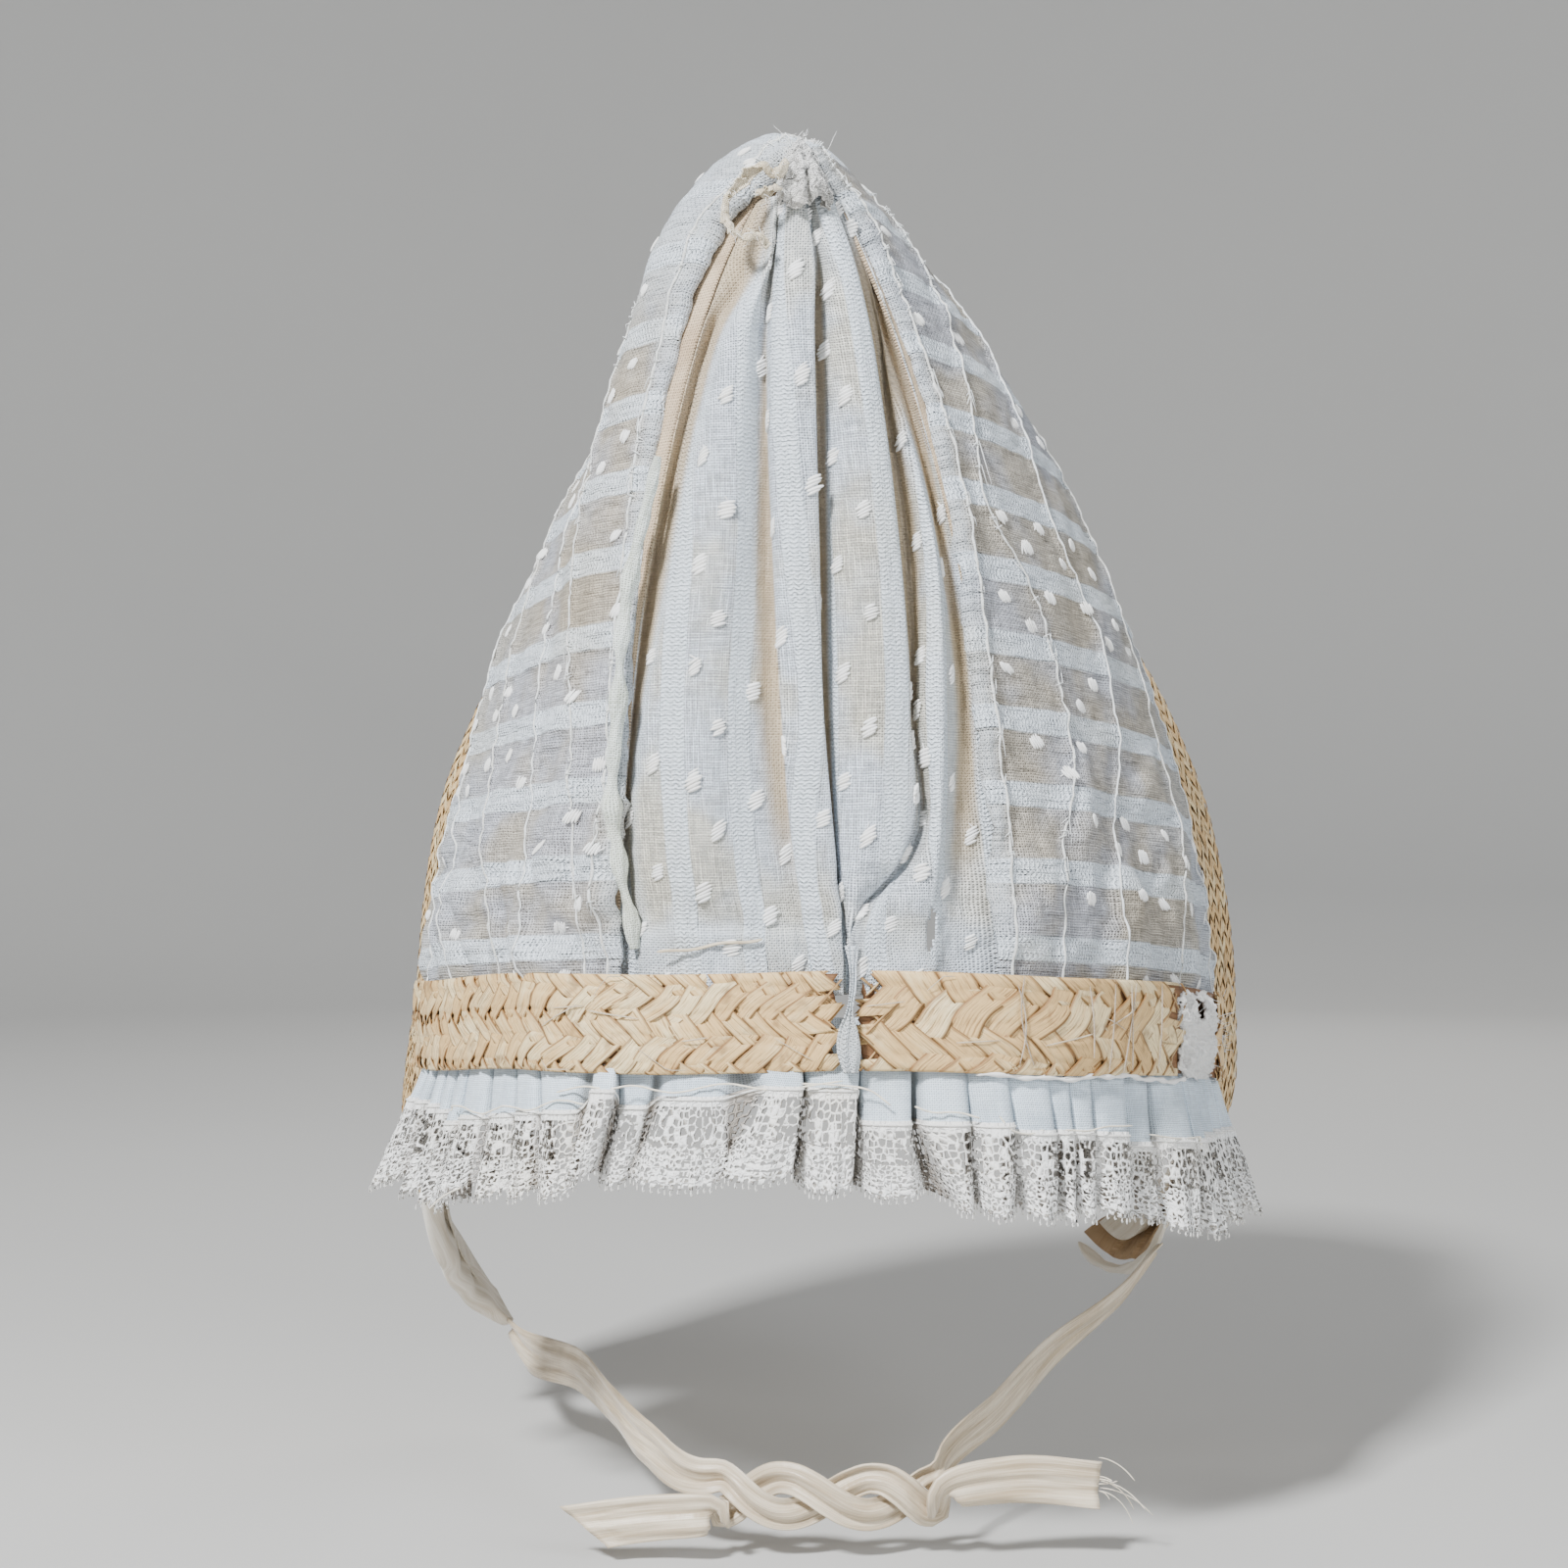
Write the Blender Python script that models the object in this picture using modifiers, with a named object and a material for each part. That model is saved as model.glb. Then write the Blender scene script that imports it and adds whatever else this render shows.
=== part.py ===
"""A poke bonnet of spotted muslin and plaited straw, in the form it has when it is worn.

A tall crown of muslin is drawn on cords over a stiff foundation and closed at the back by a
gathered panel. A plaited straw brim with a silk lining flares round the face, two lengths of
straw plait bind the neck edge over a pleated frill with a lace edging, and two satin ties meet
in a half knot at the nape.

The origin is the point of the crown of the head that the bonnet sits on. +Y is the way the face
looks, +X is to the right of someone behind the bonnet, and +Z is up. All sizes are in millimetres
and are turned into metres where the meshes are made.
"""
import math

import bpy
import numpy as np

MM = 0.001
COLLECTION = "poke_bonnet"

# Walls
CLOTH = 1.0             # one layer of muslin, silk or lace, with its turnings
STIFF_CLOTH = 1.2       # the foundation
PLAIT_WALL = 1.6        # one row of straw plait
RIBBON_WALL = 1.0

# Crown
BACK_Y = -100.0         # plane of the back seam
CROWN_BASE_Z = -56.0    # neck edge at the back
DROP_RIGHT = 15.0       # how much lower the neck edge is at the front, on the right
DROP_LEFT = 11.0        # and on the left
CROWN_DEPTH = 114.0     # from the back seam to the brim along the neck edge
APEX_LEAN = -5.0        # the peak leans to the left
HOOP_COLUMNS = ("at", "right", "left", "base_y", "top_y", "top_z", "round_right", "round_left")
HOOPS = (
    (0.0, 45.0, 54.0, 4.0, 8.0, 167.0, 1.20, 1.55),
    (0.2, 64.0, 70.0, 15.5, 30.0, 171.0, 1.45, 2.50),
    (0.4, 81.0, 84.0, 34.0, 54.0, 165.0, 1.75, 1.85),
    (0.6, 98.0, 98.0, 58.0, 78.0, 150.0, 1.90, 1.85),
    (0.8, 111.0, 111.0, 86.0, 100.0, 118.0, 1.95, 2.25),
    (1.0, 117.0, 118.0, 114.0, 116.0, 74.0, 1.90, 2.40),
)
RISES = (0.0, 0.09, 0.18, 0.27, 0.36, 0.45, 0.54, 0.63, 0.72, 0.82, 1.0)
CORD_PLACES = (0.03, 0.18, 0.345, 0.51, 0.675, 0.84, 0.965)
CORD_HALF_WIDTH = 0.011
CORD_HEIGHT = 1.1
COVER_LIFT = 1.6        # outer face of the cover above the crown's surface
FOUNDATION_LIFT = -0.3  # and that of the foundation
FOUNDATION_PLACES = (0.075, 0.18, 0.345, 0.51, 0.675, 0.84, 0.99)
FOUNDATION_TRIM = 2.0   # the foundation stops short of the neck edge
CROWN_MIDDLE = (0.0, -40.0, 0.0)

# Back panel: how far across each fold stands low, halfway and high, and how far out it stands
FOLDS = (
    (0.000, 0.000, 0.000, 0.0),
    (0.030, 0.065, 0.080, -9.0),
    (0.065, 0.135, 0.140, 1.5),
    (0.200, 0.275, 0.210, 5.5),
    (0.415, 0.430, 0.310, -5.0),
    (0.480, 0.505, 0.420, 5.5),
    (0.535, 0.570, 0.535, 5.0),
    (0.565, 0.602, 0.575, -6.5),
    (0.595, 0.636, 0.615, 2.5),
    (0.650, 0.720, 0.690, 5.5),
    (0.735, 0.815, 0.770, 4.5),
    (0.780, 0.872, 0.830, -9.0),
    (0.860, 0.935, 0.890, 2.0),
    (1.000, 1.000, 1.000, 0.0),
)
FOLD_HEIGHTS = (-40.0, 50.0, 120.0)
PANEL_LEVELS = (-55.0, -45.0, -30.0, -10.0, 12.0, 34.0, 56.0, 78.0, 98.0, 116.0, 132.0, 145.0, 155.0)
FULLNESS_LEVELS = (-55.0, -40.0, -15.0, 90.0, 155.0)
FULLNESS = (0.2, 0.4, 1.0, 0.9, 0.25)
FULL_WIDTH = 45.0       # where the panel is narrower its folds are shallower
PANEL_REACH = 1.0       # the panel's edges reach this far past the seam, inside the crown
PANEL_SET = -1.0        # depth of the panel's surface inside the seam
PANEL_TUCK = 5.0        # how far inside its edges stand
PANEL_BELLY = 5.0       # how far its middle stands out
BELLY_WIDTH = 60.0      # where the panel is narrower its middle stands out less
PANEL_MIDDLE = (0.0, 0.0, 50.0)

# Knot of cloth at the peak
APEX_KNOT_PLACE = (-6.5, -95.9, 161.9)
APEX_KNOT_HALF = (5.4, 3.9, 6.4)
APEX_KNOT_RIBS = 6
APEX_RIB_DEPTH = 0.12
APEX_TAPER = 0.45

# Brim: rows from its left corner over the top of the arch to its right corner
BRIM_COLUMNS = ("at", "rise", "edge_x", "edge_y", "edge_z", "belly_x", "belly_y", "belly_z")
BRIM = (
    (-1.00, -1.00, -104.0, 105.0, -182.0, -28.0, 14.0, -30.0),
    (-0.85, -0.50, -136.0, 104.0, -128.0, -10.0, 8.0, -14.0),
    (-0.68, 0.00, -134.0, 102.0, -70.0, 1.0, 2.0, -2.0),
    (-0.45, 0.27, -122.0, 111.0, 8.0, 4.0, 0.0, -1.0),
    (-0.25, 0.55, -87.0, 121.0, 65.0, 3.0, 0.0, -4.0),
    (0.00, 1.00, 0.0, 127.0, 103.0, 0.0, 0.0, -7.0),
    (0.25, 0.55, 93.0, 121.0, 62.0, -3.0, 0.0, -4.0),
    (0.45, 0.27, 126.0, 111.0, 7.0, -4.0, 0.0, -1.0),
    (0.68, 0.00, 139.0, 100.0, -72.0, -3.0, 0.0, 0.0),
    (0.85, -0.50, 131.0, 94.0, -119.0, 3.0, 4.0, -22.0),
    (1.00, -1.00, 88.0, 85.0, -148.0, 10.0, 8.0, -60.0),
)
ROOT_GAP_SIDE = 0.7     # from the crown's front edge to the root of the brim, at the sides
ROOT_GAP_TOP = 1.9      # and at the top, where the crown's front stands up
ROOT_DROP = (-2.0, 0.0, 14.0)   # how far the root runs on below the crown: inwards and down
BRIM_ROWS = 6           # rows of plait across the brim
ROW_COVER = 0.9         # share of a row that shows before the step to the next
BRIM_LAP = 1.2          # how far each row stands over the next
BRIM_STEPS = 17         # sections on each side of the brim
BRIM_MIDDLE = (0.0, 40.0, -40.0)

# Lining of the brim and binding of its corner
LINING_REACH = 0.985    # how near the lining runs to the corners
LINING_EDGES = (0.03, 0.975)
LINING_DEPTH = 1.0      # from the straw's inner face to the lining
LINING_FOLD = 3.0       # loose folds of silk near the corners
FOLDS_FROM = 0.72       # where they begin
FOLDS_OVER = 0.25       # and how far they take to grow
BINDING_OUT = 3.7       # middle of the corner binding beyond the straw
BINDING_RADIUS = 1.7
BINDING_REACH = (0.3, 0.98)

# Neck edge behind the back panel
NECK_SETBACK = 1.0
NECK_ROUND = 5.0        # how far the neck edge curves forward at the ends of the panel

# Frill and lace round the neck edge, by their level below the top of the crown's neck edge
FLUTES = 42
FRILL_LEVELS = (61.0, 74.0, 80.0, 90.0)
LACE_LEVELS = (90.5, 93.0, 100.0, 103.0, 109.5, 112.5)
PICOT = 1.5             # how far every other point of the lace hangs lower
FLUTE_LEVELS = (61.0, 74.0, 80.0, 90.0, 113.0)
FLUTE_DEPTHS = (0.7, 0.7, 2.2, 3.0, 4.0)
FLARE_LEVEL = 72.0      # the edging stands out from here down
FLARE_LENGTH = 41.0
FRILL_OFFSET = 1.9      # middle of the frill outside the neck path
FLARE_BACK = 3.0        # how far the edging stands out at its lower edge, at the back
FLARE_LEFT = 13.0       # and at the ends
FLARE_RIGHT = 7.0
LONGER_RIGHT = 0.15     # how much longer the edging hangs at its right end
EDGING_REACH = 0.965    # share of the neck path that the frill takes

# Straw bands
PLAIT_HEIGHT = 26.0
BAND_OFFSET = 6.05      # outer face of the band outside the neck path
BAND_TOP = 7.0          # the band's top edge above the crown's neck edge
BAND_GAP = (3.6, 7.2)   # torn ends of the two bands, to the right of the middle
BAND_LEFT_END = 0.99    # share of the left-hand path that its band takes
BAND_RIGHT_END = 0.90   # and the same on the right
TEARS = (0.6, -0.5, 0.9, -0.8, 0.4)
LEFT_TEAR = 1.4         # depth of the tears at each torn end
RIGHT_TEARS = (1.2, 1.4)
BAND_COLUMNS = 15

# Twisted scrap of muslin between the torn ends
TAB_COLUMNS = ("level", "outside", "aside")
TAB = (
    (-10.0, 7.2, 6.1),
    (-4.0, 7.8, 6.2),
    (4.0, 8.0, 5.5),
    (12.0, 7.4, 4.6),
    (17.0, 7.4, 5.6),
    (20.0, 7.4, 6.4),
)
TAB_RADIUS = 1.5

# Tuft of wadding beyond the end of the right-hand band
WADDING_AT = 0.93
WADDING_OUT = 3.9
WADDING_BELOW = 6.0
WADDING_HALF = (0.9, 4.2, 9.5)
WADDING_LUMPS = 0.10

# Ties: points of each from its corner of the brim, round the neck, to its tail: x, y, z and width
TIE_RIGHT_START = (
    (106.6, 47.9, -148.2, 9.0),
    (96.0, 31.0, -156.0, 12.5),
    (68.0, 0.0, -170.0, 12.5),
    (50.0, -30.0, -180.0, 12.5),
    (33.0, -57.0, -188.0, 10.0),
)
TIE_RIGHT_TAIL = (
    (-31.0, -71.0, -199.0, 11.0),
    (-48.0, -69.5, -200.5, 12.5),
    (-72.0, -68.0, -204.0, 12.5),
)
TIE_LEFT_START = (
    (-103.2, 102.0, -184.2, 9.0),
    (-96.0, 80.0, -186.0, 12.5),
    (-76.0, 36.0, -183.0, 12.5),
    (-62.0, -8.0, -184.0, 12.5),
    (-50.0, -40.0, -187.0, 12.5),
    (-34.0, -61.5, -191.0, 10.0),
)
TIE_LEFT_TAIL = (
    (33.0, -72.0, -193.0, 11.0),
    (50.0, -70.0, -190.0, 12.5),
    (75.0, -66.0, -192.0, 12.5),
)
TIE_STEP = 9.0          # length of one section of a ribbon
TIES_MIDDLE = (0.0, -10.0, -190.0)
KNOT_MIDDLE = (1.5, -68.5, -195.5)
KNOT_SPAN = 19.5        # between two crossings of the half knot
KNOT_SWING = 5.2        # half the height between the two ribbons in the knot
KNOT_DEPTH = 2.3        # half the depth between them where they cross
KNOT_WIDTH = 7.6        # the ribbon bunched in the knot
KNOT_BOW = 0.006        # how much the knot's ends bend forward, for each mm squared
KNOT_STEPS = 14


def clear_scene():
    """Start from nothing, and return the collection of the bonnet."""
    for thing in list(bpy.data.objects):
        bpy.data.objects.remove(thing, do_unlink=True)
    collection = bpy.data.collections.new(COLLECTION)
    bpy.context.scene.collection.children.link(collection)
    return collection


def make_material(name, colour, roughness):
    """A plain finish: a colour and how matt it is."""
    material = bpy.data.materials.new(name)
    material.use_nodes = True
    shader = material.node_tree.nodes["Principled BSDF"]
    shader.inputs["Base Color"].default_value = (*colour, 1.0)
    shader.inputs["Roughness"].default_value = roughness
    shader.inputs["Metallic"].default_value = 0.0
    return material


def curve_through(places, values, at):
    """The value at one place on a smooth curve through a table's values."""
    places = np.asarray(places, dtype=float)
    values = np.asarray(values, dtype=float)
    slopes = np.gradient(values, places, axis=0)
    index = int(np.clip(np.searchsorted(places, at) - 1, 0, len(places) - 2))
    step = places[index + 1] - places[index]
    f = float(np.clip((at - places[index]) / step, 0.0, 1.0))
    start = (1 + 2 * f) * (1 - f) ** 2
    end = f * f * (3 - 2 * f)
    leave = f * (1 - f) ** 2 * step
    arrive = f * f * (f - 1) * step
    return (start * values[index] + end * values[index + 1]
            + leave * slopes[index] + arrive * slopes[index + 1])


def read_table(columns, rows, at):
    """Every named column of a table at one place between its rows; the first column is the place."""
    places = [row[0] for row in rows]
    values = curve_through(places, [row[1:] for row in rows], at)
    return dict(zip(columns[1:], values))


def base_z(y, side):
    """Height of the crown's neck edge at a depth, on one side."""
    drop = DROP_RIGHT if side > 0 else DROP_LEFT
    return CROWN_BASE_Z - drop * (y - BACK_Y) / CROWN_DEPTH


def hoop_reach(hoop, lift, side):
    """Half width of a hoop at a share of its height."""
    width = hoop["right"] if side > 0 else hoop["left"]
    roundness = hoop["round_right"] if side > 0 else hoop["round_left"]
    return width * max(0.0, 1.0 - lift * lift) ** (1.0 / roundness)


def crown_point(at, rise, side):
    """A point of the crown: at runs from the back seam to the brim, rise from neck to ridge."""
    hoop = read_table(HOOP_COLUMNS, HOOPS, at)
    lift = math.sin(rise * math.pi / 2)
    foot_z = base_z(BACK_Y + hoop["base_y"], side)
    lean = APEX_LEAN * lift * lift * (1.0 - at)
    return np.array((
        side * hoop_reach(hoop, lift, side) + lean,
        BACK_Y + hoop["base_y"] + (hoop["top_y"] - hoop["base_y"]) * lift,
        foot_z + (hoop["top_z"] - foot_z) * lift,
    ))


def arch_stations():
    """Side and rise of each row of the crown, from the left neck edge over the ridge."""
    left = [(-1, rise) for rise in RISES]
    right = [(1, rise) for rise in reversed(RISES[:-1])]
    return left + right


def grid_normals(grid, centre):
    """Unit normals of a grid of points, pointing away from a centre."""
    along = np.gradient(grid, axis=0)
    across = np.gradient(grid, axis=1)
    normals = np.cross(along, across)
    normals /= np.linalg.norm(normals, axis=2, keepdims=True) + 1e-12
    away = np.einsum("ijk,ijk->ij", normals, grid - np.asarray(centre))
    normals[away < 0] *= -1
    return normals


def crown_grid(places, lifts):
    """Rows over the arch and columns from back to front, each column lifted off the surface."""
    grid = np.array([[crown_point(at, rise, side) for at in places]
                     for side, rise in arch_stations()])
    normals = grid_normals(grid, CROWN_MIDDLE)
    return grid + normals * np.asarray(lifts)[None, :, None]


def link(collection, name, mesh, material):
    """Put a mesh in the scene as one named piece."""
    piece = bpy.data.objects.new(name, mesh)
    piece.data.materials.append(material)
    collection.objects.link(piece)
    return piece


def grid_faces(rows, columns, skip=()):
    """Four-sided faces of a grid of points, without the cells that are cut away."""
    return [
        (i * columns + j, i * columns + j + 1, (i + 1) * columns + j + 1, (i + 1) * columns + j)
        for i in range(rows - 1) for j in range(columns - 1) if (i, j) not in skip
    ]


def cloth(collection, name, grid, wall, material, centre, skip=()):
    """A sheet lofted through a grid of points, given its wall on the side of a centre."""
    rows, columns = grid.shape[:2]
    faces = grid_faces(rows, columns, skip)
    a, b, c = (grid.reshape(-1, 3)[list(corner)] for corner in zip(*[face[:3] for face in faces]))
    outward = np.einsum("ij,ij->i", np.cross(b - a, c - a), a - np.asarray(centre)).sum()
    if outward < 0:
        faces = [tuple(reversed(face)) for face in faces]
    mesh = bpy.data.meshes.new(name)
    mesh.from_pydata((grid.reshape(-1, 3) * MM).tolist(), [], faces)
    piece = link(collection, name, mesh, material)
    solidify = piece.modifiers.new("wall", "SOLIDIFY")
    solidify.thickness = wall * MM
    solidify.offset = -1.0
    mesh.shade_smooth()
    return piece


def tube(collection, name, points, radius, material):
    """A round cord along a list of points, with its ends closed."""
    curve = bpy.data.curves.new(name, "CURVE")
    curve.dimensions = "3D"
    spline = curve.splines.new("POLY")
    spline.points.add(len(points) - 1)
    for place, point in zip(spline.points, points):
        place.co = (*(np.asarray(point) * MM), 1.0)
    curve.bevel_depth = radius * MM
    curve.bevel_resolution = 2
    curve.use_fill_caps = True
    piece = bpy.data.objects.new(name, curve)
    piece.data.materials.append(material)
    collection.objects.link(piece)
    return piece


def lump(collection, name, segments, rings, material):
    """A ball of radius one at the origin, to be shaped by hand."""
    bpy.ops.mesh.primitive_uv_sphere_add(segments=segments, ring_count=rings, radius=1.0)
    piece = bpy.context.object
    piece.name = name
    piece.data.name = name
    piece.data.materials.append(material)
    piece.data.shade_smooth()
    for holder in list(piece.users_collection):
        holder.objects.unlink(piece)
    collection.objects.link(piece)
    return piece


def build_foundation(collection, material):
    """The stiff tan shell that the muslin is drawn over, open at the back and at the neck."""
    grid = crown_grid(FOUNDATION_PLACES, [FOUNDATION_LIFT] * len(FOUNDATION_PLACES))
    for edge in (0, -1):
        grid[edge, :, 2] += FOUNDATION_TRIM
    return cloth(collection, "crown_foundation", grid, STIFF_CLOTH, material, CROWN_MIDDLE)


def build_cover(collection, material):
    """The muslin of the crown with its raised cord channels."""
    places = [0.0]
    lifts = [COVER_LIFT]
    for cord in CORD_PLACES:
        places += [cord - CORD_HALF_WIDTH, cord, cord + CORD_HALF_WIDTH]
        lifts += [COVER_LIFT, COVER_LIFT + CORD_HEIGHT, COVER_LIFT]
    places.append(1.0)
    lifts.append(COVER_LIFT)
    grid = crown_grid(places, lifts)
    return cloth(collection, "crown_cover", grid, CLOTH, material, CROWN_MIDDLE)


def panel_edges(z):
    """Left and right edge of the back panel at a height, and the depth of the seam there."""
    hoop = read_table(HOOP_COLUMNS, HOOPS, 0.0)
    lift = (z - CROWN_BASE_Z) / (hoop["top_z"] - CROWN_BASE_Z)
    lean = APEX_LEAN * lift * lift
    left = lean - hoop_reach(hoop, lift, -1) - PANEL_REACH
    right = lean + hoop_reach(hoop, lift, 1) + PANEL_REACH
    y = BACK_Y + hoop["base_y"] + (hoop["top_y"] - hoop["base_y"]) * lift
    return left, right, y


def panel_point(across, z):
    """A point of the gathered back panel; across runs along the cloth from fold to fold."""
    column = curve_through(range(len(FOLDS)), FOLDS, across * (len(FOLDS) - 1))
    place = float(np.interp(z, FOLD_HEIGHTS, column[:3]))
    left, right, seam_y = panel_edges(z)
    width = right - left
    fullness = float(np.interp(z, FULLNESS_LEVELS, FULLNESS)) * min(1.0, width / FULL_WIDTH)
    inward = (2.0 * place - 1.0) ** 4
    belly = PANEL_BELLY * (1.0 - inward) * min(1.0, width / BELLY_WIDTH)
    y = seam_y + PANEL_SET + PANEL_TUCK * inward - belly - fullness * column[3]
    return (left + place * width, y, z)


def build_panel(collection, material):
    """The back panel that hangs in soft folds from the peak to the neck."""
    columns = 2 * (len(FOLDS) - 1) + 1
    grid = np.array([[panel_point(j / (columns - 1), z) for j in range(columns)] for z in PANEL_LEVELS])
    return cloth(collection, "back_panel", grid, CLOTH, material, PANEL_MIDDLE)


def build_apex_knot(collection, material):
    """The gathered knot of cloth at the peak."""
    knot = lump(collection, "apex_knot", 12, 7, material)
    half_x, half_y, half_z = (size * MM for size in APEX_KNOT_HALF)
    for vertex in knot.data.vertices:
        angle = math.atan2(vertex.co.y, vertex.co.x)
        ribs = 1.0 + APEX_RIB_DEPTH * math.cos(APEX_KNOT_RIBS * angle)
        taper = 1.0 - APEX_TAPER * max(0.0, vertex.co.z)
        vertex.co.x *= ribs * taper * half_x
        vertex.co.y *= ribs * taper * half_y
        vertex.co.z *= half_z
    knot.location = [place * MM for place in APEX_KNOT_PLACE]
    return knot


def neck_path():
    """The neck edge in plan from the left end to the right, and its length from the middle."""
    places = np.linspace(1.0, 0.0, 25)
    left = [crown_point(at, 0.0, -1) for at in places]
    right = [crown_point(at, 0.0, 1) for at in reversed(places)]
    seam = read_table(HOOP_COLUMNS, HOOPS, 0.0)
    middle = []
    for share in np.linspace(-0.9, 0.9, 15):
        width = seam["right"] if share > 0 else seam["left"]
        y = BACK_Y - NECK_SETBACK + NECK_ROUND * share * share
        middle.append(np.array((share * width, y, base_z(y, share))))
    path = np.array(left + middle + right)
    steps = np.linalg.norm(np.diff(path[:, :2], axis=0), axis=1)
    length = np.concatenate(([0.0], np.cumsum(steps)))
    return path, length - np.interp(0.0, path[:, 0], length)


NECK, NECK_LENGTH = neck_path()
NECK_LEFT, NECK_RIGHT = NECK_LENGTH[0], NECK_LENGTH[-1]


def neck_point(distance, offset, below):
    """A point at a distance along the neck edge, so far outside it and below it."""
    here = np.array([np.interp(distance, NECK_LENGTH, NECK[:, k]) for k in range(3)])
    before, after = (np.array([np.interp(distance + step, NECK_LENGTH, NECK[:, k]) for k in range(2)])
                     for step in (-3.0, 3.0))
    tangent = (after - before) / np.linalg.norm(after - before)
    outward = np.array((tangent[1], -tangent[0]))
    x, y = here[:2] + offset * outward
    return (x, y, here[2] - below)


def build_band(collection, name, ends, tear_depths, material):
    """One length of straw plait round the neck, with torn ends where the plait has broken."""
    levels = np.linspace(-BAND_TOP, PLAIT_HEIGHT - BAND_TOP, len(TEARS))
    grid = []
    for level, tear in zip(levels, TEARS):
        first, last = (end + tear * depth for end, depth in zip(ends, tear_depths))
        distances = np.linspace(first, last, BAND_COLUMNS)
        grid.append([neck_point(distance, BAND_OFFSET, level) for distance in distances])
    return cloth(collection, name, np.array(grid), PLAIT_WALL, material, (0.0, -20.0, -60.0))


def edging_column(index):
    """Distance along the neck of one fold edge of the frill; folds are wider near the middle."""
    share = index / FLUTES - 1.0
    spread = share + 0.06 * math.sin(math.pi * share) + 0.006 * math.sin(11.0 * share + 1.0)
    end = NECK_RIGHT if share > 0 else -NECK_LEFT
    return spread * end * EDGING_REACH


def edging_point(index, level):
    """A point of the frill or of the lace: alternate columns are crests and hollows."""
    distance = edging_column(index)
    side = abs(distance) / NECK_RIGHT
    crest = 1.0 if index % 2 else -1.0
    wave = crest * float(np.interp(level, FLUTE_LEVELS, FLUTE_DEPTHS)) * (0.8 + 0.2 * math.sin(1.7 * index))
    flare_end = FLARE_RIGHT if distance > 0 else FLARE_LEFT
    flare = FLARE_BACK + (flare_end - FLARE_BACK) * side ** 2
    drop = max(0.0, level - FLARE_LEVEL) / FLARE_LENGTH
    longer = 1.0 + LONGER_RIGHT * side ** 2 * (distance > 0)
    below = CROWN_BASE_Z + FRILL_LEVELS[0] + (level - FRILL_LEVELS[0]) * longer
    return neck_point(distance, FRILL_OFFSET + flare * drop ** 1.2 + wave, below)


def edging_grid(levels):
    """A grid of the edging at a list of levels."""
    return np.array([[edging_point(j, level) for j in range(2 * FLUTES + 1)] for level in levels])


def build_frill(collection, material):
    """The pleated muslin frill under the straw band."""
    return cloth(collection, "frill", edging_grid(FRILL_LEVELS), CLOTH, material, (0.0, -20.0, -80.0))


def build_lace(collection, material):
    """The lace edging, pierced by a row of mesh holes and a row of slits below it."""
    grid = edging_grid(LACE_LEVELS)
    grid[-1, 1::2, 2] -= PICOT
    mesh_row = {(1, j) for j in range(0, 2 * FLUTES, 2)}
    slit_row = {(3, j) for j in range(1, 2 * FLUTES, 2)}
    return cloth(collection, "lace_edging", grid, CLOTH, material, (0.0, -20.0, -100.0),
                 mesh_row | slit_row)


def brim_root(rise, side):
    """A point of the brim's root, which runs on a little below the crown."""
    on_crown = min(1.0, max(0.0, rise))
    point = crown_point(1.0, on_crown, side)
    point[1] += ROOT_GAP_SIDE + (ROOT_GAP_TOP - ROOT_GAP_SIDE) * on_crown
    if rise < 0:
        inward, forward, down = ROOT_DROP
        point += -rise * np.array((inward * side, forward, -down))
    return point


def brim_point(at, across):
    """A point of the brim: at from -1, the left corner, to 1, across from root to edge."""
    row = read_table(BRIM_COLUMNS, BRIM, at)
    root = brim_root(row["rise"], 1 if at > 0 else -1)
    edge = np.array((row["edge_x"], row["edge_y"], row["edge_z"]))
    bend = (root + edge) / 2 + np.array((row["belly_x"], row["belly_y"], row["belly_z"]))
    f = across
    return root * (1 - f) ** 2 + bend * 2 * f * (1 - f) + edge * f * f


def brim_grid(places, across, offsets):
    """A grid over the brim, each line of it lifted off the middle of the straw."""
    grid = np.array([[brim_point(at, f) for f in across] for at in places])
    return grid + grid_normals(grid, BRIM_MIDDLE) * np.asarray(offsets)[..., None]


def build_brim(collection, material):
    """The straw brim: rows of plait, each lapping over the next."""
    places = np.linspace(-1.0, 1.0, 2 * BRIM_STEPS + 1)
    across, offsets = [], []
    for row in range(BRIM_ROWS):
        across += [row / BRIM_ROWS, (row + ROW_COVER) / BRIM_ROWS]
        offsets += [0.0, BRIM_LAP]
    across[-1] = 1.0
    grid = brim_grid(places, across, np.array(offsets)[None, :])
    return cloth(collection, "straw_brim", grid, PLAIT_WALL, material, BRIM_MIDDLE)


def build_lining(collection, material):
    """The silk lining inside the brim, loose in folds near its corners."""
    places = np.linspace(-LINING_REACH, LINING_REACH, 2 * BRIM_STEPS + 1)
    across = np.linspace(*LINING_EDGES, 5)
    near_corner = np.clip((np.abs(places) - FOLDS_FROM) / FOLDS_OVER, 0.0, 1.0)[:, None]
    loose = LINING_FOLD * near_corner * (np.arange(len(places)) % 2)[:, None]
    offsets = -PLAIT_WALL - LINING_DEPTH - loose * np.sin(math.pi * across)[None, :]
    return cloth(collection, "brim_lining", brim_grid(places, across, offsets), CLOTH, material, BRIM_MIDDLE)


def build_binding(collection, material):
    """The roll of silk that binds the lower right corner of the brim."""
    points = []
    for f in np.linspace(*BINDING_REACH, 12):
        below = brim_point(1.0, f) - brim_point(0.985, f)
        below /= np.linalg.norm(below)
        points.append(brim_point(1.0, f) + below * BINDING_OUT)
    return tube(collection, "corner_binding", points, BINDING_RADIUS, material)


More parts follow.
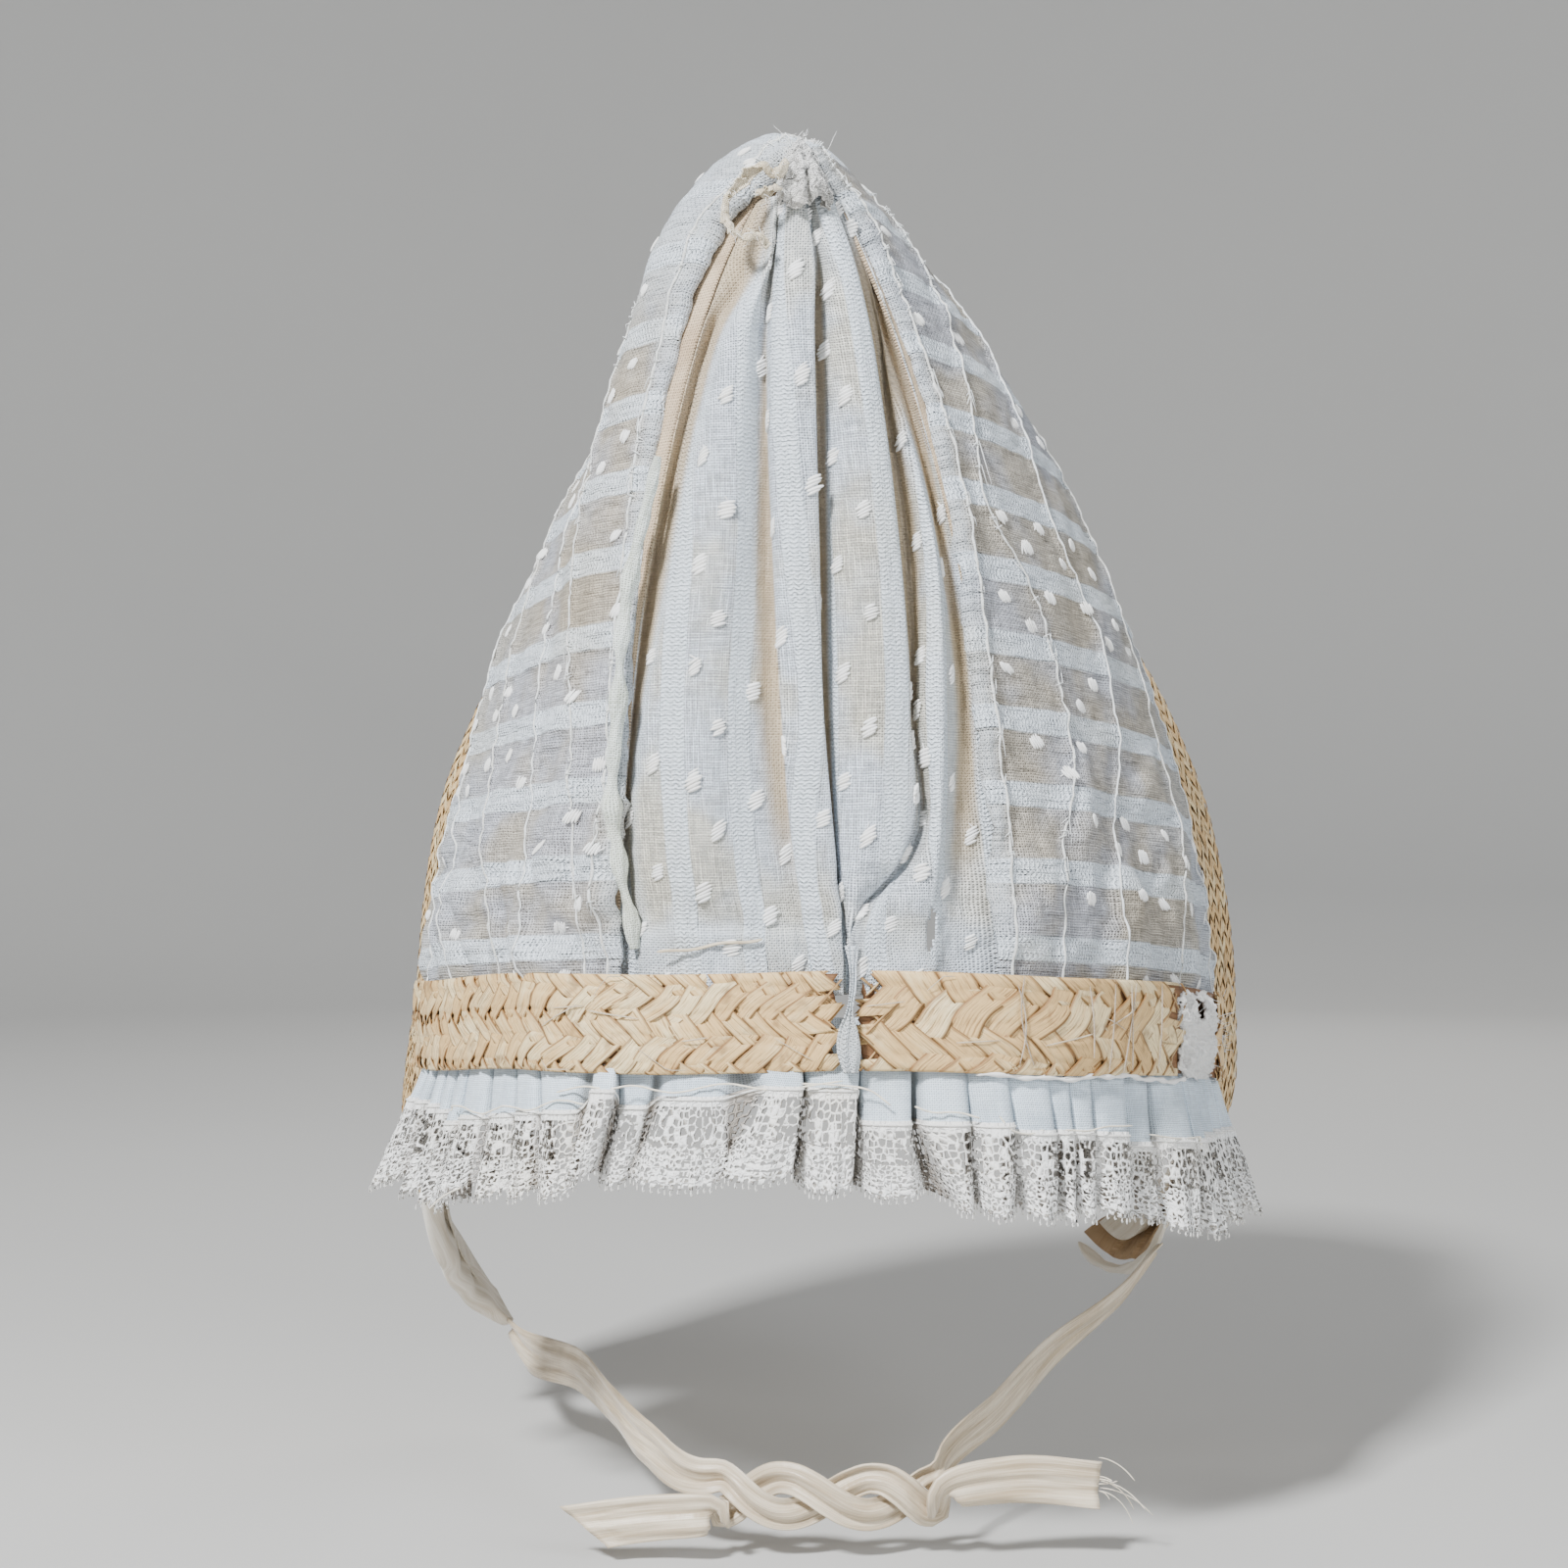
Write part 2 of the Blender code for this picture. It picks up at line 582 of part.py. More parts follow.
def build_tab(collection, material):
    """The twisted scrap of muslin that comes out between the torn ends of the straw band."""
    rows = [dict(zip(TAB_COLUMNS, row)) for row in TAB]
    points = [neck_point(row["aside"], row["outside"], row["level"]) for row in rows]
    return tube(collection, "gather_tab", points, TAB_RADIUS, material)


def build_wadding(collection, material):
    """The tuft of wadding that shows where the right-hand band has worn away."""
    tuft = lump(collection, "wadding_tuft", 10, 6, material)
    half_x, half_y, half_z = (size * MM for size in WADDING_HALF)
    for vertex in tuft.data.vertices:
        swell = 1.0 + WADDING_LUMPS * math.sin(5.0 * vertex.co.z + 3.0 * vertex.co.y)
        vertex.co.x *= swell * half_x
        vertex.co.y *= swell * half_y
        vertex.co.z *= half_z
    tuft.location = [place * MM for place in neck_point(NECK_RIGHT * WADDING_AT, WADDING_OUT, WADDING_BELOW)]
    return tuft


def knot_route(phase):
    """A ribbon's way through the half knot, wound once and a half round the other ribbon."""
    x0, y0, z0 = KNOT_MIDDLE
    route = []
    for step in range(KNOT_STEPS + 1):
        turn = 3.0 * step / KNOT_STEPS - 1.5
        angle = math.pi * (turn - 0.5) + phase
        along = turn * KNOT_SPAN
        y = y0 - KNOT_DEPTH * math.sin(angle) + KNOT_BOW * along * along
        route.append((x0 + along, y, z0 + KNOT_SWING * math.cos(angle), KNOT_WIDTH))
    return route


def ribbon(collection, name, route, material):
    """A flat ribbon along a route of points, with its width across the way round the neck."""
    route = np.array(route)
    spans = np.linalg.norm(np.diff(route[:, :3], axis=0), axis=1)
    length = np.concatenate(([0.0], np.cumsum(spans)))
    count = int(length[-1] / TIE_STEP) + 1
    samples = np.array([curve_through(length, route, d) for d in np.linspace(0, length[-1], count)])
    tangents = np.gradient(samples[:, :3], axis=0)
    radial = (samples[:, :3] - np.array(TIES_MIDDLE)) * (1.0, 1.0, 0.0)
    across = np.cross(radial, tangents)
    across /= np.linalg.norm(across, axis=1, keepdims=True)
    half = samples[:, 3:4] / 2
    grid = np.stack([samples[:, :3] + across * half * k for k in (-1.0, 0.0, 1.0)], axis=1)
    piece = cloth(collection, name, grid, RIBBON_WALL, material, TIES_MIDDLE)
    piece.modifiers["wall"].offset = 0.0
    return piece


def build_ties(collection, material):
    """The two satin ties, which meet in a half knot at the nape."""
    left = list(TIE_LEFT_START) + knot_route(0.0) + list(TIE_LEFT_TAIL)
    right = list(TIE_RIGHT_START) + knot_route(math.pi)[::-1] + list(TIE_RIGHT_TAIL)
    ribbon(collection, "tie_left", left, material)
    ribbon(collection, "tie_right", right, material)


def build():
    """Build every piece of the bonnet."""
    collection = clear_scene()
    muslin = make_material("spotted_muslin", (0.74, 0.73, 0.71), 0.85)
    straw = make_material("plaited_straw", (0.72, 0.52, 0.30), 0.6)
    buckram = make_material("tan_foundation", (0.52, 0.40, 0.27), 0.9)
    silk = make_material("cream_silk", (0.80, 0.73, 0.60), 0.45)
    lace = make_material("cotton_lace", (0.82, 0.80, 0.75), 0.9)
    wadding = make_material("wadding", (0.86, 0.84, 0.80), 1.0)
    build_foundation(collection, buckram)
    build_cover(collection, muslin)
    build_panel(collection, muslin)
    build_apex_knot(collection, muslin)
    left_end = NECK_LEFT * BAND_LEFT_END
    right_end = NECK_RIGHT * BAND_RIGHT_END
    build_band(collection, "straw_band_left", (left_end, BAND_GAP[0]), (0.0, LEFT_TEAR), straw)
    build_band(collection, "straw_band_right", (BAND_GAP[1], right_end), RIGHT_TEARS, straw)
    build_tab(collection, muslin)
    build_wadding(collection, wadding)
    build_frill(collection, muslin)
    build_lace(collection, lace)
    build_brim(collection, straw)
    build_lining(collection, silk)
    build_binding(collection, silk)
    build_ties(collection, silk)


build()
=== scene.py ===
"""Dress the poke bonnet: muslin, straw plait, lace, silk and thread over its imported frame.

The bonnet stands as it is worn and is seen from behind. Sizes are in millimetres, as in the
part's own tables, and become metres where a mesh is made. Each class below makes one
sub-assembly: the crown, its back panel, the peak, the brim, the neck plait, the edging and
the ties. Every finish is a small class that builds one procedural material.
"""
from __future__ import annotations

import logging
import math
from dataclasses import dataclass
from enum import Enum
from typing import Callable, Optional, Sequence

import bpy
import numpy as np
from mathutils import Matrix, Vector, noise


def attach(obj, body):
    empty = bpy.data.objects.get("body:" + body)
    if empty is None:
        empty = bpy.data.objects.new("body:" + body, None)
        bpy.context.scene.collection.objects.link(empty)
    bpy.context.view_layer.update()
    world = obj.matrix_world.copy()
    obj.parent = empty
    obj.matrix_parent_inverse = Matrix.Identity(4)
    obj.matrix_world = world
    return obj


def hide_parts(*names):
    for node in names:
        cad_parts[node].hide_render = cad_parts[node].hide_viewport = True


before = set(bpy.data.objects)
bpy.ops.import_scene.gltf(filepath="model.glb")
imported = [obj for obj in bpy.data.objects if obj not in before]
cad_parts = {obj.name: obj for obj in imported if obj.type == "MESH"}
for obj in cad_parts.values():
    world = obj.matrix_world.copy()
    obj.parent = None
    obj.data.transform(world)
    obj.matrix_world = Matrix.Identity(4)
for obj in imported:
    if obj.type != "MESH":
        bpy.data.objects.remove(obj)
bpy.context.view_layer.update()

MM = 0.001
LOG = logging.getLogger("bonnet")
BODY = "root"


# Shapes shared with the frame

BACK_Y = -100.0
CROWN_BASE_Z = -56.0
DROP_RIGHT = 15.0
DROP_LEFT = 11.0
CROWN_DEPTH = 114.0
APEX_LEAN = -5.0
HOOP_COLUMNS = ("at", "right", "left", "base_y", "top_y", "top_z", "round_right", "round_left")
HOOPS = (
    (0.0, 45.0, 54.0, 4.0, 8.0, 167.0, 1.20, 1.55),
    (0.2, 64.0, 70.0, 15.5, 30.0, 171.0, 1.45, 2.50),
    (0.4, 81.0, 84.0, 34.0, 54.0, 165.0, 1.75, 1.85),
    (0.6, 98.0, 98.0, 58.0, 78.0, 150.0, 1.90, 1.85),
    (0.8, 111.0, 111.0, 86.0, 100.0, 118.0, 1.95, 2.25),
    (1.0, 117.0, 118.0, 114.0, 116.0, 74.0, 1.90, 2.40),
)
CROWN_MIDDLE = (0.0, -40.0, 0.0)
NECK_MIDDLE = (0.0, -20.0, -60.0)
PANEL_REACH = 1.0
BRIM_COLUMNS = ("at", "rise", "edge_x", "edge_y", "edge_z", "belly_x", "belly_y", "belly_z")
BRIM = (
    (-1.00, -1.00, -104.0, 105.0, -182.0, -28.0, 14.0, -30.0),
    (-0.85, -0.50, -136.0, 104.0, -128.0, -10.0, 8.0, -14.0),
    (-0.68, 0.00, -134.0, 102.0, -70.0, 1.0, 2.0, -2.0),
    (-0.45, 0.27, -122.0, 111.0, 8.0, 4.0, 0.0, -1.0),
    (-0.25, 0.55, -87.0, 121.0, 65.0, 3.0, 0.0, -4.0),
    (0.00, 1.00, 0.0, 127.0, 103.0, 0.0, 0.0, -7.0),
    (0.25, 0.55, 93.0, 121.0, 62.0, -3.0, 0.0, -4.0),
    (0.45, 0.27, 126.0, 111.0, 7.0, -4.0, 0.0, -1.0),
    (0.68, 0.00, 139.0, 100.0, -72.0, -3.0, 0.0, 0.0),
    (0.85, -0.50, 131.0, 94.0, -119.0, 3.0, 4.0, -22.0),
    (1.00, -1.00, 88.0, 85.0, -148.0, 10.0, 8.0, -60.0),
)
ROOT_GAP_SIDE = 0.7
ROOT_GAP_TOP = 1.9
ROOT_DROP = (-2.0, 0.0, 14.0)
BRIM_MIDDLE = (0.0, 40.0, -40.0)
NECK_SETBACK = 1.0
NECK_ROUND = 5.0


def curve_through(places: Sequence[float], values: Sequence, at: float) -> np.ndarray:
    """The values at one place on a smooth curve through a table.

    Args:
        places: Where the table's rows stand, rising.
        values: One number or row of numbers for each place.
        at: The place asked for.

    Returns:
        The number or row of numbers there.
    """
    places = np.asarray(places, dtype=float)
    values = np.asarray(values, dtype=float)
    slopes = np.gradient(values, places, axis=0)
    index = int(np.clip(np.searchsorted(places, at) - 1, 0, len(places) - 2))
    step = places[index + 1] - places[index]
    f = float(np.clip((at - places[index]) / step, 0.0, 1.0))
    start = (1 + 2 * f) * (1 - f) ** 2
    end = f * f * (3 - 2 * f)
    leave = f * (1 - f) ** 2 * step
    arrive = f * f * (f - 1) * step
    return (start * values[index] + end * values[index + 1]
            + leave * slopes[index] + arrive * slopes[index + 1])


def read_table(columns: Sequence[str], rows: Sequence[Sequence[float]], at: float) -> dict[str, float]:
    """Every named column of a table at a place between its rows.

    Args:
        columns: Names of the columns, the first of which is the place.
        rows: The table.
        at: The place asked for.

    Returns:
        The value of each column but the first, by name.
    """
    values = curve_through([row[0] for row in rows], [row[1:] for row in rows], at)
    return dict(zip(columns[1:], values))


def base_z(y: float, side: float) -> float:
    """Height of the crown's neck edge at a depth y, on the side that side's sign names."""
    drop = DROP_RIGHT if side > 0 else DROP_LEFT
    return CROWN_BASE_Z - drop * (y - BACK_Y) / CROWN_DEPTH


def hoop_reach(hoop: dict[str, float], lift: float, side: float) -> float:
    """Half width of a hoop.

    Args:
        hoop: The hoop's row of the table.
        lift: The share of its height.
        side: 1 on the right, -1 on the left.

    Returns:
        The half width, in millimetres.
    """
    width = hoop["right"] if side > 0 else hoop["left"]
    roundness = hoop["round_right"] if side > 0 else hoop["round_left"]
    return width * max(0.0, 1.0 - lift * lift) ** (1.0 / roundness)


def crown_point(at: float, rise: float, side: float) -> np.ndarray:
    """A point of the crown.

    Args:
        at: From 0 at the back seam to 1 at the brim.
        rise: From 0 at the neck edge to 1 at the ridge.
        side: 1 on the right, -1 on the left.

    Returns:
        The point, in millimetres.
    """
    hoop = read_table(HOOP_COLUMNS, HOOPS, at)
    lift = math.sin(rise * math.pi / 2)
    foot_z = base_z(BACK_Y + hoop["base_y"], side)
    lean = APEX_LEAN * lift * lift * (1.0 - at)
    return np.array((
        side * hoop_reach(hoop, lift, side) + lean,
        BACK_Y + hoop["base_y"] + (hoop["top_y"] - hoop["base_y"]) * lift,
        foot_z + (hoop["top_z"] - foot_z) * lift,
    ))


def brim_root(rise: float, side: float) -> np.ndarray:
    """A point of the brim's root, which runs on a little below the crown.

    Args:
        rise: From -1 at a corner over 0 at the neck edge to 1 at the ridge.
        side: 1 on the right, -1 on the left.

    Returns:
        The point, in millimetres.
    """
    on_crown = min(1.0, max(0.0, rise))
    point = crown_point(1.0, on_crown, side)
    point[1] += ROOT_GAP_SIDE + (ROOT_GAP_TOP - ROOT_GAP_SIDE) * on_crown
    if rise < 0:
        inward, forward, down = ROOT_DROP
        point += -rise * np.array((inward * side, forward, -down))
    return point


def brim_line(at: float, across: np.ndarray) -> np.ndarray:
    """Points of the brim along one line from its root to its edge.

    Args:
        at: From -1 at the left corner over the top of the arch to 1 at the right corner.
        across: Shares of the way from the root to the edge.

    Returns:
        One point for each share.
    """
    row = read_table(BRIM_COLUMNS, BRIM, at)
    root = brim_root(row["rise"], 1 if at > 0 else -1)
    edge = np.array((row["edge_x"], row["edge_y"], row["edge_z"]))
    bend = (root + edge) / 2 + np.array((row["belly_x"], row["belly_y"], row["belly_z"]))
    f = np.asarray(across)[:, None]
    return root * (1 - f) ** 2 + bend * 2 * f * (1 - f) + edge * f * f


def neck_path() -> tuple[np.ndarray, np.ndarray]:
    """The neck edge in plan.

    Returns:
        Its points from the left end to the right, and how far each lies from the middle along it.
    """
    places = np.linspace(1.0, 0.0, 25)
    left = [crown_point(at, 0.0, -1) for at in places]
    right = [crown_point(at, 0.0, 1) for at in reversed(places)]
    seam = read_table(HOOP_COLUMNS, HOOPS, 0.0)
    middle = []
    for share in np.linspace(-0.9, 0.9, 15):
        width = seam["right"] if share > 0 else seam["left"]
        y = BACK_Y - NECK_SETBACK + NECK_ROUND * share * share
        middle.append(np.array((share * width, y, base_z(y, share))))
    path = np.array(left + middle + right)
    steps = np.linalg.norm(np.diff(path[:, :2], axis=0), axis=1)
    length = np.concatenate(([0.0], np.cumsum(steps)))
    return path, length - np.interp(0.0, path[:, 0], length)


NECK, NECK_LENGTH = neck_path()
NECK_LEFT, NECK_RIGHT = float(NECK_LENGTH[0]), float(NECK_LENGTH[-1])


def neck_point(distance: float, offset: float, below: float) -> np.ndarray:
    """A point at a distance along the neck edge.

    Args:
        distance: Along the edge from the middle of the back, to the right.
        offset: How far outside the edge.
        below: How far below it.

    Returns:
        The point, in millimetres.
    """
    here = np.array([np.interp(distance, NECK_LENGTH, NECK[:, k]) for k in range(3)])
    before, after = (np.array([np.interp(distance + step, NECK_LENGTH, NECK[:, k]) for k in range(2)])
                     for step in (-3.0, 3.0))
    tangent = (after - before) / np.linalg.norm(after - before)
    x, y = here[:2] + offset * np.array((tangent[1], -tangent[0]))
    return np.array((x, y, here[2] - below))


def unrest(points: np.ndarray, size: float, seed: float, depth: int = 3) -> np.ndarray:
    """Smooth, repeatable unevenness at points of any grid.

    Args:
        points: Points, with three numbers in the last axis.
        size: Size of the largest lumps, in the points' own unit.
        seed: Another number gives another pattern.
        depth: How many finer layers are added.

    Returns:
        One value between about -1 and 1 for each point.
    """
    flat = points.reshape(-1, 3) / size + seed * 17.31
    values = [noise.fractal(Vector(point), 0.9, 2.0, depth) for point in flat]
    return np.array(values).reshape(points.shape[:-1])


def step_up(values: np.ndarray, low: float, high: float) -> np.ndarray:
    """Rise smoothly from 0 at low to 1 at high; high may be the smaller one."""
    f = np.clip((np.asarray(values, dtype=float) - low) / (high - low), 0.0, 1.0)
    return f * f * (3 - 2 * f)


def bump_at(values: np.ndarray, middle: float, half: float) -> np.ndarray:
    """A soft hump of height 1 at a middle, which dies away within a few half widths."""
    return np.exp(-((np.asarray(values, dtype=float) - middle) / half) ** 2)


def grid_normals(grid: np.ndarray, centre: Sequence[float]) -> np.ndarray:
    """Unit normals of a grid of points.

    Args:
        grid: The points.
        centre: A point that the normals face away from.

    Returns:
        One normal for each point.
    """
    normals = np.cross(np.gradient(grid, axis=0), np.gradient(grid, axis=1))
    normals /= np.linalg.norm(normals, axis=2, keepdims=True) + 1e-12
    away = np.einsum("ijk,ijk->ij", normals, grid - np.asarray(centre))
    normals[away < 0] *= -1
    return normals


def run_length(grid: np.ndarray, axis: int) -> np.ndarray:
    """Length of cloth along the rows or columns of a grid.

    Args:
        grid: Its points.
        axis: 0 from the first row on, 1 from the first column on.

    Returns:
        The length as far as each point.
    """
    steps = np.linalg.norm(np.diff(grid, axis=axis), axis=2)
    start = np.zeros_like(np.take(steps, [0], axis=axis))
    return np.concatenate((start, np.cumsum(steps, axis=axis)), axis=axis)


# Meshes


@dataclass
class Surface:
    """A curved surface known at a grid of points, with smooth places in between."""

    grid: np.ndarray
    normals: np.ndarray

    @classmethod
    def through(cls, grid: np.ndarray, centre: Sequence[float]) -> "Surface":
        """A surface through a grid, whose outside faces away from a centre."""
        return cls(grid, grid_normals(grid, centre))

    @staticmethod
    def blend(table: np.ndarray, rows: np.ndarray, columns: np.ndarray) -> np.ndarray:
        """Values of a table between its rows and columns.

        Args:
            table: The table.
            rows: Places along its rows, from 0 to 1.
            columns: Places along its columns, from 0 to 1.

        Returns:
            One value, or one row of numbers, for each pair of places.
        """
        r = np.clip(rows, 0, 1) * (table.shape[0] - 1)
        c = np.clip(columns, 0, 1) * (table.shape[1] - 1)
        i = np.minimum(r.astype(int), table.shape[0] - 2)
        j = np.minimum(c.astype(int), table.shape[1] - 2)
        u, v = (r - i)[..., None], (c - j)[..., None]
        table = table if table.ndim == 3 else table[..., None]
        mixed = (table[i, j] * (1 - u) * (1 - v) + table[i + 1, j] * u * (1 - v)
                 + table[i, j + 1] * (1 - u) * v + table[i + 1, j + 1] * u * v)
        return mixed if mixed.shape[-1] > 1 else mixed[..., 0]

    def at(self, rows: np.ndarray, columns: np.ndarray, lift: np.ndarray | float = 0.0) -> np.ndarray:
        """Points of the surface, lifted off it.

        Args:
            rows: Shares of the way along the rows.
            columns: Shares of the way along the columns.
            lift: Height above the surface.

        Returns:
            One point for each pair.
        """
        rows, columns = np.broadcast_arrays(np.asarray(rows, float), np.asarray(columns, float))
        normals = self.blend(self.normals, rows, columns)
        normals = normals / (np.linalg.norm(normals, axis=-1, keepdims=True) + 1e-12)
        lifts = np.broadcast_to(np.asarray(lift, float), rows.shape)
        return self.blend(self.grid, rows, columns) + normals * lifts[..., None]


def grid_faces(rows: int, columns: int, keep: Optional[np.ndarray] = None) -> np.ndarray:
    """Four-sided faces of a grid of points.

    Args:
        rows: How many rows of points.
        columns: How many in each row.
        keep: Which cells are there; without it, all are.

    Returns:
        The corners of each face.
    """
    i, j = np.meshgrid(np.arange(rows - 1), np.arange(columns - 1), indexing="ij")
    if keep is not None:
        i, j = i[keep], j[keep]
    a = (i * columns + j).ravel()
    return np.stack((a, a + 1, a + columns + 1, a + columns), axis=1)


def new_mesh(name: str, points: np.ndarray, faces: np.ndarray, flat: Optional[np.ndarray] = None,
             marks: Optional[dict[str, np.ndarray]] = None) -> bpy.types.Mesh:
    """A mesh from arrays, made quickly.

    Args:
        name: The mesh's name.
        points: Its points, in millimetres.
        faces: Its faces, all with the same number of corners.
        flat: The place of each point on the flat cloth, in metres, for the UV map.
        marks: Values by name, one for each point.

    Returns:
        The mesh.
    """
    mesh = bpy.data.meshes.new(name)
    count, corners = faces.shape
    mesh.vertices.add(len(points))
    mesh.vertices.foreach_set("co", (np.asarray(points) * MM).astype(np.float32).ravel())
    mesh.loops.add(count * corners)
    mesh.loops.foreach_set("vertex_index", faces.astype(np.int32).ravel())
    mesh.polygons.add(count)
    mesh.polygons.foreach_set("loop_start", np.arange(0, count * corners, corners, dtype=np.int32))
    mesh.update(calc_edges=True)
    if flat is not None:
        layer = mesh.uv_layers.new(name="flat_cloth")
        layer.data.foreach_set("uv", flat[faces.ravel()].astype(np.float32).ravel())
    for mark, values in (marks or {}).items():
        store = mesh.attributes.new(mark, "FLOAT", "POINT")
        store.data.foreach_set("value", np.asarray(values, dtype=np.float32).ravel())
    mesh.validate()
    mesh.shade_smooth()
    return mesh


def link_piece(name: str, mesh: bpy.types.Mesh, material: bpy.types.Material) -> bpy.types.Object:
    """Put a mesh in the scene as one piece that rides on the bonnet's body.

    Args:
        name: The piece's name.
        mesh: Its mesh.
        material: Its finish.

    Returns:
        The piece.
    """
    piece = bpy.data.objects.new(name, mesh)
    piece.data.materials.append(material)
    bpy.context.scene.collection.objects.link(piece)
    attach(piece, BODY)
    return piece


def apply_modifiers(piece: bpy.types.Object) -> None:
    """Apply every modifier, in order.

    Args:
        piece: The piece that carries them.
    """
    bpy.ops.object.select_all(action="DESELECT")
    piece.select_set(True)
    bpy.context.view_layer.objects.active = piece
    for modifier in list(piece.modifiers):
        bpy.ops.object.modifier_apply(modifier=modifier.name)
    piece.select_set(False)


def sheet(name: str, grid: np.ndarray, flat: np.ndarray, wall: float, centre: Sequence[float],
          material: bpy.types.Material, marks: Optional[dict[str, np.ndarray]] = None,
          keep: Optional[np.ndarray] = None, offset: float = -1.0) -> bpy.types.Object:
    """One continuous curved sheet through a grid of points, with a thin wall.

    Args:
        name: The piece's name.
        grid: Rows and columns of points, in millimetres.
        flat: The place of each point on the flat cloth, in millimetres.
        wall: Thickness in millimetres.
        centre: A point on the inner side.
        material: The finish.
        marks: Extra values for each point, for the material.
        keep: Which cells are there; the others are holes.
        offset: -1 puts the wall inside the points, 0 on both sides.

    Returns:
        The finished piece.
    """
    rows, columns = grid.shape[:2]
    faces = grid_faces(rows, columns, keep)
    points = grid.reshape(-1, 3)
    a, b, c = (points[faces[:, k]] for k in range(3))
    outward = np.einsum("ij,ij->i", np.cross(b - a, c - a), a - np.asarray(centre)).sum()
    if outward < 0:
        faces = faces[:, ::-1]
    used = np.unique(faces)
    order = np.full(len(points), -1)
    order[used] = np.arange(len(used))
    kept_marks = {key: np.asarray(values).ravel()[used] for key, values in (marks or {}).items()}
    mesh = new_mesh(name, points[used], order[faces], flat.reshape(-1, 2)[used] * MM, kept_marks)
    piece = link_piece(name, mesh, material)
    solidify = piece.modifiers.new("wall", "SOLIDIFY")
    solidify.thickness = wall * MM
    solidify.offset = offset
    solidify.use_even_offset = False
    apply_modifiers(piece)
    return piece


class Shape:
    """A small solid that is modelled once and copied many times into one mesh."""

    def __init__(self, points: np.ndarray, faces: list[tuple[int, ...]]) -> None:
        """Keep the points and faces of the modelled solid."""
        self.points = points
        self.faces = faces

    @classmethod
    def from_primitive(cls, shape_it: Callable[[], None]) -> "Shape":
        """Model a solid with Blender's own tools and take it off the scene again.

        Args:
            shape_it: Adds a primitive and shapes it; the result is the active object.

        Returns:
            The shape.
        """
        bpy.ops.object.select_all(action="DESELECT")
        shape_it()
        piece = bpy.context.object
        points = np.array([tuple(piece.matrix_world @ vertex.co) for vertex in piece.data.vertices])
        faces = [tuple(face.vertices) for face in piece.data.polygons]
        mesh = piece.data
        bpy.data.objects.remove(piece, do_unlink=True)
        bpy.data.meshes.remove(mesh)
        return cls(points, faces)

    def copies(self, name: str, frames: np.ndarray, places: np.ndarray, material: bpy.types.Material,
               tones: Optional[np.ndarray] = None) -> bpy.types.Object:
        """Join a copy at every place into one piece.

        Args:
            name: The piece's name.
            frames: For each copy, its three axes as rows, with their lengths as sizes.
            places: The middle of each copy, in millimetres.
            material: The finish.
            tones: A shade of its own for each copy.

        Returns:
            The finished piece.
        """
        count = len(places)
        points = np.einsum("vk,nkj->nvj", self.points, frames) + places[:, None, :]
        tones = np.zeros(count) if tones is None else tones
        bunch = Bunch()
        for size in sorted({len(face) for face in self.faces}):
            faces = np.array([face for face in self.faces if len(face) == size])
            step = np.arange(count)[:, None, None] * len(self.points)
            bunch.faces += (faces[None] + step).reshape(-1, size).tolist()
        mesh = bpy.data.meshes.new(name)
        mesh.from_pydata((points.reshape(-1, 3) * MM).tolist(), [], bunch.faces)
        store = mesh.attributes.new("tone", "FLOAT", "POINT")
        store.data.foreach_set("value", np.repeat(tones, len(self.points)).astype(np.float32))
        mesh.shade_smooth()
        return link_piece(name, mesh, material)


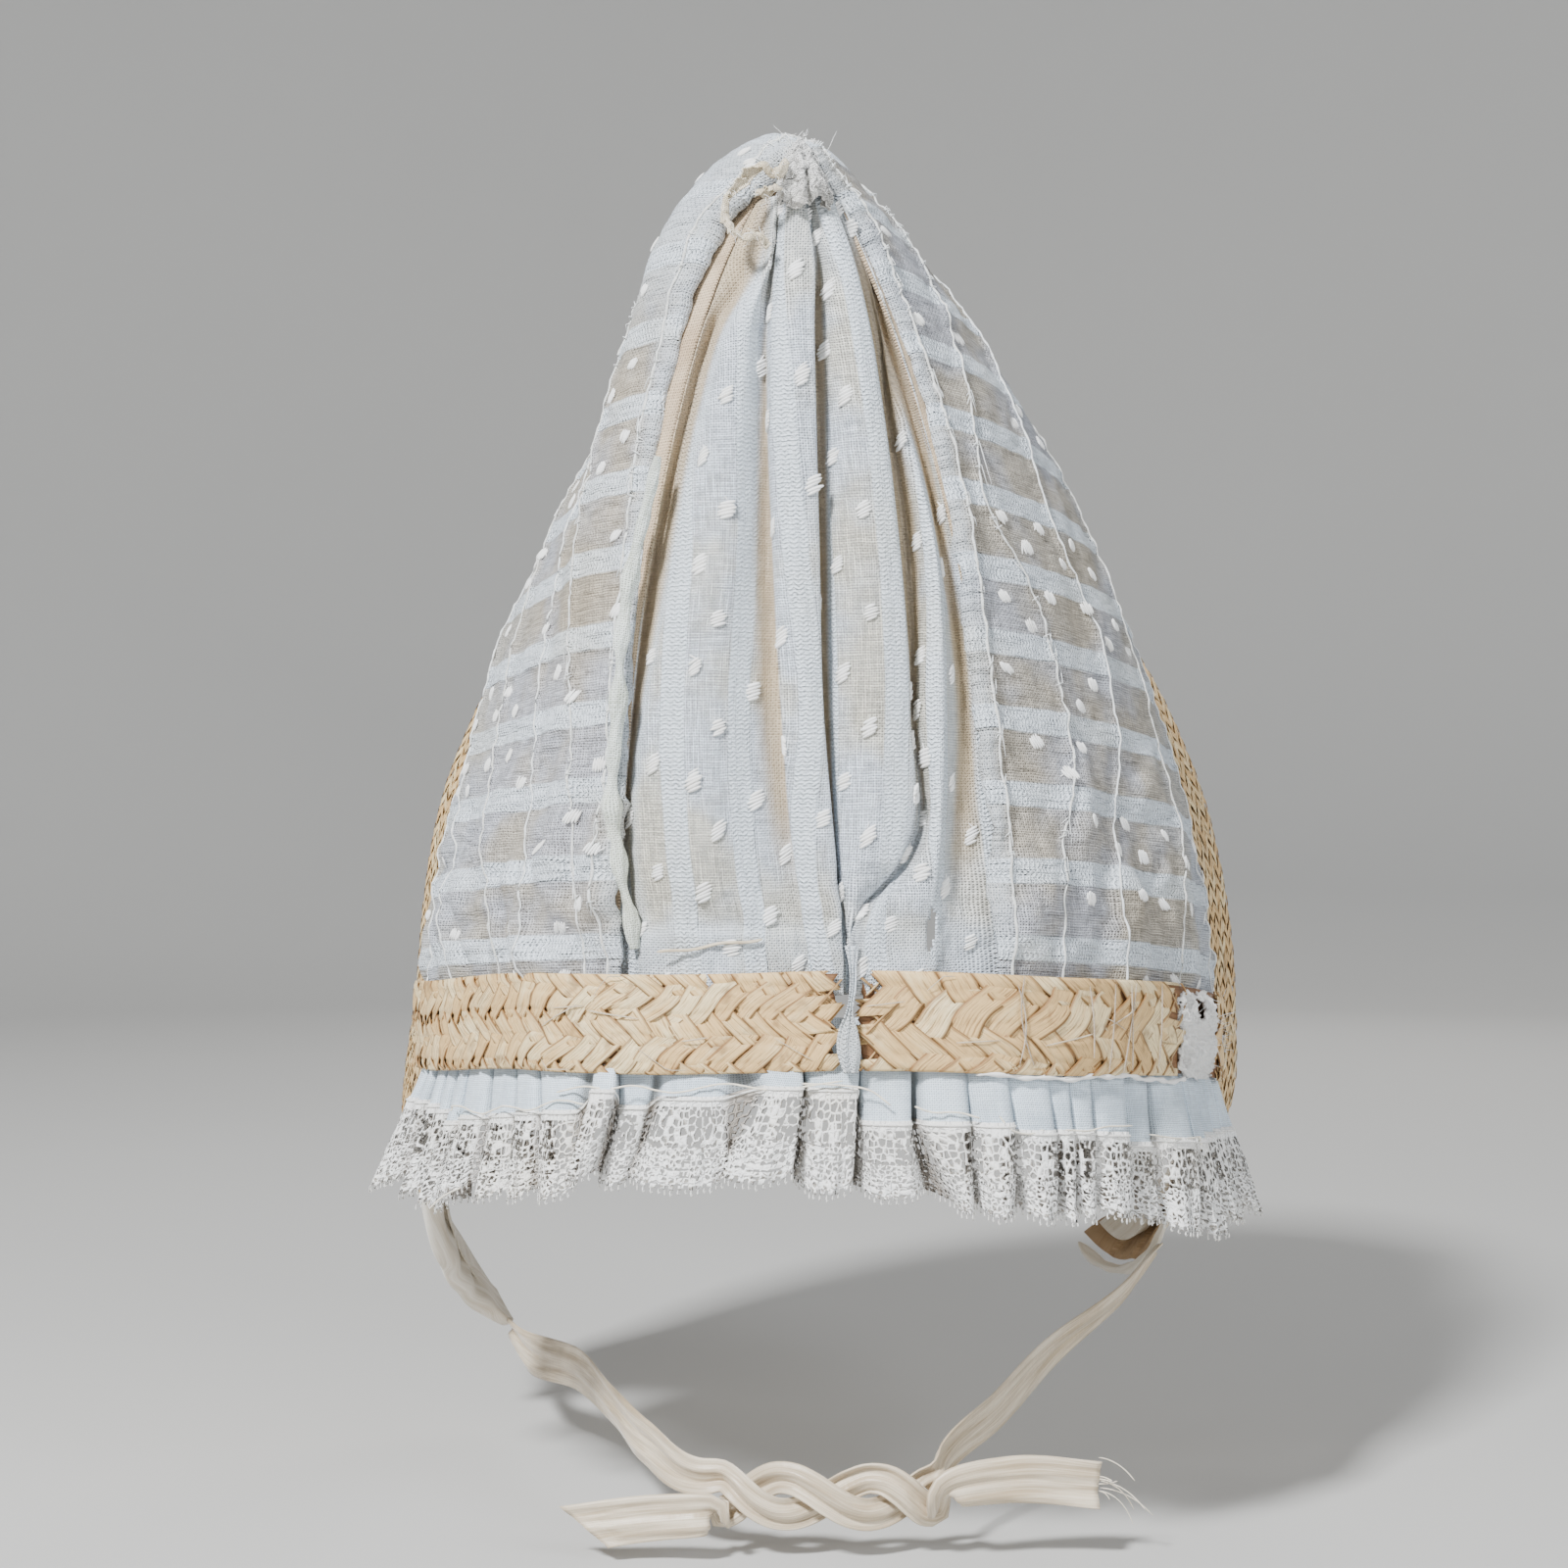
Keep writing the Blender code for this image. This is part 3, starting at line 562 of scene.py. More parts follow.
class Bunch:
    """Strips and threads gathered into one mesh of four-sided faces."""

    def __init__(self) -> None:
        """Start empty."""
        self.points: list[np.ndarray] = []
        self.flat: list[np.ndarray] = []
        self.tones: list[np.ndarray] = []
        self.faces: list = []
        self.count = 0

    def add_grid(self, grid: np.ndarray, flat: np.ndarray, tone: float,
                 keep: Optional[np.ndarray] = None, closed: bool = False) -> None:
        """Add one small sheet, or a tube where closed joins its last column to its first.

        Args:
            grid: Its points.
            flat: Their places on the flat strip, in millimetres.
            tone: Its own shade, from -1 to 1.
            keep: Which cells are there.
            closed: Whether the columns meet.
        """
        rows, columns = grid.shape[:2]
        faces = grid_faces(rows, columns, keep)
        if closed:
            ends = np.arange(rows - 1) * columns
            joint = np.stack((ends + columns - 1, ends, ends + columns, ends + 2 * columns - 1), axis=1)
            faces = np.concatenate((faces, joint))
        self.points.append(grid.reshape(-1, 3))
        self.flat.append(flat.reshape(-1, 2))
        self.tones.append(np.full(rows * columns, tone))
        self.faces.append(faces + self.count)
        self.count += rows * columns

    def add_thread(self, points: np.ndarray, radius: float | np.ndarray, tone: float = 0.0,
                   sides: int = 5) -> None:
        """Add a thin round thread along a list of points, tapered at both ends.

        Args:
            points: Its middle line.
            radius: Its radius, one number or one for each point.
            tone: Its own shade.
            sides: Corners of its section.
        """
        points = np.asarray(points, dtype=float)
        tangents = np.gradient(points, axis=0)
        tangents /= np.linalg.norm(tangents, axis=1, keepdims=True) + 1e-9
        side = np.cross(tangents, (0.13, 0.21, 0.97))
        side /= np.linalg.norm(side, axis=1, keepdims=True) + 1e-9
        other = np.cross(tangents, side)
        radii = np.broadcast_to(np.asarray(radius, float), (len(points),)).copy()
        radii[[0, -1]] *= 0.35
        angles = np.arange(sides) * 2 * math.pi / sides
        ring = (side[:, None] * np.cos(angles)[None, :, None]
                + other[:, None] * np.sin(angles)[None, :, None])
        grid = points[:, None] + ring * radii[:, None, None]
        length = np.concatenate(([0.0], np.cumsum(np.linalg.norm(np.diff(points, axis=0), axis=1))))
        flat = np.stack(np.broadcast_arrays(length[:, None], np.linspace(0, 1, sides)[None]), axis=2)
        self.add_grid(grid, flat, tone, closed=True)

    def finish(self, name: str, material: bpy.types.Material, wall: float = 0.0) -> bpy.types.Object:
        """Make the piece.

        Args:
            name: Its name.
            material: Its finish.
            wall: Thickness of its strips; 0 leaves the mesh as it is.

        Returns:
            The finished piece.
        """
        mesh = new_mesh(name, np.concatenate(self.points), np.concatenate(self.faces),
                        np.concatenate(self.flat) * MM, {"tone": np.concatenate(self.tones)})
        piece = link_piece(name, mesh, material)
        if wall:
            solidify = piece.modifiers.new("wall", "SOLIDIFY")
            solidify.thickness = wall * MM
            solidify.offset = 0.0
            solidify.use_even_offset = False
            apply_modifiers(piece)
        return piece


# Finishes

Colour = tuple[float, float, float]
Socket = bpy.types.NodeSocket
Feed = Socket | float | Colour
WHITE: Colour = (1, 1, 1)


class Bench:
    """Adds and joins the nodes of one material or node group."""

    def __init__(self, tree: bpy.types.NodeTree) -> None:
        """Work on one node tree."""
        self.tree = tree

    def node(self, kind: str, **settings: object) -> bpy.types.Node:
        """Add a node.

        Args:
            kind: Blender's name for its type.
            settings: Its settings, by name.

        Returns:
            The node.
        """
        node = self.tree.nodes.new(kind)
        for key, value in settings.items():
            setattr(node, key, value)
        return node

    def fed(self, kind: str, feeds: dict[str | int, Feed], **settings: object) -> bpy.types.Node:
        """Add a node and feed its inputs.

        Args:
            kind: Blender's name for its type.
            feeds: What goes into each input, by the input's name or number.
            settings: Its settings, by name.

        Returns:
            The node.
        """
        node = self.node(kind, **settings)
        for key, value in feeds.items():
            self.put(node.inputs[key], value)
        return node

    def put(self, socket: Socket, value: Feed) -> None:
        """Feed one input.

        Args:
            socket: The input.
            value: Another socket, which is joined to it, or a number or colour to set.
        """
        if isinstance(value, Socket):
            self.tree.links.new(value, socket)
        elif isinstance(value, tuple) and len(value) == 3 and socket.type == "RGBA":
            socket.default_value = (*value, 1.0)
        else:
            socket.default_value = value

    def sum(self, operation: str, *values: Feed, clamp: bool = False) -> Socket:
        """One step of arithmetic.

        Args:
            operation: Blender's name for it.
            values: The sockets and numbers that it works on.
            clamp: Whether the result is kept between 0 and 1.

        Returns:
            The result.
        """
        node = self.node("ShaderNodeMath", operation=operation, use_clamp=clamp)
        for socket, value in zip(node.inputs, values):
            self.put(socket, value)
        return node.outputs[0]

    def times(self, first: Feed, second: Feed) -> Socket:
        """The product of two values."""
        return self.sum("MULTIPLY", first, second)

    def plus(self, first: Feed, second: Feed, clamp: bool = False) -> Socket:
        """The sum of two values."""
        return self.sum("ADD", first, second, clamp=clamp)

    def minus(self, first: Feed, second: Feed, clamp: bool = False) -> Socket:
        """The first value less the second."""
        return self.sum("SUBTRACT", first, second, clamp=clamp)

    def mix(self, share: Feed, first: Feed, second: Feed, blend: str = "MIX") -> Socket:
        """A colour between two others.

        Args:
            share: How far it lies towards the second, from 0 to 1.
            first: One colour.
            second: The other.
            blend: How the second is laid on the first.

        Returns:
            The colour.
        """
        feeds = {"Factor": share, 6: first, 7: second}
        return self.fed("ShaderNodeMix", feeds, data_type="RGBA", blend_type=blend).outputs[2]

    def shaded(self, colour: Feed, value: Socket) -> Socket:
        """A colour made darker or lighter by a value."""
        return self.mix(1.0, colour, self.mix(1.0, WHITE, value, "MULTIPLY"), "MULTIPLY")

    def ramp(self, value: Feed, low: float, high: float, start: float = 0.0, end: float = 1.0) -> Socket:
        """Bring a value from one range to another, smoothly and without going past its ends.

        Args:
            value: The value.
            low: Where the first range begins.
            high: Where it ends.
            start: What low becomes.
            end: What high becomes.

        Returns:
            The value in its new range.
        """
        node = self.node("ShaderNodeMapRange", interpolation_type="SMOOTHSTEP")
        for socket, number in zip(node.inputs, (value, low, high, start, end)):
            self.put(socket, number)
        return node.outputs[0]

    def noise(self, vector: Socket, scale: float, detail: float = 2.0, roughness: float = 0.55) -> Socket:
        """Smooth unevenness.

        Args:
            vector: The place.
            scale: Lumps to the metre.
            detail: How many finer layers are added.
            roughness: How strong they are.

        Returns:
            A value between 0 and 1.
        """
        feeds = {"Vector": vector, "Scale": scale, "Detail": detail, "Roughness": roughness}
        return self.fed("ShaderNodeTexNoise", feeds).outputs["Fac"]

    def net(self, vector: Socket, scale: float, uneven: float) -> Socket:
        """How far a place is from the threads of a net with many-sided holes.

        Args:
            vector: The place.
            scale: Holes to the metre.
            uneven: From 0 for square holes to 1 for holes of all shapes.

        Returns:
            The distance, as a share of a hole's size.
        """
        feeds = {"Vector": vector, "Scale": scale, "Randomness": uneven}
        return self.fed("ShaderNodeTexVoronoi", feeds, feature="DISTANCE_TO_EDGE").outputs["Distance"]

    def stretch(self, vector: Socket, by: tuple[float, float, float]) -> Socket:
        """A vector with each of its parts multiplied."""
        return self.fed("ShaderNodeVectorMath", {0: vector, 1: by}, operation="MULTIPLY").outputs[0]

    def parts(self, vector: Socket) -> tuple[Socket, Socket]:
        """The two flat parts of a vector."""
        node = self.fed("ShaderNodeSeparateXYZ", {0: vector})
        return node.outputs[0], node.outputs[1]

    def flat_cloth(self) -> Socket:
        """The place on the flat cloth, in metres."""
        return self.node("ShaderNodeUVMap", uv_map="flat_cloth").outputs[0]

    def in_space(self) -> Socket:
        """The place on the object, in metres."""
        return self.node("ShaderNodeTexCoord").outputs["Object"]

    def mark(self, name: str) -> Socket:
        """A value that the mesh carries at each point."""
        return self.node("ShaderNodeAttribute", attribute_name=name).outputs["Fac"]

    def bump(self, height: Feed, depth: float, strength: float = 1.0,
             normal: Optional[Socket] = None) -> Socket:
        """A bumpy surface.

        Args:
            height: Its height, from 0 to 1.
            depth: Metres from its lowest to its highest.
            strength: How much of it is seen.
            normal: A finer bump that it carries.

        Returns:
            The surface's normal.
        """
        feeds = {"Strength": strength, "Distance": depth, "Height": height}
        if normal is not None:
            feeds["Normal"] = normal
        return self.fed("ShaderNodeBump", feeds).outputs[0]

    def use(self, group: bpy.types.NodeTree, **values: Feed) -> bpy.types.Node:
        """Place a node group and feed its inputs, given by name."""
        return self.fed("ShaderNodeGroup", values, node_tree=group)


def effect(name: str, inputs: Sequence[tuple[str, str, object]], outputs: Sequence[tuple[str, str]],
           make: Callable[[Bench, dict], dict]) -> bpy.types.NodeTree:
    """A shared effect as a node group, built once.

    Args:
        name: The group's name.
        inputs: Name, kind (Float, Vector or Color) and usual value of each input.
        outputs: Name and kind of each output.
        make: Builds the inside from the input sockets and gives the output sockets by name.

    Returns:
        The group.
    """
    if name in bpy.data.node_groups:
        return bpy.data.node_groups[name]
    group = bpy.data.node_groups.new(name, "ShaderNodeTree")
    for label, kind, usual in inputs:
        socket = group.interface.new_socket(label, in_out="INPUT", socket_type=f"NodeSocket{kind}")
        if usual is not None:
            socket.default_value = (*usual, 1.0) if kind == "Color" else usual
    for label, kind in outputs:
        group.interface.new_socket(label, in_out="OUTPUT", socket_type=f"NodeSocket{kind}")
    bench = Bench(group)
    entry, leave = bench.node("NodeGroupInput"), bench.node("NodeGroupOutput")
    made = make(bench, {label: entry.outputs[label] for label, _, _ in inputs})
    for label, socket in made.items():
        bench.put(leave.inputs[label], socket)
    return group


def woven_cloth() -> bpy.types.NodeTree:
    """Plain weave of uneven threads: how much thread there is, its height and its streaks.

    Returns:
        The group.
    """

    def make(b: Bench, given: dict[str, Socket]) -> dict[str, Socket]:
        """Build the weave from two sets of rounded threads that pass over and under.

        Args:
            b: Where the nodes are made.
            given: The group's inputs.

        Returns:
            Its outputs.
        """
        wobble = b.noise(given["Place"], 180.0, 1.0)
        x, y = b.parts(given["Place"])
        bend = b.times(b.minus(wobble, 0.5), 1.1)
        u = b.plus(b.sum("DIVIDE", x, given["Pitch"]), bend)
        v = b.plus(b.sum("DIVIDE", y, given["Pitch"]), bend)
        warp = b.sum("ABSOLUTE", b.sum("SINE", b.times(u, math.pi)))
        weft = b.sum("ABSOLUTE", b.sum("SINE", b.times(v, math.pi)))
        cross = b.times(b.sum("COSINE", b.times(u, math.pi)), b.sum("COSINE", b.times(v, math.pi)))
        height = b.plus(b.sum("MAXIMUM", warp, weft), b.times(cross, 0.3))
        along = b.noise(b.stretch(given["Place"], (1.0, 0.09, 1.0)), 1500.0, 3.0, 0.65)
        around = b.noise(b.stretch(given["Place"], (0.09, 1.0, 1.0)), 1500.0, 3.0, 0.65)
        streaks = b.plus(b.times(along, 0.5), b.times(around, 0.5))
        cover = b.ramp(b.sum("MAXIMUM", warp, weft), 0.35, 0.9)
        return {"Cover": cover, "Height": height, "Streaks": streaks}

    return effect("woven_cloth", (("Place", "Vector", None), ("Pitch", "Float", 0.0007)),
                  (("Cover", "Float"), ("Height", "Float"), ("Streaks", "Float")), make)


def satin_stripes() -> bpy.types.NodeTree:
    """Woven satin stripes with soft edges and the fine slant of a twill.

    Returns:
        The group.
    """

    def make(b: Bench, given: dict[str, Socket]) -> dict[str, Socket]:
        """Repeat one stripe across the cloth and slant its threads.

        Args:
            b: Where the nodes are made.
            given: The group's inputs.

        Returns:
            Its outputs.
        """
        x, y = b.parts(given["Place"])
        drift = b.times(b.minus(b.noise(given["Place"], 45.0, 1.0), 0.5), 0.0009)
        place = b.sum("DIVIDE", b.plus(b.minus(x, given["First"]), drift), given["Repeat"])
        away = b.sum("ABSOLUTE", b.minus(b.sum("FRACT", b.plus(place, 0.5)), 0.5))
        half = b.sum("DIVIDE", b.times(given["Width"], 0.5), given["Repeat"])
        edge = b.minus(away, half)
        stripe = b.ramp(edge, 0.018, -0.022)
        turned = b.times(b.sum("SINE", b.times(x, 2600.0)), 1.1)
        shake = b.times(b.noise(given["Place"], 1100.0, 2.0), 5.0)
        slant = b.sum("SINE", b.plus(b.times(y, 5200.0), b.plus(turned, shake)))
        twill = b.times(b.ramp(slant, -1.0, 1.0), stripe)
        return {"Stripe": stripe, "Twill": twill}

    return effect("satin_stripes", (("Place", "Vector", None), ("Repeat", "Float", 0.0192),
                                    ("Width", "Float", 0.0068), ("First", "Float", 0.0)),
                  (("Stripe", "Float"), ("Twill", "Float")), make)


def age_and_dust() -> bpy.types.NodeTree:
    """Yellowed patches and small stains on any colour.

    Returns:
        The group.
    """

    def make(b: Bench, given: dict[str, Socket]) -> dict[str, Socket]:
        """Lay two layers of broad unevenness over the clean colour.

        Args:
            b: Where the nodes are made.
            given: The group's inputs.

        Returns:
            Its outputs.
        """
        broad = b.ramp(b.noise(given["Place"], 22.0, 3.0), 0.48, 0.78)
        small = b.ramp(b.noise(given["Place"], 120.0, 3.0, 0.6), 0.6, 0.8)
        aged = b.mix(b.times(broad, given["Amount"]), given["Clean"], given["Stain"], "MULTIPLY")
        share = b.times(small, b.times(given["Amount"], 0.45))
        return {"Colour": b.mix(share, aged, given["Stain"], "MULTIPLY")}

    return effect("age_and_dust", (("Clean", "Color", WHITE), ("Stain", "Color", (0.86, 0.74, 0.52)),
                                   ("Amount", "Float", 0.4), ("Place", "Vector", None)),
                  (("Colour", "Color"),), make)


def straw_fibre() -> bpy.types.NodeTree:
    """Split straw: fine fibres along it, a shade for each straw and dark bruises.

    Returns:
        The group.
    """

    def make(b: Bench, given: dict[str, Socket]) -> dict[str, Socket]:
        """Mix pale, ripe and bruised straw by fibre, tone and blotch.

        Args:
            b: Where the nodes are made.
            given: The group's inputs.

        Returns:
            Its outputs.
        """
        fine = b.noise(b.stretch(given["Place"], (0.04, 1.0, 1.0)), 2600.0, 3.0, 0.65)
        coarse = b.noise(b.stretch(given["Place"], (0.09, 1.0, 1.0)), 600.0, 2.0)
        blotch = b.noise(given["Space"], 130.0, 3.0)
        shade = b.plus(b.times(given["Tone"], 0.36), b.times(coarse, 0.9))
        shade = b.plus(b.minus(shade, 0.2), b.times(b.minus(blotch, 0.5), 0.9))
        colour = b.mix(b.ramp(shade, 0.0, 0.75), given["Ripe"], given["Pale"])
        streak = b.ramp(fine, 0.50, 0.33)
        colour = b.mix(b.times(streak, 0.75), colour, given["Bruised"])
        bruise = b.ramp(blotch, 0.56, 0.72)
        colour = b.mix(b.times(bruise, 0.6), colour, given["Bruised"])
        height = b.plus(b.times(fine, 0.7), b.times(coarse, 0.5))
        rough = b.ramp(fine, 0.2, 0.8, 0.42, 0.62)
        return {"Colour": colour, "Height": height, "Roughness": rough}

    return effect("straw_fibre", (("Place", "Vector", None), ("Space", "Vector", None),
                                  ("Tone", "Float", 0.0), ("Pale", "Color", (0.84, 0.68, 0.45)),
                                  ("Ripe", "Color", (0.72, 0.47, 0.24)),
                                  ("Bruised", "Color", (0.40, 0.22, 0.10))),
                  (("Colour", "Color"), ("Height", "Float"), ("Roughness", "Float")), make)


class Finish:
    """A procedural material, made when it is first asked for."""

    label = "finish"

    def fill(self, bench: Bench, shader: bpy.types.Node) -> None:
        """Build the nodes that feed the shader, on a bench of their own."""
        raise NotImplementedError(f"{self.label} has no nodes for {shader.name} in {bench.tree.name}")

    def material(self) -> bpy.types.Material:
        """Build the material, or find it where it is built already.

        Returns:
            The material.
        """
        if self.label in bpy.data.materials:
            return bpy.data.materials[self.label]
        material = bpy.data.materials.new(self.label)
        material.use_nodes = True
        shader = material.node_tree.nodes["Principled BSDF"]
        self.fill(Bench(material.node_tree), shader)
        return material


@dataclass(frozen=True)
class Muslin(Finish):
    """Spotted muslin's ground: sheer plain weave with white satin stripes.

    The marks tan, edge and dense on a piece say where the tan backing shows, where the cloth
    is folded double at an edge, and where several layers lie together.
    """

    label: str = "striped_muslin"
    sheer: Colour = (0.58, 0.63, 0.70)
    warm: Colour = (0.56, 0.53, 0.44)
    stripe: Colour = (0.83, 0.91, 0.99)
    backing: Colour = (0.48, 0.36, 0.21)
    pucker: float = 0.0009
    pucker_size: float = 330.0
    sheer_cover: float = 0.86
    stripe_cover: float = 0.97
    first: float = 0.0
    repeat: float = 0.0192
    width: float = 0.0068
    stripes: float = 1.0
    age: float = 0.35

    def fill(self, bench: Bench, shader: bpy.types.Node) -> None:
        """Weave, stripe and age the cloth.

        Args:
            bench: Where the nodes are made.
            shader: What they feed.
        """
        b = bench
        place = b.flat_cloth()
        weave = b.use(woven_cloth(), Place=place, Pitch=0.00068)
        lines = b.use(satin_stripes(), Place=place, Repeat=self.repeat, Width=self.width, First=self.first)
        stripe = b.times(lines.outputs["Stripe"], self.stripes)
        dense = b.sum("MAXIMUM", b.mark("dense"), b.mark("edge"))
        solid = b.sum("MAXIMUM", stripe, b.times(dense, 0.9))
        thread = b.ramp(weave.outputs["Streaks"], 0.36, 0.64, 0.62, 1.34)
        patch = b.ramp(b.noise(b.in_space(), 26.0, 3.0), 0.42, 0.60)
        sheer = b.mix(b.times(patch, 0.8), self.sheer, self.warm)
        gaps = b.ramp(weave.outputs["Cover"], 0.0, 1.0, 0.34, 1.18)
        sheer = b.shaded(b.shaded(sheer, thread), gaps)
        twill = b.ramp(lines.outputs["Twill"], 0.0, 1.0, 0.78, 1.04)
        colour = b.mix(solid, sheer, b.shaded(self.stripe, twill))
        aged = b.use(age_and_dust(), Clean=colour, Amount=self.age, Place=b.in_space())
        tan = b.mark("tan")
        backing = b.mix(b.ramp(weave.outputs["Streaks"], 0.3, 0.7), self.backing,
                        tuple(part * 1.35 for part in self.backing))
        b.put(shader.inputs["Base Color"], b.mix(b.times(tan, 0.92), aged.outputs[0], backing))
        holes = b.ramp(weave.outputs["Cover"], 0.0, 1.0, -0.16, 0.08)
        sheerness = b.plus(holes, self.sheer_cover)
        cover = b.plus(b.times(solid, self.stripe_cover), b.times(b.minus(1.0, solid), sheerness), clamp=True)
        b.put(shader.inputs["Alpha"], b.sum("MAXIMUM", cover, tan, clamp=True))
        b.put(shader.inputs["Roughness"], b.ramp(stripe, 0.0, 1.0, 0.9, 0.7))
        height = b.plus(weave.outputs["Height"], b.times(lines.outputs["Twill"], 0.9))
        fine = b.bump(height, 0.00042, 0.95)
        drawn = b.noise(b.stretch(place, (1.0, 0.16, 1.0)), self.pucker_size, 3.0, 0.55)
        slack = b.noise(b.stretch(place, (0.8, 0.5, 1.0)), 95.0, 2.0)
        folds = b.plus(drawn, b.times(slack, 1.6))
        b.put(shader.inputs["Normal"], b.bump(folds, self.pucker, 0.9, fine))
        shader.inputs["Sheen Weight"].default_value = 0.12
        shader.inputs["Sheen Roughness"].default_value = 0.5


@dataclass(frozen=True)
class PlainCloth(Finish):
    """Plain cloth such as the frill, the tan foundation or wadding."""

    label: str = "frill_muslin"
    colour: Colour = (0.70, 0.79, 0.86)
    shade: Colour = (0.50, 0.56, 0.62)
    stain: Colour = (0.86, 0.76, 0.58)
    pitch: float = 0.0006
    cover: float = 1.0
    gap_cover: float = 1.0
    depth: float = 0.00018
    age: float = 0.25
    fuzz: float = 0.0
    between: float = 0.52
    # Colour of the painted shade in the gaps between pleats, laid where the mark gap is.
    painted_gap_shade: Colour = (0.34, 0.31, 0.28)

    def fill(self, bench: Bench, shader: bpy.types.Node) -> None:
        """Weave and age the cloth, with holes between its threads where it is open.

        Args:
            bench: Where the nodes are made.
            shader: What they feed.
        """
        b = bench
        weave = b.use(woven_cloth(), Place=b.flat_cloth(), Pitch=self.pitch)
        broad = b.noise(b.in_space(), 60.0, 3.0)
        share = b.plus(b.times(weave.outputs["Streaks"], 0.8), b.times(broad, 0.4))
        colour = b.mix(b.ramp(share, 0.46, 0.72), self.shade, self.colour)
        gaps = b.ramp(weave.outputs["Cover"], 0.0, 1.0, self.between, 1.06)
        aged = b.use(age_and_dust(), Clean=b.shaded(colour, gaps), Stain=self.stain, Amount=self.age,
                     Place=b.in_space())
        # Painted shade: the cloth darkens where the mark gap lies, in the gaps between pleats.
        colour = b.mix(b.mark("gap"), aged.outputs[0], self.painted_gap_shade, "MULTIPLY")
        b.put(shader.inputs["Base Color"], colour)
        b.put(shader.inputs["Roughness"], b.ramp(weave.outputs["Streaks"], 0.3, 0.7, 0.82, 0.95))
        height = weave.outputs["Height"]
        if self.fuzz:
            lumps = b.noise(b.in_space(), 420.0, 5.0, 0.7)
            height = b.plus(height, b.times(lumps, 8.0 * self.fuzz))
        b.put(shader.inputs["Normal"], b.bump(height, self.depth, 0.8))
        if self.gap_cover < 1.0:
            cover = b.ramp(weave.outputs["Cover"], 0.2, 0.8, self.gap_cover, self.cover)
            b.put(shader.inputs["Alpha"], cover)
        shader.inputs["Sheen Weight"].default_value = 0.2
        shader.inputs["Sheen Roughness"].default_value = 0.5


@dataclass(frozen=True)
class Straw(Finish):
    """Split straw of the plaits."""

    label: str = "split_straw"
    pale: Colour = (0.97, 0.80, 0.47)
    ripe: Colour = (0.77, 0.51, 0.23)
    bruised: Colour = (0.22, 0.10, 0.03)
    shine: float = 0.35
    half: float = 0.0
    apart: float = 0.040

    def fill(self, bench: Bench, shader: bpy.types.Node) -> None:
        """Grain the straw, and darken both edges of each straw where its half width is given.

        Args:
            bench: Where the nodes are made.
            shader: What they feed.
        """
        b = bench
        straw = b.use(straw_fibre(), Place=b.flat_cloth(), Space=b.in_space(), Tone=b.mark("tone"),
                      Pale=self.pale, Ripe=self.ripe, Bruised=self.bruised)
        colour = straw.outputs["Colour"]
        if self.half:
            # Both edges of each straw are darkened: the straws' own darker edges, and painted shade where one
            # straw laps another.
            turns = b.plus(b.sum("DIVIDE", b.parts(b.flat_cloth())[1], self.apart), 0.5)
            away = b.sum("ABSOLUTE", b.minus(b.sum("FRACT", turns), 0.5))
            dark_edge_and_shade = b.ramp(b.times(away, self.apart), self.half * 0.72, self.half * 0.98)
            colour = b.mix(b.times(dark_edge_and_shade, 0.85), colour, self.bruised)
        b.put(shader.inputs["Base Color"], colour)
        b.put(shader.inputs["Roughness"], straw.outputs["Roughness"])
        b.put(shader.inputs["Normal"], b.bump(straw.outputs["Height"], 0.0006, 0.9))
        shader.inputs["Specular IOR Level"].default_value = self.shine


@dataclass(frozen=True)
class Satin(Finish):
    """Silk satin of the ties and the lining, with fine lengthwise threads and faint creases."""

    label: str = "cream_satin"
    light: Colour = (0.78, 0.68, 0.53)
    deep: Colour = (0.47, 0.37, 0.25)
    roughness: float = 0.34
    age: float = 0.35

    def fill(self, bench: Bench, shader: bpy.types.Node) -> None:
        """Draw the threads out along the ribbon and crease it lightly.

        Args:
            bench: Where the nodes are made.
            shader: What they feed.
        """
        b = bench
        place = b.flat_cloth()
        threads = b.noise(b.stretch(place, (1.0, 0.02, 1.0)), 3200.0, 2.0)
        bands = b.noise(b.stretch(place, (1.0, 0.06, 1.0)), 420.0, 2.0)
        creases = b.noise(b.stretch(place, (0.5, 1.0, 1.0)), 160.0, 3.0)
        share = b.plus(b.times(threads, 0.45), b.times(bands, 0.55))
        colour = b.mix(b.ramp(share, 0.35, 0.65), self.deep, self.light)
        aged = b.use(age_and_dust(), Clean=colour, Amount=self.age, Place=b.in_space())
        b.put(shader.inputs["Base Color"], aged.outputs[0])
        b.put(shader.inputs["Roughness"], b.ramp(bands, 0.3, 0.7, self.roughness, self.roughness + 0.16))
        fine = b.bump(threads, 0.00008, 0.6)
        b.put(shader.inputs["Normal"], b.bump(creases, 0.0009, 0.5, fine))
        shader.inputs["Sheen Weight"].default_value = 0.3
        shader.inputs["Sheen Roughness"].default_value = 0.35


@dataclass(frozen=True)
class Thread(Finish):
    """Twisted cotton or linen thread, for cords, stitches, spots and loose ends."""

    label: str = "white_thread"
    light: Colour = (0.96, 0.96, 0.95)
    deep: Colour = (0.84, 0.82, 0.78)
    twist: float = 2600.0

    def fill(self, bench: Bench, shader: bpy.types.Node) -> None:
        """Twist fine strands along the thread and vary them by the tone of each.

        Args:
            bench: Where the nodes are made.
            shader: What they feed.
        """
        b = bench
        strand = b.noise(b.in_space(), self.twist, 2.0)
        share = b.plus(b.times(b.mark("tone"), 0.25), strand)
        b.put(shader.inputs["Base Color"], b.mix(b.ramp(share, 0.25, 0.6), self.deep, self.light))
        b.put(shader.inputs["Roughness"], b.ramp(strand, 0.3, 0.7, 0.75, 0.95))
        b.put(shader.inputs["Normal"], b.bump(strand, 0.0002, 0.7))
        shader.inputs["Sheen Weight"].default_value = 0.2


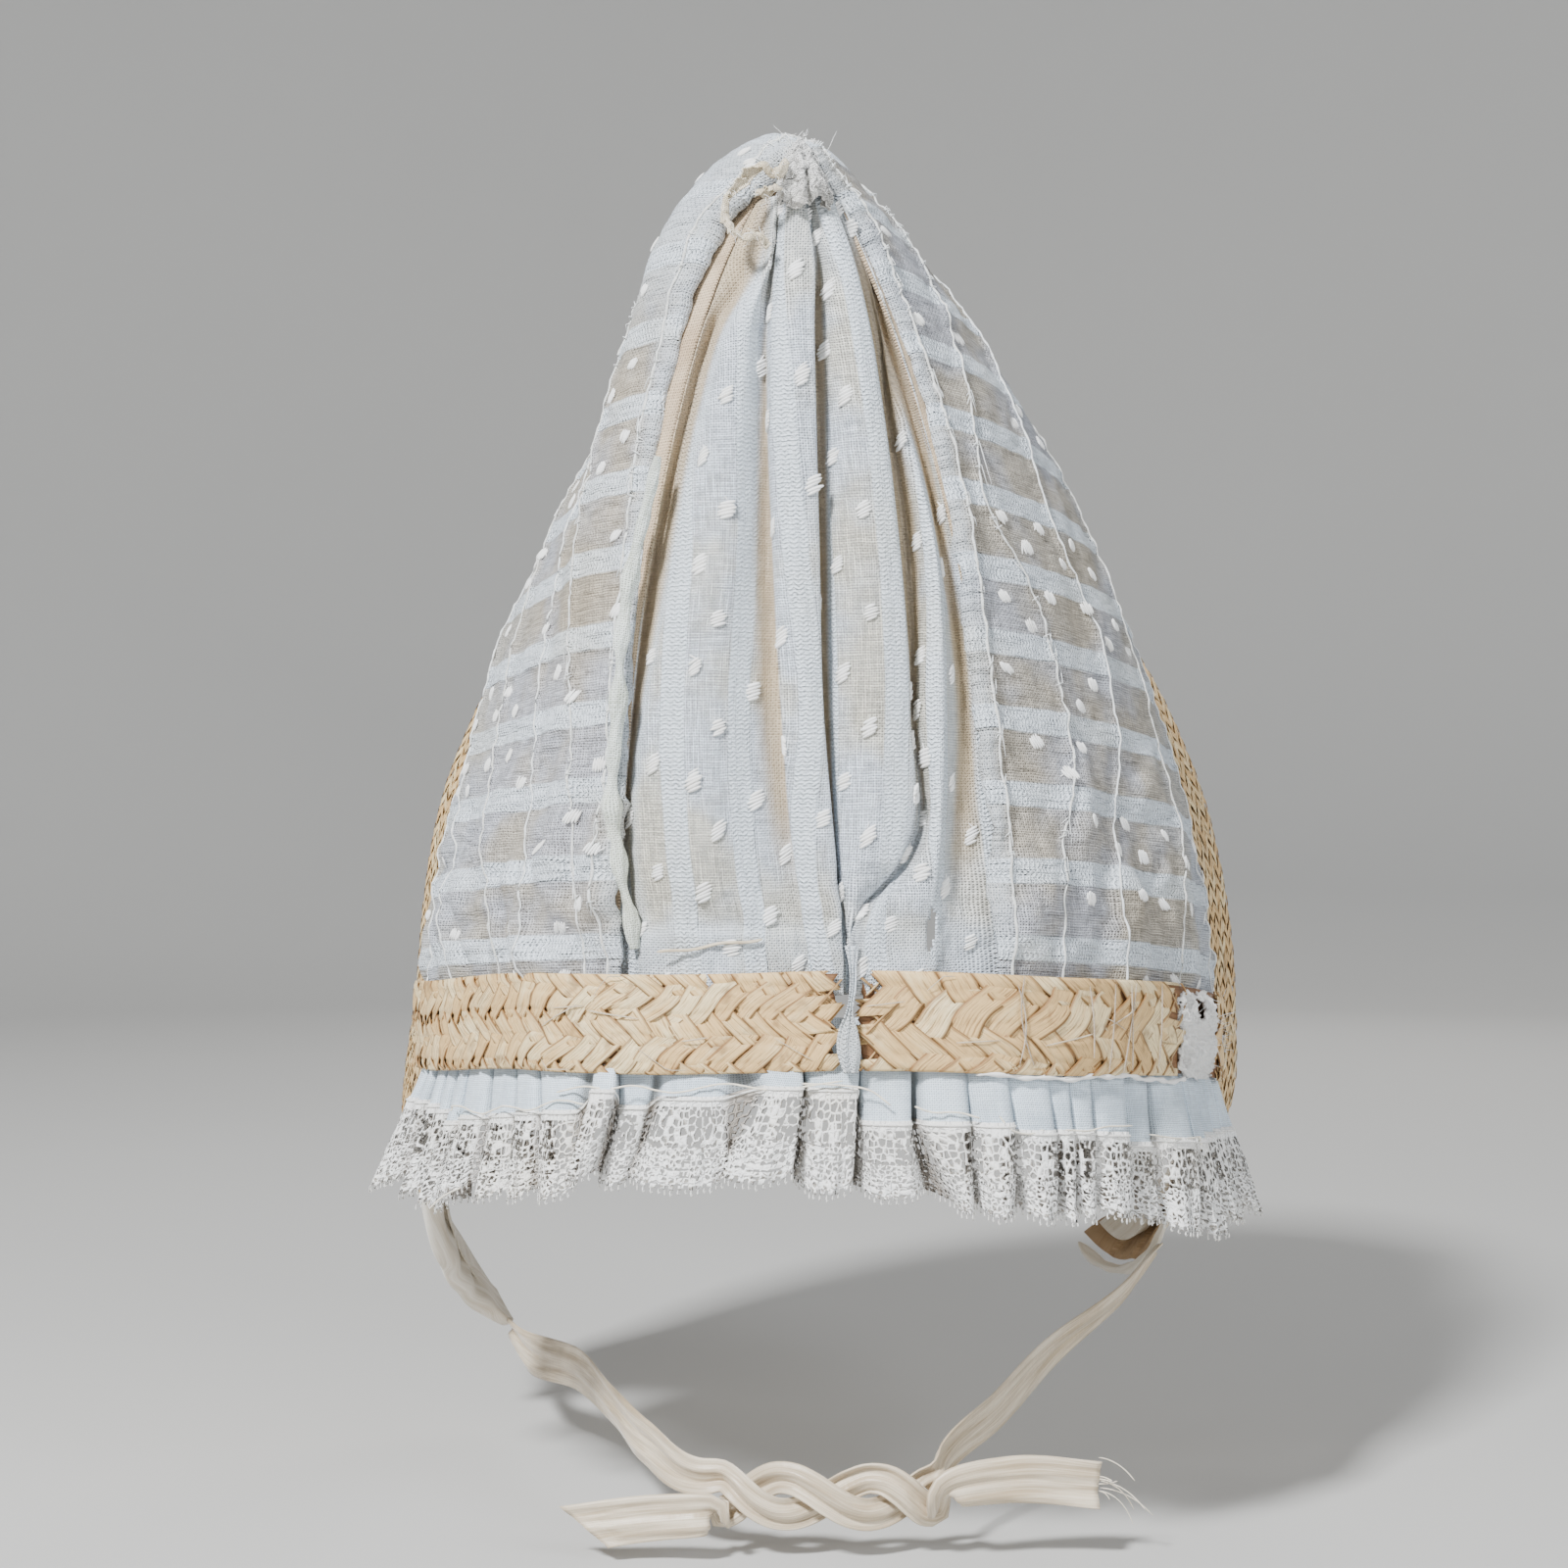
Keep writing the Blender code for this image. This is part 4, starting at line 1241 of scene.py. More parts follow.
@dataclass(frozen=True)
class LaceNet(Finish):
    """Bobbin lace: a firm footing, a net of round holes, dense ladders and a scalloped edge.

    On the flat strip, x runs along the edging and y down from its footing.
    """

    label: str = "cotton_lace"
    light: Colour = (0.99, 0.99, 0.98)
    # deep is the colour of the darker strands and of the painted shade at the holes' rims.
    deep: Colour = (0.32, 0.29, 0.25)
    # Colour of the painted shade in the gaps between flutes, laid where the mark gap is.
    painted_gap_shade: Colour = (0.40, 0.36, 0.32)
    warp: float = 0.0006
    scallop: float = 0.0145
    ladder: float = 0.00175
    tooth: float = 0.0021

    def fill(self, bench: Bench, shader: bpy.types.Node) -> None:
        """Cut the holes of the net, the ladders and the edge out of thick threads.

        Args:
            bench: Where the nodes are made.
            shader: What they feed.
        """
        b = bench
        place = b.flat_cloth()
        x, y = b.parts(place)
        shake = b.fed("ShaderNodeTexNoise", {"Vector": place, "Scale": 420.0}).outputs["Color"]
        feeds = {0: place, 1: b.stretch(shake, (self.warp, self.warp, 0.0))}
        warped = b.fed("ShaderNodeVectorMath", feeds, operation="ADD").outputs[0]
        mesh = b.net(b.stretch(warped, (1.0, 0.9, 1.0)), 560.0, 0.62)
        wide = b.ramp(b.sum("COSINE", b.times(x, 2 * math.pi / self.scallop)), -0.6, 0.9)
        net_zone = b.times(b.ramp(y, 0.0022, 0.003), b.ramp(y, 0.0135, 0.011))
        dense_zone = b.ramp(y, 0.0105, 0.013)
        small_holes = b.ramp(mesh, 0.16, 0.21)
        big_holes = b.times(b.ramp(b.net(warped, 360.0, 0.5), 0.10, 0.14), wide)
        net = b.times(b.sum("MAXIMUM", small_holes, big_holes), net_zone)
        rows = b.sum("SINE", b.times(b.parts(warped)[1], 2 * math.pi / self.ladder))
        breaks = b.noise(b.stretch(warped, (0.8, 1.4, 1.0)), 780.0, 1.0)
        slits = b.times(b.ramp(rows, 0.25, 0.75), b.ramp(breaks, 0.52, 0.60))
        ground = b.net(warped, 760.0, 0.8)
        pricks = b.times(b.ramp(ground, 0.15, 0.22), b.ramp(y, 0.0208, 0.0198))
        slits = b.times(b.sum("MAXIMUM", slits, pricks), dense_zone)
        holes = b.sum("MAXIMUM", net, slits)
        teeth = b.ramp(b.sum("SINE", b.times(x, 2 * math.pi / self.tooth)), -0.2, 0.3)
        holes = b.sum("MAXIMUM", holes, b.times(teeth, b.ramp(y, 0.0213, 0.0217)))
        b.put(shader.inputs["Alpha"], b.minus(1.0, b.ramp(holes, 0.3, 0.6), clamp=True))
        strand = b.noise(place, 2300.0, 3.0, 0.7)
        cord = b.ramp(mesh, 0.0, 0.2)
        height = b.minus(b.times(strand, 0.7), b.times(cord, 0.8))
        height = b.plus(height, b.times(b.times(rows, dense_zone), -0.2))
        # Painted shade: the colour darkens near the rims of the holes and over the holes, on top of the
        # strands' own uneven tone.
        net_rim_shade = b.times(b.times(cord, net_zone), 0.5)
        dense_rim_shade = b.times(b.times(b.ramp(ground, 0.04, 0.2), dense_zone), 0.5)
        rim_shade = b.plus(net_rim_shade, dense_rim_shade)
        shade = b.minus(b.minus(strand, rim_shade), b.times(holes, 0.5))
        colour = b.mix(b.ramp(shade, -0.12, 0.34), self.deep, self.light)
        aged = b.use(age_and_dust(), Clean=colour, Amount=0.3, Place=b.in_space())
        # Painted shade: the lace darkens where the mark gap lies, in the gaps between flutes.
        colour = b.mix(b.mark("gap"), aged.outputs[0], self.painted_gap_shade, "MULTIPLY")
        b.put(shader.inputs["Base Color"], colour)
        b.put(shader.inputs["Roughness"], b.ramp(strand, 0.3, 0.7, 0.8, 0.95))
        b.put(shader.inputs["Normal"], b.bump(height, 0.0006, 0.8))


# Crown


def stitch_shape() -> Shape:
    """One padded stitch, a soft grain lying along x.

    Returns:
        The stitch, one unit long.
    """

    def shape_it() -> None:
        """Stretch a small ball into a grain and flatten its underside."""
        bpy.ops.mesh.primitive_uv_sphere_add(segments=6, ring_count=6, radius=0.5,
                                             rotation=(0.0, math.pi / 2, 0.0))
        bpy.ops.object.transform_apply(rotation=True)
        bpy.ops.object.mode_set(mode="EDIT")
        bpy.ops.transform.resize(value=(1.0, 1.0, 0.8))
        bpy.ops.object.mode_set(mode="OBJECT")

    return Shape.from_primitive(shape_it)


@dataclass
class Spots:
    """White spots of padded stitches, worked in two staggered rows between the stripes."""

    repeat: float = 19.2
    first: float = 0.0
    apart: float = 6.8
    along: float = 28.5
    wide: float = 4.9
    tall: float = 5.3
    stitches: int = 5
    slant: float = 0.42
    height: float = 1.5

    def centres(self, across: tuple[float, float], down: tuple[float, float]) -> np.ndarray:
        """Where the spots lie on flat cloth.

        Args:
            across: Where the cloth begins and ends across its stripes.
            down: Where it begins and ends along them.

        Returns:
            The middle of each spot.
        """
        found = []
        for k in range(int(across[0] // self.repeat) - 1, int(across[1] // self.repeat) + 2):
            middle = self.first + (k + 0.5) * self.repeat
            for side, start in ((-0.5, 0.0), (0.5, 0.5)):
                for n in range(int(down[0] // self.along) - 1, int(down[1] // self.along) + 2):
                    found.append((middle + side * self.apart, (n + start + 0.17 * (k % 3)) * self.along))
        return np.array(found)

    def work(self, name: str, grid: np.ndarray, flat: np.ndarray, centre: Sequence[float],
             material: bpy.types.Material, bare: Optional[np.ndarray] = None) -> bpy.types.Object:
        """Work the spots on a sheet of cloth.

        Args:
            name: The piece's name.
            grid: Points of the cloth's outer face.
            flat: Their places on the flat cloth, in millimetres.
            centre: A point on the inner side of the cloth.
            material: The thread.
            bare: Cells that carry no spots.

        Returns:
            All the stitches in one piece.
        """
        rng = np.random.default_rng(5)
        normals = grid_normals(grid, centre)
        cells = (flat[:-1, :-1] + flat[1:, 1:]) / 2
        cells = np.where(bare[..., None], 1e6, cells) if bare is not None else cells
        spans = (flat.reshape(-1, 2).min(0), flat.reshape(-1, 2).max(0))
        frames, places, tones = [], [], []
        for wanted in self.centres((spans[0][0], spans[1][0]), (spans[0][1], spans[1][1])):
            wanted = wanted + rng.normal(0, 0.5, 2)
            away = np.linalg.norm(cells - wanted, axis=2)
            i, j = np.unravel_index(np.argmin(away), away.shape)
            if away[i, j] > 2.0 or not (1 < i < away.shape[0] - 2 and 1 < j < away.shape[1] - 2):
                continue
            steps = np.array((grid[i + 1, j] - grid[i - 1, j], grid[i, j + 1] - grid[i, j - 1]))
            flats = np.array((flat[i + 1, j] - flat[i - 1, j], flat[i, j + 1] - flat[i, j - 1]))
            if abs(np.linalg.det(flats)) < 1e-4:
                continue
            along_cloth = np.linalg.solve(flats, steps)
            across, down = (line / (np.linalg.norm(line) + 1e-9) for line in along_cloth)
            up = normals[i, j]
            across -= up * (across @ up)
            across /= np.linalg.norm(across) + 1e-9
            down -= up * (down @ up) + across * (down @ across)
            down /= np.linalg.norm(down) + 1e-9
            size = rng.uniform(0.85, 1.1)
            slant = self.slant + rng.normal(0, 0.12)
            for k in range(self.stitches):
                place = ((k + 0.5) / self.stitches * 2 - 1) * 0.84
                length = self.wide * size * (math.sqrt(1.10 - place * place) + rng.uniform(-0.09, 0.07))
                turned = across + down * (rng.normal(0, 0.06) - slant)
                turned /= np.linalg.norm(turned)
                places.append(grid[i, j] + down * place * self.tall * size / 2
                              + across * rng.normal(0, 0.18) + up * 0.16)
                frames.append((turned * length,
                               down * self.tall * size / self.stitches * rng.uniform(0.90, 1.12),
                               up * self.height * rng.uniform(0.87, 1.13)))
                tones.append(rng.uniform(-0.6, 1))
            if rng.uniform() < 0.25:
                loose = across * rng.normal(0, 1.0) - down * rng.uniform(0.6, 1.2)
                places.append(grid[i, j] - down * self.tall * size * 0.52 + up * 0.2)
                frames.append((loose * 1.8, np.cross(up, loose) * 0.25, up * 0.5))
                tones.append(1.0)
        return stitch_shape().copies(name, np.array(frames), np.array(places), material, np.array(tones))


def crown_surface() -> Surface:
    """The crown as one surface.

    Returns:
        Its surface, with rows over the arch from left to right and columns from back to front.
    """
    arch = np.linspace(0.0, 1.0, 161)
    places = np.linspace(0.0, 1.0, 51)
    rises = 1.0 - np.abs(2.0 * arch - 1.0)
    grid = np.array([[crown_point(at, rise, -1 if side < 0.5 else 1) for at in places]
                     for side, rise in zip(arch, rises)])
    return Surface.through(grid, CROWN_MIDDLE)


@dataclass
class Crown:
    """The corded muslin crown over its stiff tan foundation."""

    surface: Surface
    cover_lift: float = 1.5
    foundation_lift: float = -0.3
    foundation_wall: float = 1.1
    foundation_from: float = 0.02
    cover_wall: float = 0.45
    cord_radius: float = 0.31
    ridge: float = 0.9
    stripe_repeat: float = 20.4
    stripe_first: float = 13.5
    lap: float = 11.5
    puffs: tuple[tuple[float, ...], ...] = (
        (-0.06, 0.09, 0.08, 6.5), (-0.19, 0.12, 0.07, 6.0), (-0.33, 0.06, 0.09, 5.0),
        (-0.50, 0.13, 0.10, 4.5), (-0.70, 0.07, 0.12, 3.5), (0.10, 0.08, 0.09, 5.5),
        (0.26, 0.13, 0.08, 4.5), (0.40, 0.06, 0.10, 5.0), (0.62, 0.12, 0.12, 4.0))
    roll_radius: float = 1.7
    drawn_rises: tuple[float, ...] = (0.0, 0.1, 0.25, 0.40, 0.50, 0.60, 0.72, 0.79, 0.86, 1.0)
    drawn_left: tuple[float, ...] = (0.002, 0.006, 0.036, 0.060, 0.066, 0.066, 0.060, 0.024, 0.0, 0.0)
    drawn_right: tuple[float, ...] = (0.0, 0.0, 0.010, 0.040, 0.052, 0.055, 0.055, 0.034, 0.010, 0.0)
    rises: tuple[float, ...] = (0.0, 0.1, 0.2, 0.3, 0.4, 0.5, 0.7, 1.0)
    cords_right: tuple[tuple[float, ...], ...] = (
        (0.025, 0.020, 0.020, 0.020, 0.020, 0.020, 0.025, 0.030),
        (0.160, 0.170, 0.250, 0.230, 0.130, 0.190, 0.280, 0.300),
        (0.370, 0.340, 0.440, 0.450, 0.380, 0.400, 0.470, 0.480),
        (0.600, 0.610, 0.640, 0.640, 0.620, 0.620, 0.650, 0.660),
        (0.830, 0.830, 0.820, 0.780, 0.780, 0.790, 0.800, 0.810),
        (0.960, 0.960, 0.960, 0.955, 0.955, 0.960, 0.960, 0.960),
    )
    cords_left: tuple[tuple[float, ...], ...] = (
        (0.020, 0.040, 0.060, 0.070, 0.070, 0.055, 0.035, 0.030),
        (0.090, 0.120, 0.180, 0.240, 0.265, 0.275, 0.290, 0.300),
        (0.290, 0.310, 0.360, 0.400, 0.430, 0.440, 0.460, 0.480),
        (0.450, 0.480, 0.570, 0.620, 0.640, 0.650, 0.660, 0.660),
        (0.660, 0.690, 0.740, 0.780, 0.790, 0.800, 0.810, 0.810),
        (0.880, 0.900, 0.930, 0.950, 0.955, 0.960, 0.960, 0.960),
    )

    def back_edge(self, arch: np.ndarray) -> np.ndarray:
        """How far forward of the back seam the muslin's rolled edge has drawn away.

        Args:
            arch: Places over the arch, from left to right.

        Returns:
            The share of the crown's depth at each.
        """
        rise = 1.0 - np.abs(2.0 * arch - 1.0)
        return np.where(arch > 0.5, np.interp(rise, self.drawn_rises, self.drawn_right),
                        np.interp(rise, self.drawn_rises, self.drawn_left))

    def cord_at(self, number: int, arch: np.ndarray) -> np.ndarray:
        """How far from back to front one cord lies.

        Args:
            number: Which cord, from the back.
            arch: Places over the arch, from left to right.

        Returns:
            The share of the crown's depth at each.
        """
        rise = 1.0 - np.abs(2.0 * arch - 1.0)
        right = np.array([curve_through(self.rises, self.cords_right[number], r) for r in rise])
        left = np.array([curve_through(self.rises, self.cords_left[number], r) for r in rise])
        line = np.where(arch > 0.5, right, left)
        return np.maximum(line, self.back_edge(arch) + 0.022) if number == 0 else line

    def cover_heights(self, arch: np.ndarray, places: np.ndarray, points: np.ndarray) -> np.ndarray:
        """Height of the muslin above the crown's surface: ridges, puckers, puffs and crumples.

        Args:
            arch: Places over the arch, from left to right.
            places: Shares of the way from back to front.
            points: The points of the smooth surface there.

        Returns:
            The height at each, in millimetres.
        """
        rise = 1.0 - np.abs(2.0 * arch - 1.0)
        near = np.zeros_like(places)
        lift = np.full_like(places, self.cover_lift)
        for number in range(len(self.cords_right)):
            line = self.cord_at(number, arch[:, 0])[:, None]
            near = np.maximum(near, bump_at(places, line, 0.05))
            lift += self.ridge * bump_at(places, line, 0.0105)
        drawn = np.stack((points[..., 0] * 0.30, points[..., 1] * 0.05, points[..., 2] * 0.30), axis=2)
        lift += unrest(drawn, 1.0, 3.0, 2) * (0.25 + 0.55 * near)
        lift += np.abs(unrest(points, 26.0, 1.0, 2)) * 1.1
        foot = step_up(rise, 0.27, 0.12) * step_up(rise, 0.0, 0.04)
        crumple = np.abs(unrest(points * (1.0, 0.8, 0.8), 13.0, 8.0, 2))
        lift += foot * np.where(arch > 0.5, 3.4, 5.6) * (crumple - 0.09)
        for middle, level, size, height in self.puffs:
            side = (arch > 0.5) if middle > 0 else (arch < 0.5)
            away = ((places - abs(middle)) / size) ** 2 + ((rise - level) / (size * 0.75)) ** 2
            lift += height * np.exp(-away * 1.6) * side * step_up(rise, -0.01, 0.03)
        left_top = step_up(rise, 0.50, 0.74) * step_up(rise, 1.0, 0.93) * (arch < 0.5)
        lift += 5.0 * left_top * bump_at(places, 0.13, 0.17)
        right_top = step_up(rise, 0.62, 0.78) * step_up(rise, 1.0, 0.94) * (arch > 0.5)
        lift += 1.6 * right_top * bump_at(places, 0.14, 0.12)
        return np.maximum(lift, 0.8)

    def over_brim(self, arch: np.ndarray) -> np.ndarray:
        """The narrow edge of the cover that laps over the root of the brim.

        Args:
            arch: Places over the arch, from left to right.

        Returns:
            Four points for each place, from the crown outwards.
        """
        ats = np.linspace(0.0, 0.68, 90)
        rises = np.array([float(read_table(BRIM_COLUMNS, BRIM, at)["rise"]) for at in ats])
        rise = 1.0 - np.abs(2.0 * arch - 1.0)
        found = np.interp(rise, rises[::-1], ats[::-1]) * np.where(arch > 0.5, 1.0, -1.0)
        outward = self.surface.at(arch, 1.0, 1.0) - self.surface.at(arch, 1.0)
        reach = self.lap * (0.45 + 0.55 * step_up(rise, 0.0, 0.15)) * (1.0 - 0.6 * step_up(rise, 0.6, 1.0))
        rows = []
        for at, way, far in zip(found, outward, reach):
            line = brim_line(float(at), np.linspace(0.0, 1.0, 21))
            length = float(np.linalg.norm(np.diff(line, axis=0), axis=1).sum())
            points = brim_line(float(at), np.array((0.25, 0.5, 0.75, 1.0)) * far / length)
            rows.append(points + way * np.array(((2.5,), (2.5,), (2.3,), (1.7,))))
        return np.array(rows)

    def cover(self) -> bpy.types.Object:
        """The muslin cover with a rolled edge at the back seam, its spots and its cords.

        Returns:
            The cover.
        """
        arch_line = np.linspace(0.0, 1.0, 341)
        place_line = np.linspace(0.0, 1.0, 105)
        arch, shares = np.meshgrid(arch_line, place_line, indexing="ij")
        drawn = self.back_edge(arch)
        places = drawn + shares * (1.0 - drawn)
        points = self.surface.at(arch, places)
        lift = self.cover_heights(arch, places, points)
        laid, over = (arch, places), self.over_brim(arch_line)
        grid = np.concatenate((self.surface.at(*laid, self.cover_lift), over), axis=1)
        rise = 1.0 - np.abs(2.0 * arch_line - 1.0)
        lapped = ((0, 0), (0, grid.shape[1] - shares.shape[1]))
        arch, shares, places = (np.pad(table, lapped, mode="edge") for table in (arch, shares, places))

        left, right = grid[:171], grid[171:][::-1]
        from_left = run_length(left, 0)
        from_right = run_length(np.concatenate((right, left[-1:])), 0)[:-1][::-1]
        across = np.concatenate((from_left * 0.985, from_right))
        along = run_length(grid, 1)
        grid = np.concatenate((self.surface.at(*laid, lift), over), axis=1)

        start = self.back_edge(arch_line)
        edge, outward = grid[:, 0], self.surface.at(arch_line, start, 1.0) - self.surface.at(arch_line, start)
        back = grid[:, 0] - grid[:, 2]
        back /= np.linalg.norm(back, axis=1, keepdims=True) + 1e-9
        radius = self.roll_radius * (1.0 + 0.45 * unrest(edge, 11.0, 4.0, 2)) * step_up(rise, -0.02, 0.08)
        radius *= 1.0 + 0.5 * step_up(rise, 0.55, 0.8)
        turns = np.radians((215.0, 185.0, 155.0, 125.0, 95.0, 65.0, 35.0, 15.0))
        roll = np.stack([edge - outward * radius[:, None] * (1 - math.cos(turn))
                         + back * radius[:, None] * math.sin(turn) for turn in turns], axis=1)
        roll_along = -np.abs(radius)[:, None] * turns[None, :]
        grid = np.concatenate((roll, grid), axis=1)
        along = np.concatenate((roll_along, along), axis=1)
        across = np.concatenate((np.repeat(across[:, :1], len(turns), axis=1), across), axis=1)
        flat = np.stack((across, along), axis=2)

        dense = np.concatenate((np.full_like(roll_along, 0.75), 0.75 * bump_at(shares, 0.0, 0.02)), axis=1)
        front = np.concatenate((np.zeros_like(roll_along), 0.35 * step_up(places, 0.5, 0.8)), axis=1)
        shoulder = np.concatenate((np.zeros_like(roll_along),
                                   step_up(1 - np.abs(2 * arch - 1), 0.5, 0.7) * (arch < 0.5) * 0.9
                                   * step_up(places, 0.42, 0.25)), axis=1)
        dense = np.maximum(np.maximum(dense, front), shoulder)
        muslin = Muslin(label="crown_muslin", sheer=(0.56, 0.58, 0.64), warm=(0.55, 0.49, 0.38),
                        sheer_cover=0.54, repeat=self.stripe_repeat * MM, first=self.stripe_first * MM,
                        pucker=0.0028, age=0.45)
        piece = sheet("crown_muslin_cover", grid, flat, self.cover_wall, CROWN_MIDDLE, muslin.material(),
                      {"dense": dense, "edge": np.zeros_like(dense), "tan": np.zeros_like(dense)})
        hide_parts("crown_cover")

        spots = Spots(repeat=self.stripe_repeat, first=self.stripe_first, along=20.0, wide=4.4, tall=4.8,
                      height=0.95)
        worked = spots.work("crown_spots", grid[:, len(turns):], flat[:, len(turns):], CROWN_MIDDLE,
                            Thread().material())
        self.cords(lift)
        return piece

    def cords(self, lift: np.ndarray) -> bpy.types.Object:
        """The thin raised cords along the ridges, with the stitches that hold the first of them.

        Args:
            lift: The height of the muslin over the crown, row by row over the arch.

        Returns:
            The cords in one piece.
        """
        rng = np.random.default_rng(2)
        threads = Bunch()
        heights = Surface(np.repeat(lift[..., None], 3, axis=2), np.zeros((*lift.shape, 3)))

        def share_of(line: np.ndarray, arch_places: np.ndarray) -> np.ndarray:
            """Turn a place on the crown into a share of the cover's own depth."""
            start = self.back_edge(arch_places)
            return np.clip((line - start) / (1.0 - start), 0.0, 1.0)

        for number in range(len(self.cords_right)):
            steps = np.linspace(0.004, 0.996, 520)
            line = self.cord_at(number, steps)
            line = line + 0.0013 * np.sin(steps * 90 + number) + 0.0012 * np.sin(steps * 310 + number * 2)
            top = heights.blend(lift, steps, share_of(line, steps))
            middle = self.surface.at(steps, line, top + 0.12)
            radius = self.cord_radius * (1.0 + 0.25 * np.sin(steps * 700)) * (1.3 if number == 0 else 1.0)
            threads.add_thread(middle, radius, rng.uniform(-0.4, 0.6), sides=5)
        for arch_place in rng.uniform(0.03, 0.97, 150):
            number = int(rng.integers(0, 2))
            line = self.cord_at(number, np.array([arch_place]))[0]
            share = share_of(np.array([line]), np.array([arch_place]))
            top = float(heights.blend(lift, np.array([arch_place]), share)[0])
            start = self.surface.at(arch_place, line - 0.012, top * 0.85 + 0.2)
            over = self.surface.at(arch_place + rng.normal(0, 0.002), line, top + 1.0)
            end = self.surface.at(arch_place + rng.normal(0, 0.006), line + 0.014, top * 0.85 + 0.2)
            stitch = np.array((start, (start + over) / 2, over, (over + end) / 2, end))
            threads.add_thread(stitch, 0.16, 0.8, 4)
        linen = Thread(label="linen_cord", light=(0.80, 0.82, 0.82), deep=(0.58, 0.56, 0.50))
        piece = threads.finish("crown_cords", linen.material())
        return piece

    def foundation(self) -> bpy.types.Object:
        """The stiff tan shell under the muslin, open at the back and at the neck.

        Returns:
            The shell.
        """
        arch, places = np.meshgrid(np.linspace(0.002, 0.998, 161),
                                   np.linspace(self.foundation_from, 0.99, 61), indexing="ij")
        grid = self.surface.at(arch, places, self.foundation_lift)
        grid[0, :, 2] += 2.0
        grid[-1, :, 2] += 2.0
        flat = np.stack((run_length(grid, 0), run_length(grid, 1)), axis=2)
        net = PlainCloth(label="tan_net", colour=(0.66, 0.51, 0.35), shade=(0.46, 0.34, 0.22),
                         stain=(0.55, 0.42, 0.30), pitch=0.0008, depth=0.0003, age=0.7)
        piece = sheet("crown_foundation_shell", grid, flat, self.foundation_wall, CROWN_MIDDLE,
                      net.material())
        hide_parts("crown_foundation")
        return piece

    def build(self) -> None:
        """Make the foundation and the cover."""
        self.foundation()
        self.cover()
        LOG.info("crown: foundation, corded muslin cover, spots and cords")


@dataclass(frozen=True)
class Fold:
    """One line of a gathered panel: how far across it stands and how far out, from top to bottom."""

    across: tuple[float, ...]
    out: tuple[float, ...]
    pleat: int = 0
    spare: float = 0.0


